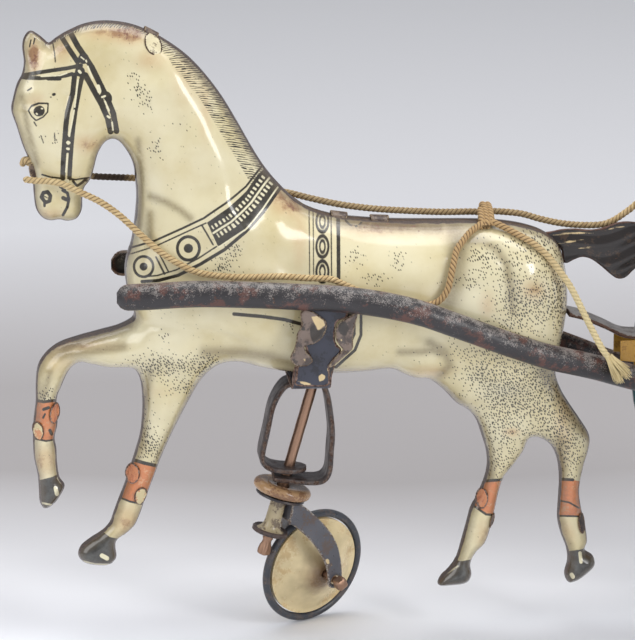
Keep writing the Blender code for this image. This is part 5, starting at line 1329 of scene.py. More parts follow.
@dataclass
class Studio:
    """The pale floor that curves up into a backdrop, and the soft lights."""

    front: float = 4.0
    rise: float = 3.0
    bend: float = 1.0
    wide: float = 4.0
    tall: float = 3.0
    toy_middle: tuple[float, float, float] = (-0.03, 0.0, 0.06)
    sky: tuple[float, float, float, float] = (0.93, 0.95, 1.0, 1)
    sky_strength: float = 0.5

    def backdrop(self) -> bpy.types.Object:
        """A sheet along X: flat, then a quarter circle, then upright."""
        turn = np.linspace(0, math.pi / 2, 24)
        y = np.concatenate([np.linspace(-self.front, self.rise, 40), self.rise + self.bend * np.sin(turn[1:]),
                            np.full(8, self.rise + self.bend)])
        z = np.concatenate([np.zeros(40), self.bend * (1 - np.cos(turn[1:])),
                            np.linspace(self.bend, self.tall, 9)[1:]])
        x = np.linspace(-self.wide, self.wide, 30)
        grid = np.stack([np.broadcast_to(x[None, :], (len(y), 30)), np.broadcast_to(y[:, None], (len(y), 30)),
                         np.broadcast_to(z[:, None], (len(y), 30))], axis=-1)
        mesh = bpy.data.meshes.new("floor")
        mesh.from_pydata(grid.reshape(-1, 3).tolist(), [], quads(len(y), 30, False).tolist())
        mesh.shade_smooth()
        made = bpy.data.objects.new("floor", mesh)
        made.data.materials.append(self.paper())
        bpy.context.scene.collection.objects.link(made)
        return made

    def paper(self) -> bpy.types.Material:
        """Pale paper with painted light and shade: a painted shadow behind the toy, brighter in front of it
        and on the wall.
        """
        shade = Shade("studio_paper")
        _, y, _ = shade.parts(shade.place)
        cloud = shade.noise(0.4, detail=1.0)
        # Painted light and shadow: bright in front of the toy, and the dark middle colour is a painted shadow
        # behind it.
        near = (0.08 + 0.16 * (cloud - 0.5) - y).above(0.0, 0.14)
        far = (y + 0.14 * (cloud - 0.5)).above(0.36, 0.24)
        colour = shade.mix(srgb(167, 163, 163), srgb(243, 244, 248), near)
        colour = shade.mix(colour, srgb(213, 213, 216), far)
        colour = shade.mix(colour, srgb(207, 207, 209), y.above(1.0, 0.9))
        # Painted shadow streaks across the floor in front of the toy.
        shadow_streaks = shade.noise(0.09, detail=1.0, stretch=(0.45, 1.7, 1.0))
        colour = shade.mix(colour, srgb(188, 187, 192), shadow_streaks.above(0.6, 0.3) * near * 0.55)
        return shade.finished(colour, 0.9, 0.0, cloud, 0.0001)

    def light(self, name: str, place: tuple[float, float, float], aim: tuple[float, float, float],
              size: tuple[float, float], watts: float) -> None:
        """Adds one soft rectangular lamp.

        Args:
            name: The lamp's name.
            place: Where it is, in metres.
            aim: Where it points.
            size: Its width and height.
            watts: Its power.
        """
        data = bpy.data.lights.new(name, "AREA")
        data.shape, data.size, data.size_y, data.energy = "RECTANGLE", *size, watts
        made = bpy.data.objects.new(name, data)
        made.location = place
        made.rotation_mode = "QUATERNION"
        made.rotation_quaternion = (Vector(aim) - Vector(place)).to_track_quat("-Z", "Y")
        bpy.context.scene.collection.objects.link(made)

    def build(self) -> None:
        """Backdrop, lamps, world and view."""
        self.backdrop()
        self.light("key", (0.62, -0.80, 0.58), self.toy_middle, (0.3, 0.75), 5.2)
        self.light("left", (-0.95, -0.45, 0.6), self.toy_middle, (0.6, 0.7), 3.2)
        self.light("above", (0.0, 0.05, 1.3), (0.0, -0.1, 0.0), (1.2, 0.8), 8.9)
        self.light("wall", (0.0, 0.75, 1.5), (0.0, 1.4, 0.3), (2.4, 0.4), 5.0)
        scene = bpy.context.scene
        scene.world = bpy.data.worlds.new("room")
        scene.world.use_nodes = True
        back = scene.world.node_tree.nodes["Background"]
        back.inputs["Color"].default_value = self.sky
        back.inputs["Strength"].default_value = self.sky_strength
        scene.view_settings.view_transform = "Standard"


# The horse

@dataclass(frozen=True)
class Print:
    """The horse's print in the photo's pixels, with painted shade in creases and a painted shadow stroke:
    strokes as half widths and lines, areas as outlines.

    A ring is a middle, two radii and a half width, a disc a middle and a radius, a soft mark a middle,
    two radii and a strength. The panel's ticks stand in rows off its middle line.
    """

    browband: tuple[Line, ...] = (
        (2.0, ((20, 76), (24, 75), (46, 71.4), (67, 68.3), (81, 65.4))),
        (2.0, ((21, 77), (26, 77.8), (40, 78.2), (54, 77.4), (66, 75.6), (72, 74))),
        (1.6, ((48, 79), (60, 79))))
    crown: tuple[Line, ...] = (
        (2.6, ((60.5, 35), (69, 49), (77.4, 61.6))),
        (2.9, ((69.5, 31), (77.6, 46), (85, 56.7), (92, 67.4), (99.5, 82.7), (107, 98), (113.3, 113.3),
               (116.5, 131))),
        (2.9, ((85.4, 75), (93.8, 90.4), (101.4, 104), (107.6, 118), (110.6, 131.5))))
    cheek: tuple[Line, ...] = (
        (2.6, ((74.6, 75), (72.7, 93), (67.6, 112), (65.8, 126), (64.6, 143), (63.2, 163), (62.8, 178))),
        (2.3, ((82.4, 75), (78.8, 92), (75.6, 109), (73.2, 126), (71.4, 145), (70.2, 163), (69.4, 178.4))),
        (2.4, ((66, 138), (71, 138.5))), (1.6, ((66, 146), (71, 146.3))), (1.6, ((65, 151), (71, 151.3))))
    bit: tuple[Line, ...] = (
        (0.9, ((42, 174.6), (50, 177), (61.3, 178.4))),
        (0.9, ((70.4, 179), (76, 179.6), (82.7, 178.4), (90.4, 177.6))),
        (1.3, ((73, 181), (77, 186), (81.5, 183), (86, 179))), (0.8, ((86, 181), (90, 180), (92.5, 184))),
        (1.5, ((62.8, 190.7), (67.4, 193), (69, 199), (67.4, 207), (63, 215))),
        (2.1, ((63.2, 198.2), (66, 199.5))), (1.2, ((60, 187), (65, 190))))
    eye: tuple[Line, ...] = (
        (0.8, ((28.3, 110.3), (31.4, 106), (39.8, 103), (48.2, 103.6), (47.6, 111.8), (43, 117), (36, 120.4),
               (31.4, 116), (28.3, 110.3))),
        (0.9, ((31.8, 105.4), (38.4, 103), (48, 103.4))), (5.2, ((38.6, 111), (39.6, 110.6))),
        (0.7, ((34, 122), (36.5, 126))), (0.8, ((27.6, 90.4), (31.5, 88))),
        (1.5, ((53.4, 94.5), (54.4, 94.2))), (0.8, ((50.6, 97), (51, 97.2))))
    muzzle: tuple[Line, ...] = (
        (1.9, ((41.4, 197), (43.4, 192.6), (47.6, 191.8), (50.4, 195.6), (49.6, 201), (45.4, 202.4),
               (41.4, 197))),
        (1.3, ((44.3, 203.6), (44.6, 206))), (0.6, ((45, 196.4), (47, 197.6))),
        (0.6, ((54.5, 133), (55, 141))), (0.6, ((41, 136), (43.5, 143))))
    # The second stroke is painted shadow: the dark gap between the bracket's neck and ear, laid on the horse
    # as ink.
    back: tuple[Line, ...] = (
        (1.1, ((344, 215), (346, 221), (350, 225), (355, 226.5), (360, 224.5), (363, 220), (364, 215))),
        (2.4, ((349, 306), (356, 308), (353, 312), (348, 316))))
    ear: tuple[Line, ...] = (
        (0.7, ((52.8, 43), (54.6, 53), (55.4, 62))), (0.8, ((31, 40), (29.5, 47))),
        (0.8, ((35, 38), (33.5, 44))))
    collar: tuple[Line, ...] = (
        (1.1, ((131, 247.6), (155, 240.6), (184, 227.6), (204, 218), (224.5, 203), (246, 185.4),
               (262, 166))),
        (0.8, ((131, 253.8), (156, 246), (185, 232.6), (206, 223))),
        (1.7, ((142, 281.6), (158, 280.6), (178, 275.4), (200, 264.4), (224.5, 249.6), (245, 231.6),
               (263.5, 211), (281, 187))),
        (0.8, ((141, 277), (157, 275.6), (176, 270), (198, 258.6), (216.6, 246.4))),
        (1.0, ((156, 257), (160, 265), (164.6, 274))), (0.8, ((160, 255), (164, 263), (168.6, 272))),
        (0.9, ((201.6, 225), (207, 234), (213, 244.6))))
    roundels: tuple[tuple[float, ...], ...] = ((188.4, 248.4, 11.0, 1.5), (143.6, 266.6, 9.6, 1.3))
    girth: tuple[Line, ...] = (
        (0.6, ((309, 206), (309.4, 240), (309.6, 276))), (0.6, ((313, 206), (313.4, 240), (313.6, 276))),
        (0.7, ((331, 207), (331.3, 240), (331.6, 278))), (1.9, ((338, 207), (338.4, 240), (338.6, 279))))
    roundel_tall: float = 1.06
    roundel_dot: float = 0.42
    girth_middle: float = 322.4
    girth_rings: tuple[float, ...] = (221.5, 246.5, 271.5)
    girth_ovals: tuple[tuple[float, ...], ...] = ((6.0, 10.5, 1.1), (2.6, 6.0, 0.8))
    rings: tuple[tuple[float, ...], ...] = ((105.5, 98.6, 4.4, 5.0, 2.2),)
    discs: tuple[tuple[float, ...], ...] = ((83.6, 58.6, 5.4), (80.0, 71.5, 5.0))
    panel: Points = (
        (207, 222.6), (226, 208.4), (246, 190.4), (258, 174), (268, 166), (280, 184), (270, 200), (259, 214),
        (243, 230), (229, 240.6), (218, 246.4))
    panel_middle: Points = ((213.3, 233), (230.6, 221.4), (251, 201.4), (262, 187), (272, 174.5))
    tick_step: float = 4.6
    tick_half: float = 1.1
    tick_inset: float = 1.2
    tick_span: tuple[float, float] = (2.0, 78.0)
    tick_rows: tuple[tuple[float, float], ...] = ((-5.2, 2.1), (4.6, 2.4))
    traces: tuple[Line, ...] = (
        (1.8, ((234, 314), (262, 316.4), (285, 319.6), (303, 324.6))),
        (1.5, ((361, 312), (361, 335), (355, 350), (335, 368))),
        (1.2, ((354, 310), (354.6, 334), (348, 348), (330, 362))))
    bands: tuple[Line, ...] = (
        (1.5, ((32, 400), (44, 401.8), (58, 400))), (1.0, ((32, 438), (46, 441), (58, 439))),
        (1.8, ((131, 459), (144, 463), (158, 466))), (1.0, ((114, 495), (130, 501.6), (146, 504.6))),
        (1.5, ((480, 481.4), (501, 479.8))), (1.2, ((468, 502), (477, 508), (486, 514.4), (496, 515))),
        (1.5, ((557, 479), (573, 479.8))), (0.9, ((557, 500), (569, 502.4), (579, 508))),
        (1.0, ((553, 515.6), (581, 516.4))), (1.6, ((43.6, 409.4), (48.6, 407.6))),
        (1.7, ((50, 430.4), (51.6, 434))), (1.0, ((43, 418), (45, 414))))
    bandages: tuple[Points, ...] = (
        ((30, 400), (44, 402), (62, 400), (62, 438), (46, 440.6), (30, 437)),
        ((126, 458), (144, 463), (162, 467), (160, 478), (150, 492), (148, 505), (131, 502), (112, 494),
         (118, 478)),
        ((477, 482), (503, 480), (502, 495), (497, 515), (486, 514), (477, 508), (469, 500)),
        ((550, 479), (573, 480), (584, 482), (584, 516), (550, 515)))
    hooves: tuple[Points, ...] = (
        ((28, 484), (40, 480), (52, 477), (58, 474), (72, 470), (76, 500), (46, 515), (26, 510)),
        ((66, 556), (90, 538), (102, 531), (110, 537), (130, 541), (130, 580), (66, 580)),
        ((428, 590), (434, 572), (450, 560), (462, 561), (480, 558), (482, 595)),
        ((556, 556), (568, 551), (580, 549.6), (592, 546), (606, 556), (604, 592), (560, 592)))
    hoof_chips: tuple[Line, ...] = (
        (2.0, ((55.6, 488), (57, 494))), (1.2, ((58, 478), (61, 482.6))), (0.9, ((42, 503), (52, 505))),
        (2.2, ((102, 555.6), (107, 558.4))), (1.0, ((80, 560.6), (95, 564.4), (112, 564.8))),
        (1.7, ((580, 553), (581, 562))), (2.0, ((571.6, 574.6), (573, 577))),
        (0.8, ((446, 574), (458, 566))))
    lights: tuple[Line, ...] = (
        (0.9, ((87.8, 66.5), (92.3, 78))), (2.0, ((98, 86.4), (99.4, 91))),
        (0.9, ((104.8, 101), (109, 110.6))), (0.8, ((112, 122), (113, 130))), (1.0, ((102, 97), (105, 96))),
        (0.8, ((78, 80), (74.6, 107))), (0.8, ((74, 110), (69.2, 136))), (1.5, ((67.6, 142.4), (69, 142.6))),
        (1.3, ((67.4, 148.6), (68.6, 148.8))), (0.8, ((67.6, 155), (65.9, 172))),
        (1.9, ((66.6, 181), (67.4, 181))), (0.7, ((81, 57), (84, 59.4))), (0.8, ((86, 60.4), (86.6, 62))),
        (1.3, ((79, 71), (80.4, 72.6))), (0.7, ((41, 76.4), (60, 75.4), (67, 73))),
        (1.1, ((107.6, 116), (109.4, 117.4))), (0.9, ((36.4, 113.2), (37, 113.8))),
        (0.7, ((41.4, 108.2), (42.6, 108.4))), (0.8, ((219, 247), (246, 228.4), (262, 209), (279, 185.4))))
    crest_start: float = 120
    mane_end: float = 302
    hair_runs: tuple[float, ...] = (0, 110, 125, 150, 330)
    hair_widths: tuple[float, ...] = (3.5, 5.0, 9.0, 15.0, 21.0)
    hatched: Points = (
        (47, 41.3), (69, 29.6), (86, 24), (104, 22), (122.5, 22.6), (135, 23.6), (147, 29), (158, 33),
        (170, 41), (180, 50), (198, 69), (214, 88), (228, 109), (243, 132), (258, 156), (270, 176))
    tan_marks: tuple[tuple[float, ...], ...] = (
        (61, 50, 10, 14, 0.7), (112, 33, 30, 9, 0.8), (150, 60, 16, 10, 0.55), (132, 34, 12, 10, 0.8),
        (34, 57, 7, 17, 1.3), (88, 144, 14, 9, 0.8), (36, 100, 10, 8, 0.45), (48, 214, 16, 6, 0.6),
        (185, 78, 14, 30, 0.4), (205, 110, 7, 34, 0.45), (80, 345, 40, 7, 0.65), (60, 362, 20, 14, 0.4),
        (290, 205, 16, 12, 0.9), (300, 240, 8, 26, 0.55), (274, 192, 10, 12, 0.7), (370, 226, 28, 12, 0.85),
        (410, 226, 30, 8, 0.6), (448, 232, 30, 10, 0.45), (533, 290, 12, 10, 0.75), (487, 305, 8, 12, 0.6),
        (564, 420, 10, 40, 0.55), (512, 432, 8, 4, 0.9), (135, 440, 10, 16, 0.4), (460, 520, 6, 14, 0.4),
        (52, 460, 6, 14, 0.5), (40, 462, 9, 16, 0.75), (128, 522, 16, 16, 0.75), (485, 537, 9, 16, 0.65),
        (566, 532, 9, 14, 0.55), (430, 372, 20, 6, 0.6), (120, 392, 50, 6, 0.35), (300, 372, 80, 5, 0.3))
    dotted: tuple[tuple[float, ...], ...] = (
        (133, 78, 5, 6, 0.75), (139, 90, 6, 7, 0.85), (147, 102, 5, 8, 0.7), (156, 148, 6, 9, 0.8),
        (181, 121, 6, 8, 0.35), (42, 139, 4, 5, 0.4), (55, 139, 4, 5, 0.45), (225, 265, 12, 9, 0.5),
        (236, 250, 6, 6, 0.6), (232, 247, 7, 7, 0.55), (220, 268, 6, 5, 0.7), (355, 258, 8, 9, 0.5),
        (376, 278, 10, 6, 0.6), (398, 262, 8, 8, 0.5), (470, 283, 16, 7, 0.6), (480, 256, 12, 14, 0.5),
        (160, 366, 16, 9, 0.55), (200, 366, 16, 8, 0.6), (215, 384, 8, 6, 0.5), (186, 388, 10, 5, 0.5),
        (293, 326, 6, 5, 0.6), (165, 336, 5, 4, 0.5), (128, 396, 8, 6, 0.4), (150, 440, 8, 14, 0.45),
        (545, 250, 26, 18, 0.6), (560, 292, 14, 34, 0.7), (535, 306, 26, 24, 0.75), (500, 262, 26, 16, 0.35),
        (512, 300, 14, 30, 0.6), (525, 240, 22, 8, 0.5), (496, 330, 20, 12, 0.4), (505, 385, 34, 26, 0.85),
        (545, 400, 34, 40, 0.7), (500, 430, 22, 30, 0.6), (560, 440, 22, 30, 0.6), (478, 372, 18, 12, 0.55),
        (500, 466, 14, 14, 0.45), (572, 462, 12, 20, 0.4), (480, 352, 40, 8, 0.45), (172, 366, 30, 8, 0.7),
        (205, 362, 14, 8, 0.8), (190, 384, 26, 12, 0.4), (150, 448, 14, 14, 0.7), (126, 396, 14, 8, 0.3),
        (46, 396, 14, 7, 0.7), (144, 420, 6, 20, 0.35), (150, 366, 20, 12, 0.35))
    # Soft khaki strokes along creases, valleys and leg edges, as half widths and lines: the print's airbrush
    # and painted shade in the creases.
    brushed: tuple[tuple[float, Points], ...] = (
        (5, ((468, 240), (484, 241), (497, 250), (507, 265), (511, 287), (512, 300))),
        (11, ((455, 228), (458, 254), (455, 280), (448, 302))),
        (3, ((470, 241), (484, 242), (497, 251), (506, 266), (510, 290), (513, 312))),
        (5, ((430, 343), (445, 352), (450, 366), (440, 376))),
        (4, ((400, 352), (420, 352), (432, 350), (446, 356))),
        (4, ((150, 196), (166, 202), (180, 210), (190, 218))),
        (6, ((205, 352), (240, 352), (268, 356), (300, 366))),
        (6, ((128, 324), (110, 332), (84, 338), (64, 350))), (5, ((60, 356), (90, 352), (123, 347))),
        (4, ((50, 372), (44, 396))), (4, ((150, 372), (146, 400), (140, 430), (130, 455))),
        (5, ((205, 376), (190, 400), (172, 436), (160, 462))), (5, ((478, 430), (486, 456), (490, 478))),
        (8, ((545, 372), (560, 400), (578, 424), (590, 436))), (5, ((560, 440), (560, 476))),
        (6, ((390, 372), (360, 374), (300, 372))), (5, ((436, 384), (460, 402), (474, 424))),
        (3, ((138, 140), (142, 180), (138, 230))), (3, ((22, 96), (28, 130), (38, 165))),
        (4, ((150, 214), (150, 244))), (6, ((340, 222), (400, 226), (440, 228))))

    def strokes(self) -> tuple[Line, ...]:
        """Every dark stroke."""
        return (self.browband + self.crown + self.cheek + self.bit + self.eye + self.muzzle + self.ear
                + self.back + self.collar + self.girth + self.traces + self.bands)

    def inked(self, px: Array) -> tuple[Array, Array]:
        """The dark strokes and areas, and the pale ones on them, as pixels inside them.

        Formula: a disc is its radius minus the distance from its middle. A ring is its half width minus
        the distance from its oval, to first order. A tick is the least of what is left of its width, its
        height, the panel round it and its row's length.
        """
        rings, discs = list(self.rings), list(self.discs)
        for x, y, radius, half in self.roundels:
            rings.append((x, y, radius, radius * self.roundel_tall, half))
            discs.append((x, y, radius * self.roundel_dot))
        rings += [(self.girth_middle, y, *oval) for y in self.girth_rings for oval in self.girth_ovals]
        panel = inside(px, [self.panel])
        dark = np.maximum(drawn(px, self.strokes()), panel)
        for x, y, wide, high, half in rings:
            reach = np.hypot((px[:, 0] - x) / wide, (px[:, 1] - y) / high)
            dark = np.maximum(dark, half - np.abs(reach - 1) * min(wide, high))
        for x, y, radius in discs:
            dark = np.maximum(dark, radius - np.hypot(px[:, 0] - x, px[:, 1] - y))
        pale = drawn(px, self.lights + ((1.0, self.panel_middle),) + self.hoof_chips)
        run, off = along_line(px, self.panel_middle)
        start, end = self.tick_span
        tick = self.tick_half - np.abs((run % self.tick_step) - self.tick_step / 2)
        for middle, tall in self.tick_rows:
            row = np.minimum(tick, tall - np.abs(off - middle))
            row = np.minimum(row, panel - self.tick_inset)
            pale = np.maximum(pale, np.minimum(row, np.minimum(run - start, end - run)))
        return dark, pale

    def maned(self, run: Array, off: Array) -> Array:
        """How strongly the mane's hair is drawn, from the way along its line and the distance off it.

        Formula: 1 inside a width that grows along the line, soft over 3 pixels at its edge. From the
        crest on, less a painted highlight halfway out on each side, where the hair is left out, and half
        as strong past 0.6 of the width.
        """
        wide = np.interp(run, self.hair_runs, self.hair_widths)
        off = np.abs(off)
        hair = np.clip((wide - off) / 3 + 0.5, 0, 1) * np.clip((run + 4) / 4, 0, 1) * (run < self.mane_end)
        crest = run > self.crest_start
        # Painted highlight: from the crest on, the hair is left out in a band halfway out, so the cream shows
        # as a bright streak.
        hair *= 1 - 0.92 * np.exp(-((off - wide * 0.5) / (wide * 0.16)) ** 2) * crest
        return hair * (1 - 0.5 * (off > 0.6 * wide) * crest)

    def fields(self, px: Array, edge: Array) -> dict[str, Array]:
        """Every field of the print.

        Args:
            px: Where the camera sees each point, in pixels.
            edge: Each point's distance from the outline in millimetres.

        Returns:
            Fields by name.
        """
        dark, pale = self.inked(px)
        run, off = along_line(px, self.hatched)
        brushed = np.max([np.exp(-(from_line(px, np.array(line, float)) / half) ** 2)
                          for half, line in self.brushed], axis=0)
        return {"ink": dark, "pale": pale, "edge": edge,
                "bandage": inside(px, self.bandages), "hoof": inside(px, self.hooves),
                "stain": np.clip(ovals(px, self.tan_marks), 0, 1),
                "stipple": np.clip(ovals(px, self.dotted), 0, 1),
                "brushed": 0.8 * brushed, "mane": self.maned(run, off),
                "mane_lay": np.stack([run + 0.9 * np.abs(off), off, 0 * off], axis=1)}


@dataclass
class Horse:
    """The pressed tin horse: two printed halves, its tail and its folded tabs."""

    seam_half: float = 0.15 * MM
    rim_step: float = 0.5 * MM
    fine_step: float = 0.27 * MM
    plain_step: float = 0.85 * MM
    plain_inset: float = 2.3 * MM
    printed_reach: float = 3.4
    rim_rings: tuple[tuple[float, int], ...] = ((0.1, 1), (0.28, 1), (0.55, 1), (0.9, 1), (1.35, 2), (1.9, 2))
    bumps: tuple[tuple[float, ...], ...] = (
        (38, 110, 9, 8, 0.5), (34, 94, 9, 6, 0.5), (46, 197, 5, 5, 0.25), (86, 128, 22, 30, 0.6),
        (36, 56, 5, 16, -0.7), (262, 250, 26, 40, 0.8), (530, 272, 30, 22, 0.9), (400, 280, 30, 30, 0.3))
    creases: tuple[tuple[float, float, Points], ...] = (
        (5, -0.7, ((128, 322), (160, 326), (210, 332), (246, 344))),
        (4, -0.5, ((66, 96), (60, 130), (60, 160))),
        (6, -0.7, ((196, 396), (222, 380), (262, 372))),
        (6, -0.6, ((424, 338), (444, 352), (450, 372), (436, 384))),
        (4, -0.3, ((40, 182), (58, 188), (66, 205))),
        (5, 0.5, ((118, 330), (90, 342), (60, 352))),
        (5, -0.4, ((545, 430), (540, 452), (546, 470))),
        (22, 1.3, ((170, 66), (181, 88), (194, 114), (214, 148), (231, 188), (238, 206))),
        (14, -0.5, ((456, 232), (458, 256), (455, 280), (448, 302))),
        (7, -0.5, ((497, 250), (507, 265), (511, 287), (512, 300))))
    tail_half: float = 0.5 * MM
    tail_wave: float = 0.16 * MM
    tab_tin: float = 0.5 * MM
    tab_reach: float = 2.1 * MM
    tab_drop: float = 1.3 * MM
    art: Print = Print()

    def outline(self) -> Array:
        """The halves' outline, side on."""
        return flowing(side_places(HORSE_OUTLINE), self.rim_step, True)

    def relief(self, places: Array, edge: Array) -> Array:
        """Height of the face over the seam: a quarter ellipse in from the edge, then flat.

        Formula: depth and width of the rounding are means over the form table, where each table place
        weighs 1 over the square of (its squared distance plus 3 mm squared).

        Args:
            places: Pairs of x and z in metres.
            edge: Each place's distance from the outline.

        Returns:
            Heights in metres.
        """
        table = np.array(HORSE_FORM) * MM
        middle = side_places(np.array(HORSE_FORM)[:, :2])
        far = ((places[:, None, :] - middle[None]) ** 2).sum(axis=2)
        weight = 1 / (far + (3 * MM) ** 2) ** 2
        weight /= weight.sum(axis=1)[:, None]
        depth, rounding = weight @ table[:, 2], weight @ table[:, 3]
        return self.seam_half + depth * np.sqrt(1 - (1 - np.clip(edge / rounding, 0, 1)) ** 2)

    def detail(self, px: Array) -> Array:
        """Pressed detail in metres: soft bumps and creases, each e to minus a squared distance."""
        lift = ovals(px, self.bumps)
        for half, high, line in self.creases:
            lift = lift + high * np.exp(-(from_line(px, np.array(line, float)) / half) ** 2)
        return lift * MM

    def seen(self, places: Array, height: Array) -> Array:
        """Pixels of the near half's points."""
        return LENS.seen(np.stack([places[:, 0], -height, places[:, 1]], axis=1))

    def printed(self, places: Array) -> Array:
        """Whether each place is within reach of a printed edge."""
        px = self.seen(places, self.relief(places, np.full(len(places), 20 * MM)))
        dark, pale = self.art.inked(px)
        bands = inside(px, self.art.bandages + self.art.hooves)
        return (np.abs(dark) < self.printed_reach) | (np.abs(pale) < 2) | (np.abs(bands) < 2)

    def places(self, outline: Array) -> tuple[Array, Array]:
        """The halves' points and triangles side on: rings at the rim, and a lattice, finer at the print."""
        rims = []
        for inset, skip in self.rim_rings:
            ring = drawn_in(outline, inset * MM)[::skip]
            rims.append(ring[from_line(ring, outline, True) > inset * 0.93 * MM])
        rim = np.vstack(rims)
        low, high = outline.min(axis=0), outline.max(axis=0)
        plain, fine = lattice(low, high, self.plain_step), lattice(low, high, self.fine_step)
        plain, fine = plain[within(plain, [outline])], fine[within(fine, [outline])]
        fine = fine[self.printed(fine) & (from_line(fine, outline[::3], True) > 0.2 * MM)]
        plain = plain[~self.printed(plain) & (from_line(plain, outline[::3], True) > self.plain_inset)]
        return filled([outline], np.vstack([rim[~self.printed(rim)], fine, plain]))

    def halves(self) -> None:
        """Both halves: the printed face over a flat back along the seam."""
        outline = self.outline()
        points, faces = self.places(outline)
        edge = from_line(points, outline, True)
        edge[:len(outline)] = 0
        height = self.relief(points, edge)
        px = self.seen(points, height)
        height = height + self.detail(px) * np.clip(edge / (4 * MM), 0, 1)
        fields = self.art.fields(px, edge / MM)
        back = list(range(len(outline)))
        for name, side in (("near", -1), ("far", 1)):
            front = np.stack([points[:, 0], side * height, points[:, 1]], axis=1)
            made_object(f"horse_{name}_skin", Stock(front, faces.tolist() + [back], fields), Body.CHASSIS,
                        Looks.HORSE, (f"horse_{name}_half",), 60)

    def tail(self) -> None:
        """The stamped tail, its hair pressed in shallow waves across its height."""

        def waves(places: Array, edge: Array) -> Array:
            """The wave height times a sine across the hair, whose lines sway along x, none at the edge."""
            sway = 1.4 * np.sin(places[:, 0] / (4 * MM))
            across = (places[:, 1] - 0.18 * places[:, 0]) / (0.9 * MM)
            return self.tail_wave * np.sin(across + sway) * np.clip(edge / MM, 0, 1)

        outline = flowing(LENS.onto(TAIL_SEEN, 0.0), 0.5 * MM, True)
        # The tail's pale blots are painted highlights.
        stock = blotted(pressed([outline], self.tail_half, 0.0, 0.5 * MM, waves), TAIL_PAINTED_HIGHLIGHTS, ())
        made_object("tail_plate", stock, Body.CHASSIS, Looks.TAIL, ("tail",))

    def seam_tabs(self) -> None:
        """The tabs folded over the top seam: each a strip on part of an ellipse, drawn in at its ends."""
        turn = np.linspace(-math.pi / 2 - 0.5, math.pi / 2 + 0.5, 15)
        share = np.cos(np.linspace(-1, 1, 15) * 0.9)
        for name, x, z, half, lean in SEAM_TABS:
            lean = math.radians(lean)
            run = np.array([math.cos(lean), 0, -math.sin(lean)])
            up = np.array([math.sin(lean), 0, math.cos(lean)])
            middle = from_axle([(x, 0, z)])[0] + self.tab_tin / 2 * up
            off = np.stack([np.sin(turn) * self.tab_reach, (np.cos(turn) - 1) * self.tab_drop], axis=1)
            rail = middle + off[:, :1] * np.array([0, 1, 0]) + off[:, 1:] * up
            stock = strip(rail, run, share * 2 * half * MM, self.tab_tin)
            made_object(f"{name}_dressed", stock, Body.CHASSIS, Looks.TAB, (name,))

    def round_tabs(self) -> None:
        """The oval tabs folded over the legs and the mane, which follow the relief, and the bit's tab."""
        outline = self.outline()
        for name, x, y, wide, tall, lean, finish in SEEN_TABS:
            turn, lean = np.linspace(0, 2 * math.pi, 40, endpoint=False), math.radians(lean)
            across, along = wide * np.cos(turn), tall * np.sin(turn)
            oval = np.stack([x + across * math.cos(lean) - along * math.sin(lean),
                             y + across * math.sin(lean) + along * math.cos(lean)], axis=1)
            stock = pressed([LENS.onto(oval, -2.2 * MM)], self.tab_tin / 2, 0.0, 0.4 * MM)
            places = stock.points[:, ::2]
            edge = from_line(places, outline, True) * within(places, [outline])
            stock.points[:, 1] -= self.relief(places, edge) + 0.3 * MM
            made_object(f"tab_{name}", stock, Body.CHASSIS, vars(Looks)[finish])
        bit = pressed([LENS.onto(BIT_TAB_SEEN, -2.0 * MM)], 0.3 * MM, -2.6 * MM, 0.4 * MM)
        made_object("bit_tab", bit, Body.CHASSIS, Looks.TAB)

    def build(self) -> None:
        """Halves, tail and tabs."""
        self.halves()
        self.tail()
        self.seam_tabs()
        self.round_tabs()


# Shafts and bracket


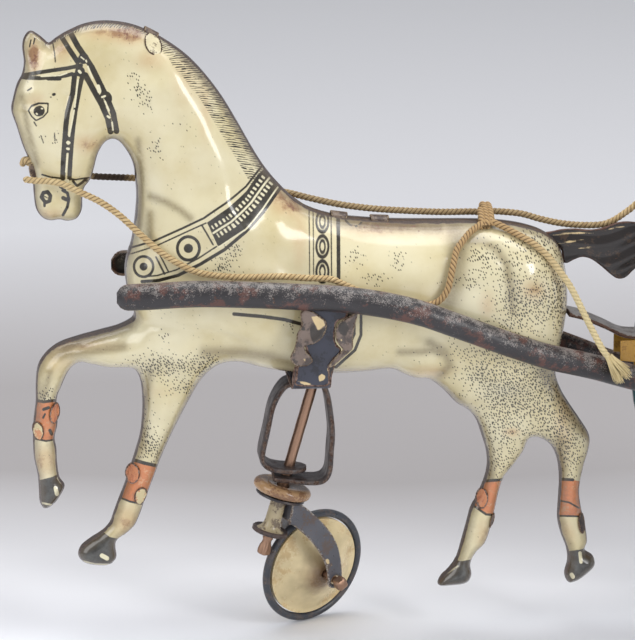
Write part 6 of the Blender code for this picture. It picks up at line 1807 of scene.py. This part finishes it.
@dataclass
class Shafts:
    """The half-round shafts, the bracket between them, its ears and rivets, the stirrup and the tongue."""

    height: float = 6.6 * MM
    depth: float = 3.2 * MM
    tin: float = 0.6 * MM
    bracket_tin: float = 0.8 * MM
    bracket_width: float = 9.8 * MM
    bracket_foot: float = 7.2
    bracket_x: float = -149.8
    seat_gap: float = 0.3
    neck_out: float = 18.6
    lobe_out: float = 19.3
    lobe_curl: float = 0.3 * MM
    stirrup_tin: float = 1.4 * MM
    stirrup_width: float = 8.8 * MM
    tongue_tin: float = 1.0 * MM
    tongue_width: float = 9.6 * MM
    nose_top: float = 15.4

    def shaft(self, name: str, side: int) -> None:
        """One shaft: a half-round shell along its route, drawn in to a round tip.

        Formula: at a share of its size that follows a quarter circle from the tip, the section is
        depth times the cosine and half the height times the sine of an angle, outside and inside.

        Args:
            name: Near or far.
            side: -1 on the near side, 1 on the far one.
        """
        route = flowing(np.asarray(SHAFT_ROUTE, float), 0.9, False)
        grown = np.clip(0.08 + (route[:, 0] - route[0, 0]) / (self.height / MM / 2), 0, 1)
        share = np.sqrt(1 - (1 - grown) ** 2)[:, None]
        turn = np.linspace(-math.pi / 2, math.pi / 2, 17)
        both = np.concatenate([turn, turn[::-1]])
        dents = 0.12 * MM * np.sin(route[:, :1] * 0.31 + 1.3) * np.cos(turn * 2 + 0.4)
        outer = (self.depth * share + dents * share, self.height / 2 * share)
        inner = (self.depth * share - self.tin, self.height / 2 * share - self.tin)
        places = []
        for (deep, tall), angles in ((outer, turn), (inner, turn[::-1])):
            deep, tall = np.maximum(deep, 0.15 * MM), np.maximum(tall, 0.15 * MM)
            y = side * (route[:, 2:] * MM + deep * np.cos(angles))
            z = route[:, 1:2] * MM + tall * np.sin(angles)
            places.append(np.stack([np.broadcast_to(route[:, :1] * MM, y.shape), y, z], axis=-1))
        grid = np.concatenate(places, axis=1) + AXLE_LINE
        from_lip = (1 - np.abs(both) / (math.pi / 2)) * self.height / MM * 0.8
        # upper: 1 on the shaft's top, where the painted glints gather.
        fields = {"edge": np.broadcast_to(from_lip[None, :], grid.shape[:2]),
                  "upper": np.broadcast_to(np.sin(both)[None, :], grid.shape[:2])}
        made_object(f"shaft_{name}_shell", Stock.tube(grid, fields), Body.CHASSIS, Looks.SHAFT,
                    (f"shaft_{name}",), 60)

    def bracket(self) -> None:
        """The U-shaped strap that carries the horse."""
        half = np.asarray(BRACKET_ROUTE, float)
        route = flowing(np.vstack([half * [-1, 1, 1, 1], half[::-1]]), 0.7, False)
        y, height, share, shift = route.T
        rail = from_axle(np.stack([self.bracket_x + shift, y, height + self.bracket_foot], axis=1))
        stock = strip(rail, (1, 0, 0), share * self.bracket_width, self.bracket_tin)
        made_object("shaft_bracket_strap", blotted(stock, EAR_LIGHT, EAR_DIM), Body.CHASSIS, Looks.BRACKET,
                    ("shaft_bracket",))

    def ear(self, name: str, side: int) -> None:
        """One two-lobed ear over the bracket's neck, and its rivet.

        Args:
            name: Near or far.
            side: -1 on the near side, 1 on the far one.
        """

        def curl(places: Array, edge: Array) -> Array:
            """The lobes' rims stand a little proud, by e to minus a squared distance from 0.8 mm in."""
            return side * self.lobe_curl * np.exp(-((edge / MM - 0.8) / 0.6) ** 2)

        for part, outline, out, half, finish in (
                ("neck", NECK_SEEN, self.neck_out, 0.25, Looks.BRACKET),
                ("left_lobe", LEFT_EAR_SEEN, self.lobe_out, 0.3, Looks.EAR),
                ("right_lobe", RIGHT_EAR_SEEN, self.lobe_out, 0.3, Looks.EAR)):
            loop = flowing(LENS.onto(outline, -out * MM), 0.35 * MM, True)
            swell = None if part == "neck" else curl
            stock = blotted(pressed([loop], half * MM, side * out * MM, 0.45 * MM, swell), EAR_LIGHT, EAR_DIM)
            made_object(f"bracket_{part}_{name}", stock, Body.CHASSIS, finish,
                        (f"bracket_ear_{name}",) if part == "left_lobe" else ())
        from_cad(f"bracket_rivet_{name}", Body.CHASSIS, Looks.RUSTY)

    def middle_rail(self, route: Sequence[tuple[float, float]], step: float) -> Array:
        """A rail in the toy's middle plane along a route of x and height in millimetres."""
        route = flowing(np.array(route, float), step, False)
        return from_axle(np.stack([route[:, 0], 0 * route[:, 0], route[:, 1]], axis=1))

    def stirrup(self) -> None:
        """The bent strap that hangs under the bracket, its upper layer drawn in to a round end.

        Formula: the width near that end is the full width times the square root of 1 minus (1 minus the
        distance from the end over half the width, at most 1) squared.
        """
        top = self.bracket_foot - self.bracket_tin / MM / 2 - self.seat_gap - self.stirrup_tin / MM / 2
        rail = self.middle_rail(STIRRUP_FRONT + [(x, top) for x in STIRRUP_TOP] + STIRRUP_REAR, 0.3)
        run = np.arange(len(rail)) * 0.3 * MM
        width = self.stirrup_width * np.sqrt(1 - (1 - np.clip(run / (self.stirrup_width / 2), 0.02, 1)) ** 2)
        stock = strip(rail, (0, 1, 0), np.maximum(width, 1.5 * MM), self.stirrup_tin, 10)
        made_object("stirrup_strap_bent", stock, Body.CHASSIS, Looks.STRAP, ("stirrup_strap",))

    def tongue(self) -> None:
        """The flat strap from the rump to the top of the motor's nose."""
        top = self.nose_top + self.seat_gap + self.tongue_tin / MM / 2
        rail = self.middle_rail(TONGUE_ROUTE + [(x, top) for x in TONGUE_TOP], 0.7)
        made_object("tongue_strap_plate", strip(rail, (0, 1, 0), self.tongue_width, self.tongue_tin),
                    Body.CHASSIS, Looks.TONGUE, ("tongue_strap",))

    def build(self) -> None:
        """Shafts, bracket, ears, stirrup and tongue."""
        for name, side in SIDES:
            self.shaft(name, side)
        self.bracket()
        for name, side in SIDES:
            self.ear(name, side)
        self.stirrup()
        self.tongue()


# Caster


@dataclass
class Caster:
    """The front caster: the pin, its washer and spool, the fork and the dished wheel."""

    pin: float = 1.4 * MM
    crimp: float = 4.4 * MM
    crimp_top: float = 2.4 * MM
    lip: float = 1.35 * MM
    plate_tin: float = 0.7 * MM
    tube: float = 2.0 * MM
    bell: float = 1.5 * MM
    hub: float = 2.3 * MM
    bore: float = 1.12 * MM
    disc_tin: float = 0.45 * MM
    disc_lip: float = 0.55 * MM
    tyre: float = 1.0 * MM
    shank: float = 0.97 * MM
    head: float = 2.55 * MM
    arm_near: float = 3.4 * MM
    arm_spread: float = 6.45 * MM
    eye: float = 2.3 * MM
    eye_bore: float = 1.25 * MM

    def joint(self, name: str) -> Spindle:
        """A joint's axis."""
        found = next(joint for joint in frame["joints"] if joint["name"] == name)
        return Spindle(tuple(found["pos_m"]), tuple(found["axis"]))

    def extent(self, node: str, axis: Spindle) -> tuple[float, float, float]:
        """How far a CAD node reaches along an axis, from where to where, and its radius about it."""
        mesh = frame["nodes"][node].data
        places = np.zeros(len(mesh.vertices) * 3)
        mesh.vertices.foreach_get("co", places)
        away = places.reshape(-1, 3) - np.asarray(axis.foot)
        along, _, _ = axis.axes()
        run = away @ along
        reach = np.linalg.norm(away - run[:, None] * along, axis=1)
        return float(run.min()), float(run.max()), float(reach.max())

    def pin_piece(self, axis: Spindle) -> None:
        """The long pin: a worn rod with a crimped foot."""
        low, high, head = self.extent("swivel_pin", axis)
        crimp = low + self.crimp_top
        low, head = crimp - self.crimp, min(head, 1.65 * MM)
        shank = np.linspace(crimp + 0.2 * MM, high - 0.3 * MM, 60)
        profile = [(0, low), (head * 0.8, low), (head * 0.98, low + 0.25 * MM), (head, low + 1.2 * MM),
                   (head * 0.9, low + 2.4 * MM), (head * 0.72, crimp - 1.2 * MM),
                   (head * 0.7, crimp - 0.5 * MM), (self.pin, crimp)]
        profile += [(self.pin * 0.97, z) for z in shank]
        profile += [(self.pin * 0.75, high - 0.08 * MM), (0, high)]

        def flats(turn: Array, z: Array) -> Array:
            """Four crimped dents round the foot and small dents up the shank."""
            foot = np.exp(-((z - low - 1.4 * MM) / (1.5 * MM)) ** 2) * 0.22 * MM * (np.cos(4 * turn) - 0.6)
            return foot - 0.02 * MM * (1 + np.sin(z / (0.9 * MM) + 3 * np.cos(turn)))

        made_object("swivel_pin_rod", axis.turned(profile, 32, False, flats), Body.CHASSIS, Looks.RUSTY,
                    ("swivel_pin",))

    def washer(self, axis: Spindle) -> None:
        """The domed tan washer with a rolled lip, and the fork's round top plate under it.

        Formula: the dome falls from the bore to the lip by its share of the way to the power 2.4, less
        0.7 mm times the square of what is left of the way, and the lip is half a circle.
        """
        low, high, reach = self.extent("dished_washer", axis)
        reach += 0.5 * MM
        bore, lip = self.pin + 0.3 * MM, self.lip
        t = np.linspace(0, 1, 24)
        radius = bore + (reach - lip - bore) * t
        crown = high - (high - low - 2 * lip) * t ** 2.4 - 0.7 * MM * (1 - t) ** 2
        turn = np.linspace(math.pi / 2, -math.pi / 2, 9)[1:-1]
        rim = [(reach - lip + lip * math.cos(a), low + lip + lip * math.sin(a)) for a in turn]
        under = list(zip(radius[::-1], crown[::-1] - 2 * lip + 0.4 * MM * (1 - t[::-1])))
        made_object("dished_washer_dome", axis.turned(list(zip(radius, crown)) + rim + under, 96, True),
                    Body.CHASSIS, Looks.WASHER, ("dished_washer",))
        top, wide = low - 0.3 * MM, reach - 1.2 * MM
        plate = [(bore, top), (wide - 0.2 * MM, top), (wide, top - 0.25 * MM), (wide, top - 0.5 * MM),
                 (wide - 0.2 * MM, top - self.plate_tin), (bore, top - self.plate_tin)]
        made_object("fork_top_plate", axis.turned(plate, 72, True), Body.CASTER_FORK, Looks.FORK_PLAIN)

    def spool(self, axis: Spindle) -> None:
        """The cream tube on the pin, belled out at its foot, and the brown flange that it stands on.

        Formula: the tube's radius is its own plus the bell's times e to minus its height over 0.8 mm.
        """
        low, high, reach = self.extent("caster_spool", axis)
        bore, seat = self.pin + 0.14 * MM, low + 0.95 * MM
        z = seat + (high - seat) * np.linspace(0, 1, 30) ** 1.6
        radius = self.tube + self.bell * np.exp(-(z - seat) / (0.8 * MM))
        tube = list(zip(radius, z)) + [(bore, high), (bore, seat)]
        made_object("caster_spool_tube", axis.turned(tube, 56, True), Body.CASTER_FORK, Looks.SPOOL,
                    ("caster_spool",), 50)
        wide, rise = reach + 0.25 * MM, seat + 0.35 * MM
        flange = [(bore, seat), (wide - 0.9 * MM, seat), (wide - 0.3 * MM, rise), (wide, rise - 0.3 * MM),
                  (wide, low + 0.2 * MM), (wide - 0.3 * MM, low), (bore, low)]
        made_object("caster_spool_flange", axis.turned(flange, 56, True), Body.CASTER_FORK, Looks.FLANGE)

    def disc(self, node: str, axis: Spindle) -> None:
        """One coned disc.

        Formula: its face rises from its flat lip to the hub as its share of the way in, to the power
        1.15, and rolls over at the bore.
        """
        low, high, reach = self.extent(node, axis)
        sign = 1 if low + high > 0 else -1
        near, far = sorted((abs(low), abs(high)))
        near += self.disc_lip
        radius = self.bore + (reach - self.bore) * np.linspace(0, 1, 50)
        flat = reach - 0.9 * MM
        inward = np.clip((flat - radius) / (flat - self.hub), 0, 1)
        roll = np.exp(-((radius - self.bore) / (0.35 * MM)) ** 2) * 0.35 * MM
        face = near + (far - near) * inward ** 1.15 - roll
        profile = list(zip(radius, sign * face))
        profile += zip(radius[::-1], sign * (face[::-1] - self.disc_tin))
        made_object(f"{node}_dished", axis.turned(profile, 120, True), Body.CASTER_WHEEL, Looks.DISC, (node,))

    def rolled_tyre(self, axis: Spindle) -> None:
        """The tyre: an ellipse round the wheel's rim."""
        low, high, reach = self.extent("caster_tyre", axis)
        half = (high - low) / 2
        thick = min(half, self.tyre)
        turn = np.linspace(0, 2 * math.pi, 20, endpoint=False)
        profile = [(reach - thick + thick * math.cos(t), half * math.sin(t)) for t in turn]
        made_object("caster_tyre_rolled", axis.turned(profile, 144, True), Body.CASTER_WHEEL, Looks.TYRE,
                    ("caster_tyre",), 60)

    def axle(self, axis: Spindle) -> None:
        """The long axle with a crimped head at each end."""
        low, high, reach = self.extent("caster_axle", axis)
        end = [(0, 0), (reach * 0.6, 0.05 * MM), (reach * 0.92, 0.4 * MM), (reach, 1.1 * MM),
               (reach, 1.8 * MM), (reach * 0.94, self.head), (self.shank, self.head + 0.02 * MM)]
        profile = [(r, low + z) for r, z in end] + [(r, high - z) for r, z in end[::-1]]

        def crimps(turn: Array, z: Array) -> Array:
            """Two flats nipped into each head."""
            on_head = np.minimum(z - low, high - z) < self.head + 0.01 * MM
            return -0.3 * MM * np.cos(2 * turn + 0.8) ** 2 * on_head

        made_object("caster_axle_crimped", axis.turned(profile, 40, False, crimps), Body.CASTER_FORK,
                    Looks.RUSTY, ("caster_axle",))

    def fork(self, axis: Spindle, hub: Spindle) -> None:
        """The fork's arms, bent out from behind the spool to both ends of the axle, and the sheet there.

        Formula: an arm stands off the wheel's middle plane by its least distance plus its spread times
        the smooth step 3 s squared minus 2 s cubed of its share s of the way from the pin to the axle.

        Args:
            axis: The pin's axis.
            hub: The wheel's axis.
        """
        _, high, _ = self.extent("caster_fork", axis)
        foot, up = np.asarray(axis.foot), axis.axes()[0]
        ahead = np.asarray(hub.foot) - foot
        reach = float(np.linalg.norm(ahead))
        ahead = ahead / reach
        side = np.cross(up, ahead)
        turn = np.linspace(0, -math.pi, 14)[1:-1]
        eye = np.stack([reach + self.eye * np.cos(turn), self.eye * np.sin(turn)], axis=1)
        over = bowed((1.9 * MM, high), (0.86 * reach, 0.74 * high), (reach + self.eye, 0), 22)
        under = bowed((reach - self.eye, 0), (0.62 * reach, 0.5 * high), (2.4 * MM, 0.66 * high), 18)
        outline = flowing(np.vstack([over, eye, under]), 0.5 * MM, True)
        hole = circle(self.eye_bore, 20, (reach, 0))[::-1]
        for name, sign in SIDES:
            stock = pressed([outline, hole], 0.4 * MM, 0.0, 0.9 * MM)
            share = np.clip((stock.points[:, 0] - 2.0 * MM) / (reach - 4.5 * MM), 0, 1)
            smooth = share ** 2 * (3 - 2 * share)
            off = sign * (self.arm_near + self.arm_spread * smooth) + stock.points[:, 1]
            stock.points = foot + stock.points[:, :1] * ahead + off[:, None] * side + stock.points[:, 2:] * up
            made_object(f"caster_fork_arm_{name}", blotted(stock, ARM_LIGHT, ()), Body.CASTER_FORK,
                        Looks.FORK, ("caster_fork",) if name == "near" else ())
        rise = np.linspace(0.68 * high, high - 0.2 * MM, 20)[:, None]
        stock = strip(foot + 2.6 * MM * ahead + rise * up, side, 7.0 * MM, self.plate_tin)
        made_object("caster_fork_back", blotted(stock, (), ()), Body.CASTER_FORK, Looks.FORK)

    def build(self) -> None:
        """What stands on the pin, then what turns on the axle, then the fork."""
        swivel, hub = self.joint("caster_swivel"), self.joint("caster_wheel_spin")
        self.pin_piece(swivel)
        self.washer(swivel)
        self.spool(swivel)
        self.disc("caster_near_disc", hub)
        self.disc("caster_far_disc", hub)
        self.rolled_tyre(hub)
        self.axle(hub)
        self.fork(swivel, hub)


# Reins


@dataclass
class Reins:
    """The twine reins, their knot over the back and the frayed end at the near shaft."""

    thick: float = 1.75 * MM
    turn_length: float = 3.4 * MM
    strands: int = 3
    step: float = 0.18 * MM
    sides: int = 18
    knot_place: tuple[float, float, float] = (-105.2, -1.5, 47.6)
    knot_turns: float = 2.3
    knot_half: float = 4.1
    knot_slope: float = 0.42
    whipping: tuple[float, float, float] = (-75.2, -11.9, 13.4)
    fray_lean: float = math.radians(-35)
    fray_length: float = 7.8 * MM
    fray_count: int = 120
    fray_half: float = 0.17 * MM

    def rope(self, path: Array, stained: Array, bleached: Array, tanned: Array) -> Stock:
        """A laid rope along a path.

        Formula: the radius at an angle is half the thickness times 0.74 plus 0.24 times the power 0.8
        of the size of the cosine of half the strands times the angle less the lay's turn, which grows
        evenly along the path. It shrinks to a round end over half a thickness.

        Args:
            path: The rope's middle line at even steps.
            darkening: How much darker each step is.
            bleached: How pale each step is.
            tanned: How brown each step is.

        Returns:
            The rope's stock with the fields lay, strand, darkening, bleached and tanned.
        """
        _, side, up = frames_along(path)
        run = lengths_along(path)
        turn = np.linspace(0, 2 * math.pi, self.sides, endpoint=False)
        lay = turn[None, :] - run[:, None] / self.turn_length * 2 * math.pi
        lobe = np.abs(np.cos(self.strands / 2 * lay))
        radius = self.thick / 2 * (0.74 + 0.24 * lobe ** 0.8)
        ends = np.clip(np.minimum(run, run[-1] - run) / (0.5 * self.thick), 0.0, 1.0)[:, None]
        radius = radius * np.sqrt(np.clip(1 - (1 - ends) ** 2, 0.12, 1))
        grid = (path[:, None, :] + (radius * np.cos(turn))[..., None] * side[:, None, :]
                + (radius * np.sin(turn))[..., None] * up[:, None, :])
        around = lay * self.strands / (2 * math.pi)
        fields = {"lay": np.stack([np.broadcast_to(run[:, None] / MM, lay.shape), around, 0 * lay], axis=-1),
                  "strand": lobe}
        for key, values in (("stained", stained), ("bleached", bleached), ("tanned", tanned)):
            fields[key] = np.broadcast_to(values[:, None], lay.shape)
        return Stock.tube(grid, fields)

    def twine(self, name: str, rope: Stock, replaces: Sequence[str] = ()) -> bpy.types.Object:
        """A piece of twine on the chassis."""
        return made_object(name, rope, Body.CHASSIS, Looks.TWINE, replaces, 80)

    def rein(self, name: str) -> tuple[bpy.types.Object, Array]:
        """One stretch of rein along its route, darkened, bleached or tanned along x as in the photo."""
        path = flowing(from_axle(REIN_ROUTES[name]), self.step, False)
        x = (path[:, 0] - AXLE_LINE[0]) / MM

        def after(start: float, over: float) -> Array:
            """0 before a place along x and 1 past it, over a length in millimetres."""
            return np.clip((x - start) / over, 0, 1)

        def before(end: float, over: float) -> Array:
            """1 before a place along x and 0 past it, over a length in millimetres."""
            return np.clip((end - x) / over, 0, 1)

        # Darker where the far rein runs between the jaw and the neck, a little darker from x -158 on and on
        # the far back stretch before x -70.
        stained = np.zeros(len(path))
        if name == "rein_far_front":
            stained = after(-203.5, 2) * before(-191, 4) + 0.4 * after(-158, 6)
        if name == "rein_far_back":
            stained = 0.35 * before(-70, 6)
        bleached = after(-97, 14) if name == "rein_near_back" else np.minimum(before(-205, 8), 0.3)
        handled = 1.0 if "near" in name else 0.35
        tanned = handled * after(-123, 4) * before(-86, 16) + 0.3 * before(-212, 4)
        rope = self.rope(path, np.clip(stained, 0, 0.95), bleached, tanned)
        return self.twine(f"{name}_twine", rope, (name,)), path

    def knot(self) -> bpy.types.Object:
        """Turns of twine round both reins: a helix along X, oval, and lower on its near side."""
        turn = np.linspace(1.2, 1.2 + self.knot_turns * 2 * math.pi, 260)
        share = np.linspace(-1, 1, 260)
        off = np.stack([share * 1.35 + 0.3 * np.sin(turn + 0.8), self.knot_half * np.cos(turn),
                        1.0 * np.sin(turn) + self.knot_slope * self.knot_half * np.cos(turn)], axis=1)
        path = flowing(from_axle([self.knot_place])[0] + off * MM, self.step, False)
        plain = np.zeros(len(path))
        return self.twine("rein_knot_turns", self.rope(path, plain, plain, plain + 1), ("rein_knot",))

    def curl(self) -> bpy.types.Object:
        """The far rein's end, curled back over the nose."""
        seen = LENS.onto(CURL_SEEN, -1.0 * MM)
        route = np.insert(seen, 1, np.linspace(-2.6, -0.4, len(seen)) * MM, axis=1)
        path = flowing(route, 0.2 * MM, False)
        plain = np.zeros(len(path))
        return self.twine("rein_far_curl", self.rope(path, plain, plain + 0.2, plain + 0.3))

    def tassel(self) -> bpy.types.Object:
        """The frayed end: strands that fan out from the whipping and curl.

        Formula: a strand starts anywhere in a disc, runs down the lean and spreads by its share of the
        way to the power 1.3, with a sine curl that grows along it and a section that shrinks.
        """
        top, lean = from_axle([self.whipping])[0], self.fray_lean
        down = np.array([-math.sin(lean), 0, -math.cos(lean)])
        first, second = np.array([math.cos(lean), 0, -math.sin(lean)]), np.array([0.0, 1.0, 0.0])
        rng = np.random.default_rng(7)
        count, rings, sides = self.fray_count, 10, 4
        t = np.linspace(0, 1, rings)[None, :, None]
        angle, reach = rng.uniform(0, 2 * math.pi, count), np.sqrt(rng.uniform(0, 1, count))
        out = (np.cos(angle) * reach)[:, None, None] * first + (np.sin(angle) * reach)[:, None, None] * second
        length = rng.uniform(0.7, 1.0, count)[:, None, None] * self.fray_length
        waves = rng.uniform(2, 5, count)[:, None, None]
        curl = np.sin(t * waves + angle[:, None, None]) * 0.25 * MM * t
        middle = top + down * length * t + out * (0.85 + 1.75 * t ** 1.3) * MM + curl * (first + second)
        around = np.linspace(0, 2 * math.pi, sides, endpoint=False)
        ring = np.cos(around)[:, None] * first + np.sin(around)[:, None] * second
        grid = middle[:, :, None, :] + ring * self.fray_half * (1 - 0.6 * t[..., None])
        plain = np.ones((rings, sides))
        run = np.broadcast_to(t[0] * 8, (rings, sides))
        shared = {"strand": 0.8 * plain, "stained": 0 * plain, "bleached": plain, "tanned": 0 * plain}
        strands = []
        for i in range(count):
            lay = np.stack([run, plain * 1.7 * i, 0 * plain], axis=-1)
            strands.append(Stock.tube(grid[i], {"lay": lay, **shared}))
        return self.twine("rein_tassel_strands", Stock.gathered(strands), ("rein_tassel",))

    def build(self) -> None:
        """The four stretches with the curl, the knot and the tassel."""
        for name, far_end, other in (("rein_far_front", "knot", self.curl),
                                     ("rein_near_front", "knot", self.knot),
                                     ("rein_far_back", "object", None),
                                     ("rein_near_back", "knot", self.tassel)):
            made, path = self.rein(name)
            [other()] if other else []


# Gig and clockwork


@dataclass
class Gig:
    """The gig's body, wheels and clockwork, whose shapes are the CAD's with rounded edges."""

    panel_edge: float = 0.2 * MM
    wheel_edge: float = 0.15 * MM
    brass_edge: float = 0.1 * MM
    gear_edge: float = 0.05 * MM

    def body(self) -> None:
        """The body's panels, lined or plain, and the rein rail."""
        for node in ("body_side_near", "body_side_far", "dash_panel", "seat_back"):
            from_cad(node, Body.CHASSIS, Looks.MAROON, self.panel_edge)
        for node in ("seat_front", "seat_pan", "floor_pan"):
            from_cad(node, Body.CHASSIS, Looks.MAROON_PLAIN, self.panel_edge)
        from_cad("rein_rail", Body.CHASSIS, Looks.BRASS, self.brass_edge)

    def wheels(self) -> None:
        """The spoked wheels, the axle and the hub caps."""
        for name, _ in SIDES:
            from_cad(f"wheel_{name}", Body.AXLE, Looks.TEAL, self.wheel_edge)
            from_cad(f"hub_cap_{name}", Body.AXLE, Looks.BRASS, self.brass_edge)
        from_cad("axle", Body.AXLE, Looks.STEEL)
        from_cad("axle_pinion", Body.AXLE, Looks.BRASS, self.gear_edge)

    def clockwork(self) -> None:
        """Plates, pillars, gears, spring, ratchet, click and key."""
        for name, _ in SIDES:
            from_cad(f"motor_plate_{name}", Body.CHASSIS, Looks.OCHRE)
        for i in range(1, 5):
            from_cad(f"motor_pillar_{i}", Body.CHASSIS, Looks.STEEL)
        for node, body, finish in (
                ("intermediate_wheel", Body.INTERMEDIATE, Looks.BRASS),
                ("intermediate_pinion", Body.INTERMEDIATE, Looks.BRASS),
                ("intermediate_arbor", Body.INTERMEDIATE, Looks.STEEL),
                ("great_wheel", Body.GREAT_WHEEL, Looks.BRASS),
                ("click_rivet", Body.GREAT_WHEEL, Looks.STEEL),
                ("winding_arbor", Body.WINDING, Looks.STEEL),
                ("ratchet_wheel", Body.WINDING, Looks.STEEL),
                ("winding_key", Body.WINDING, Looks.STEEL),
                ("click", Body.CLICK, Looks.STEEL),
                ("mainspring", Body.CHASSIS, Looks.SPRING)):
            from_cad(node, body, finish, self.gear_edge)

    def build(self) -> None:
        """Body, wheels and clockwork."""
        self.body()
        self.wheels()
        self.clockwork()


def main() -> None:
    """Builds the camera and the cords, then every piece."""
    logging.basicConfig(level=logging.INFO, format="%(message)s")
    LENS.camera()
    Reins().build()
    Studio().build()
    Horse().build()
    Shafts().build()
    Caster().build()
    Gig().build()


if __name__ == "__main__":
    main()
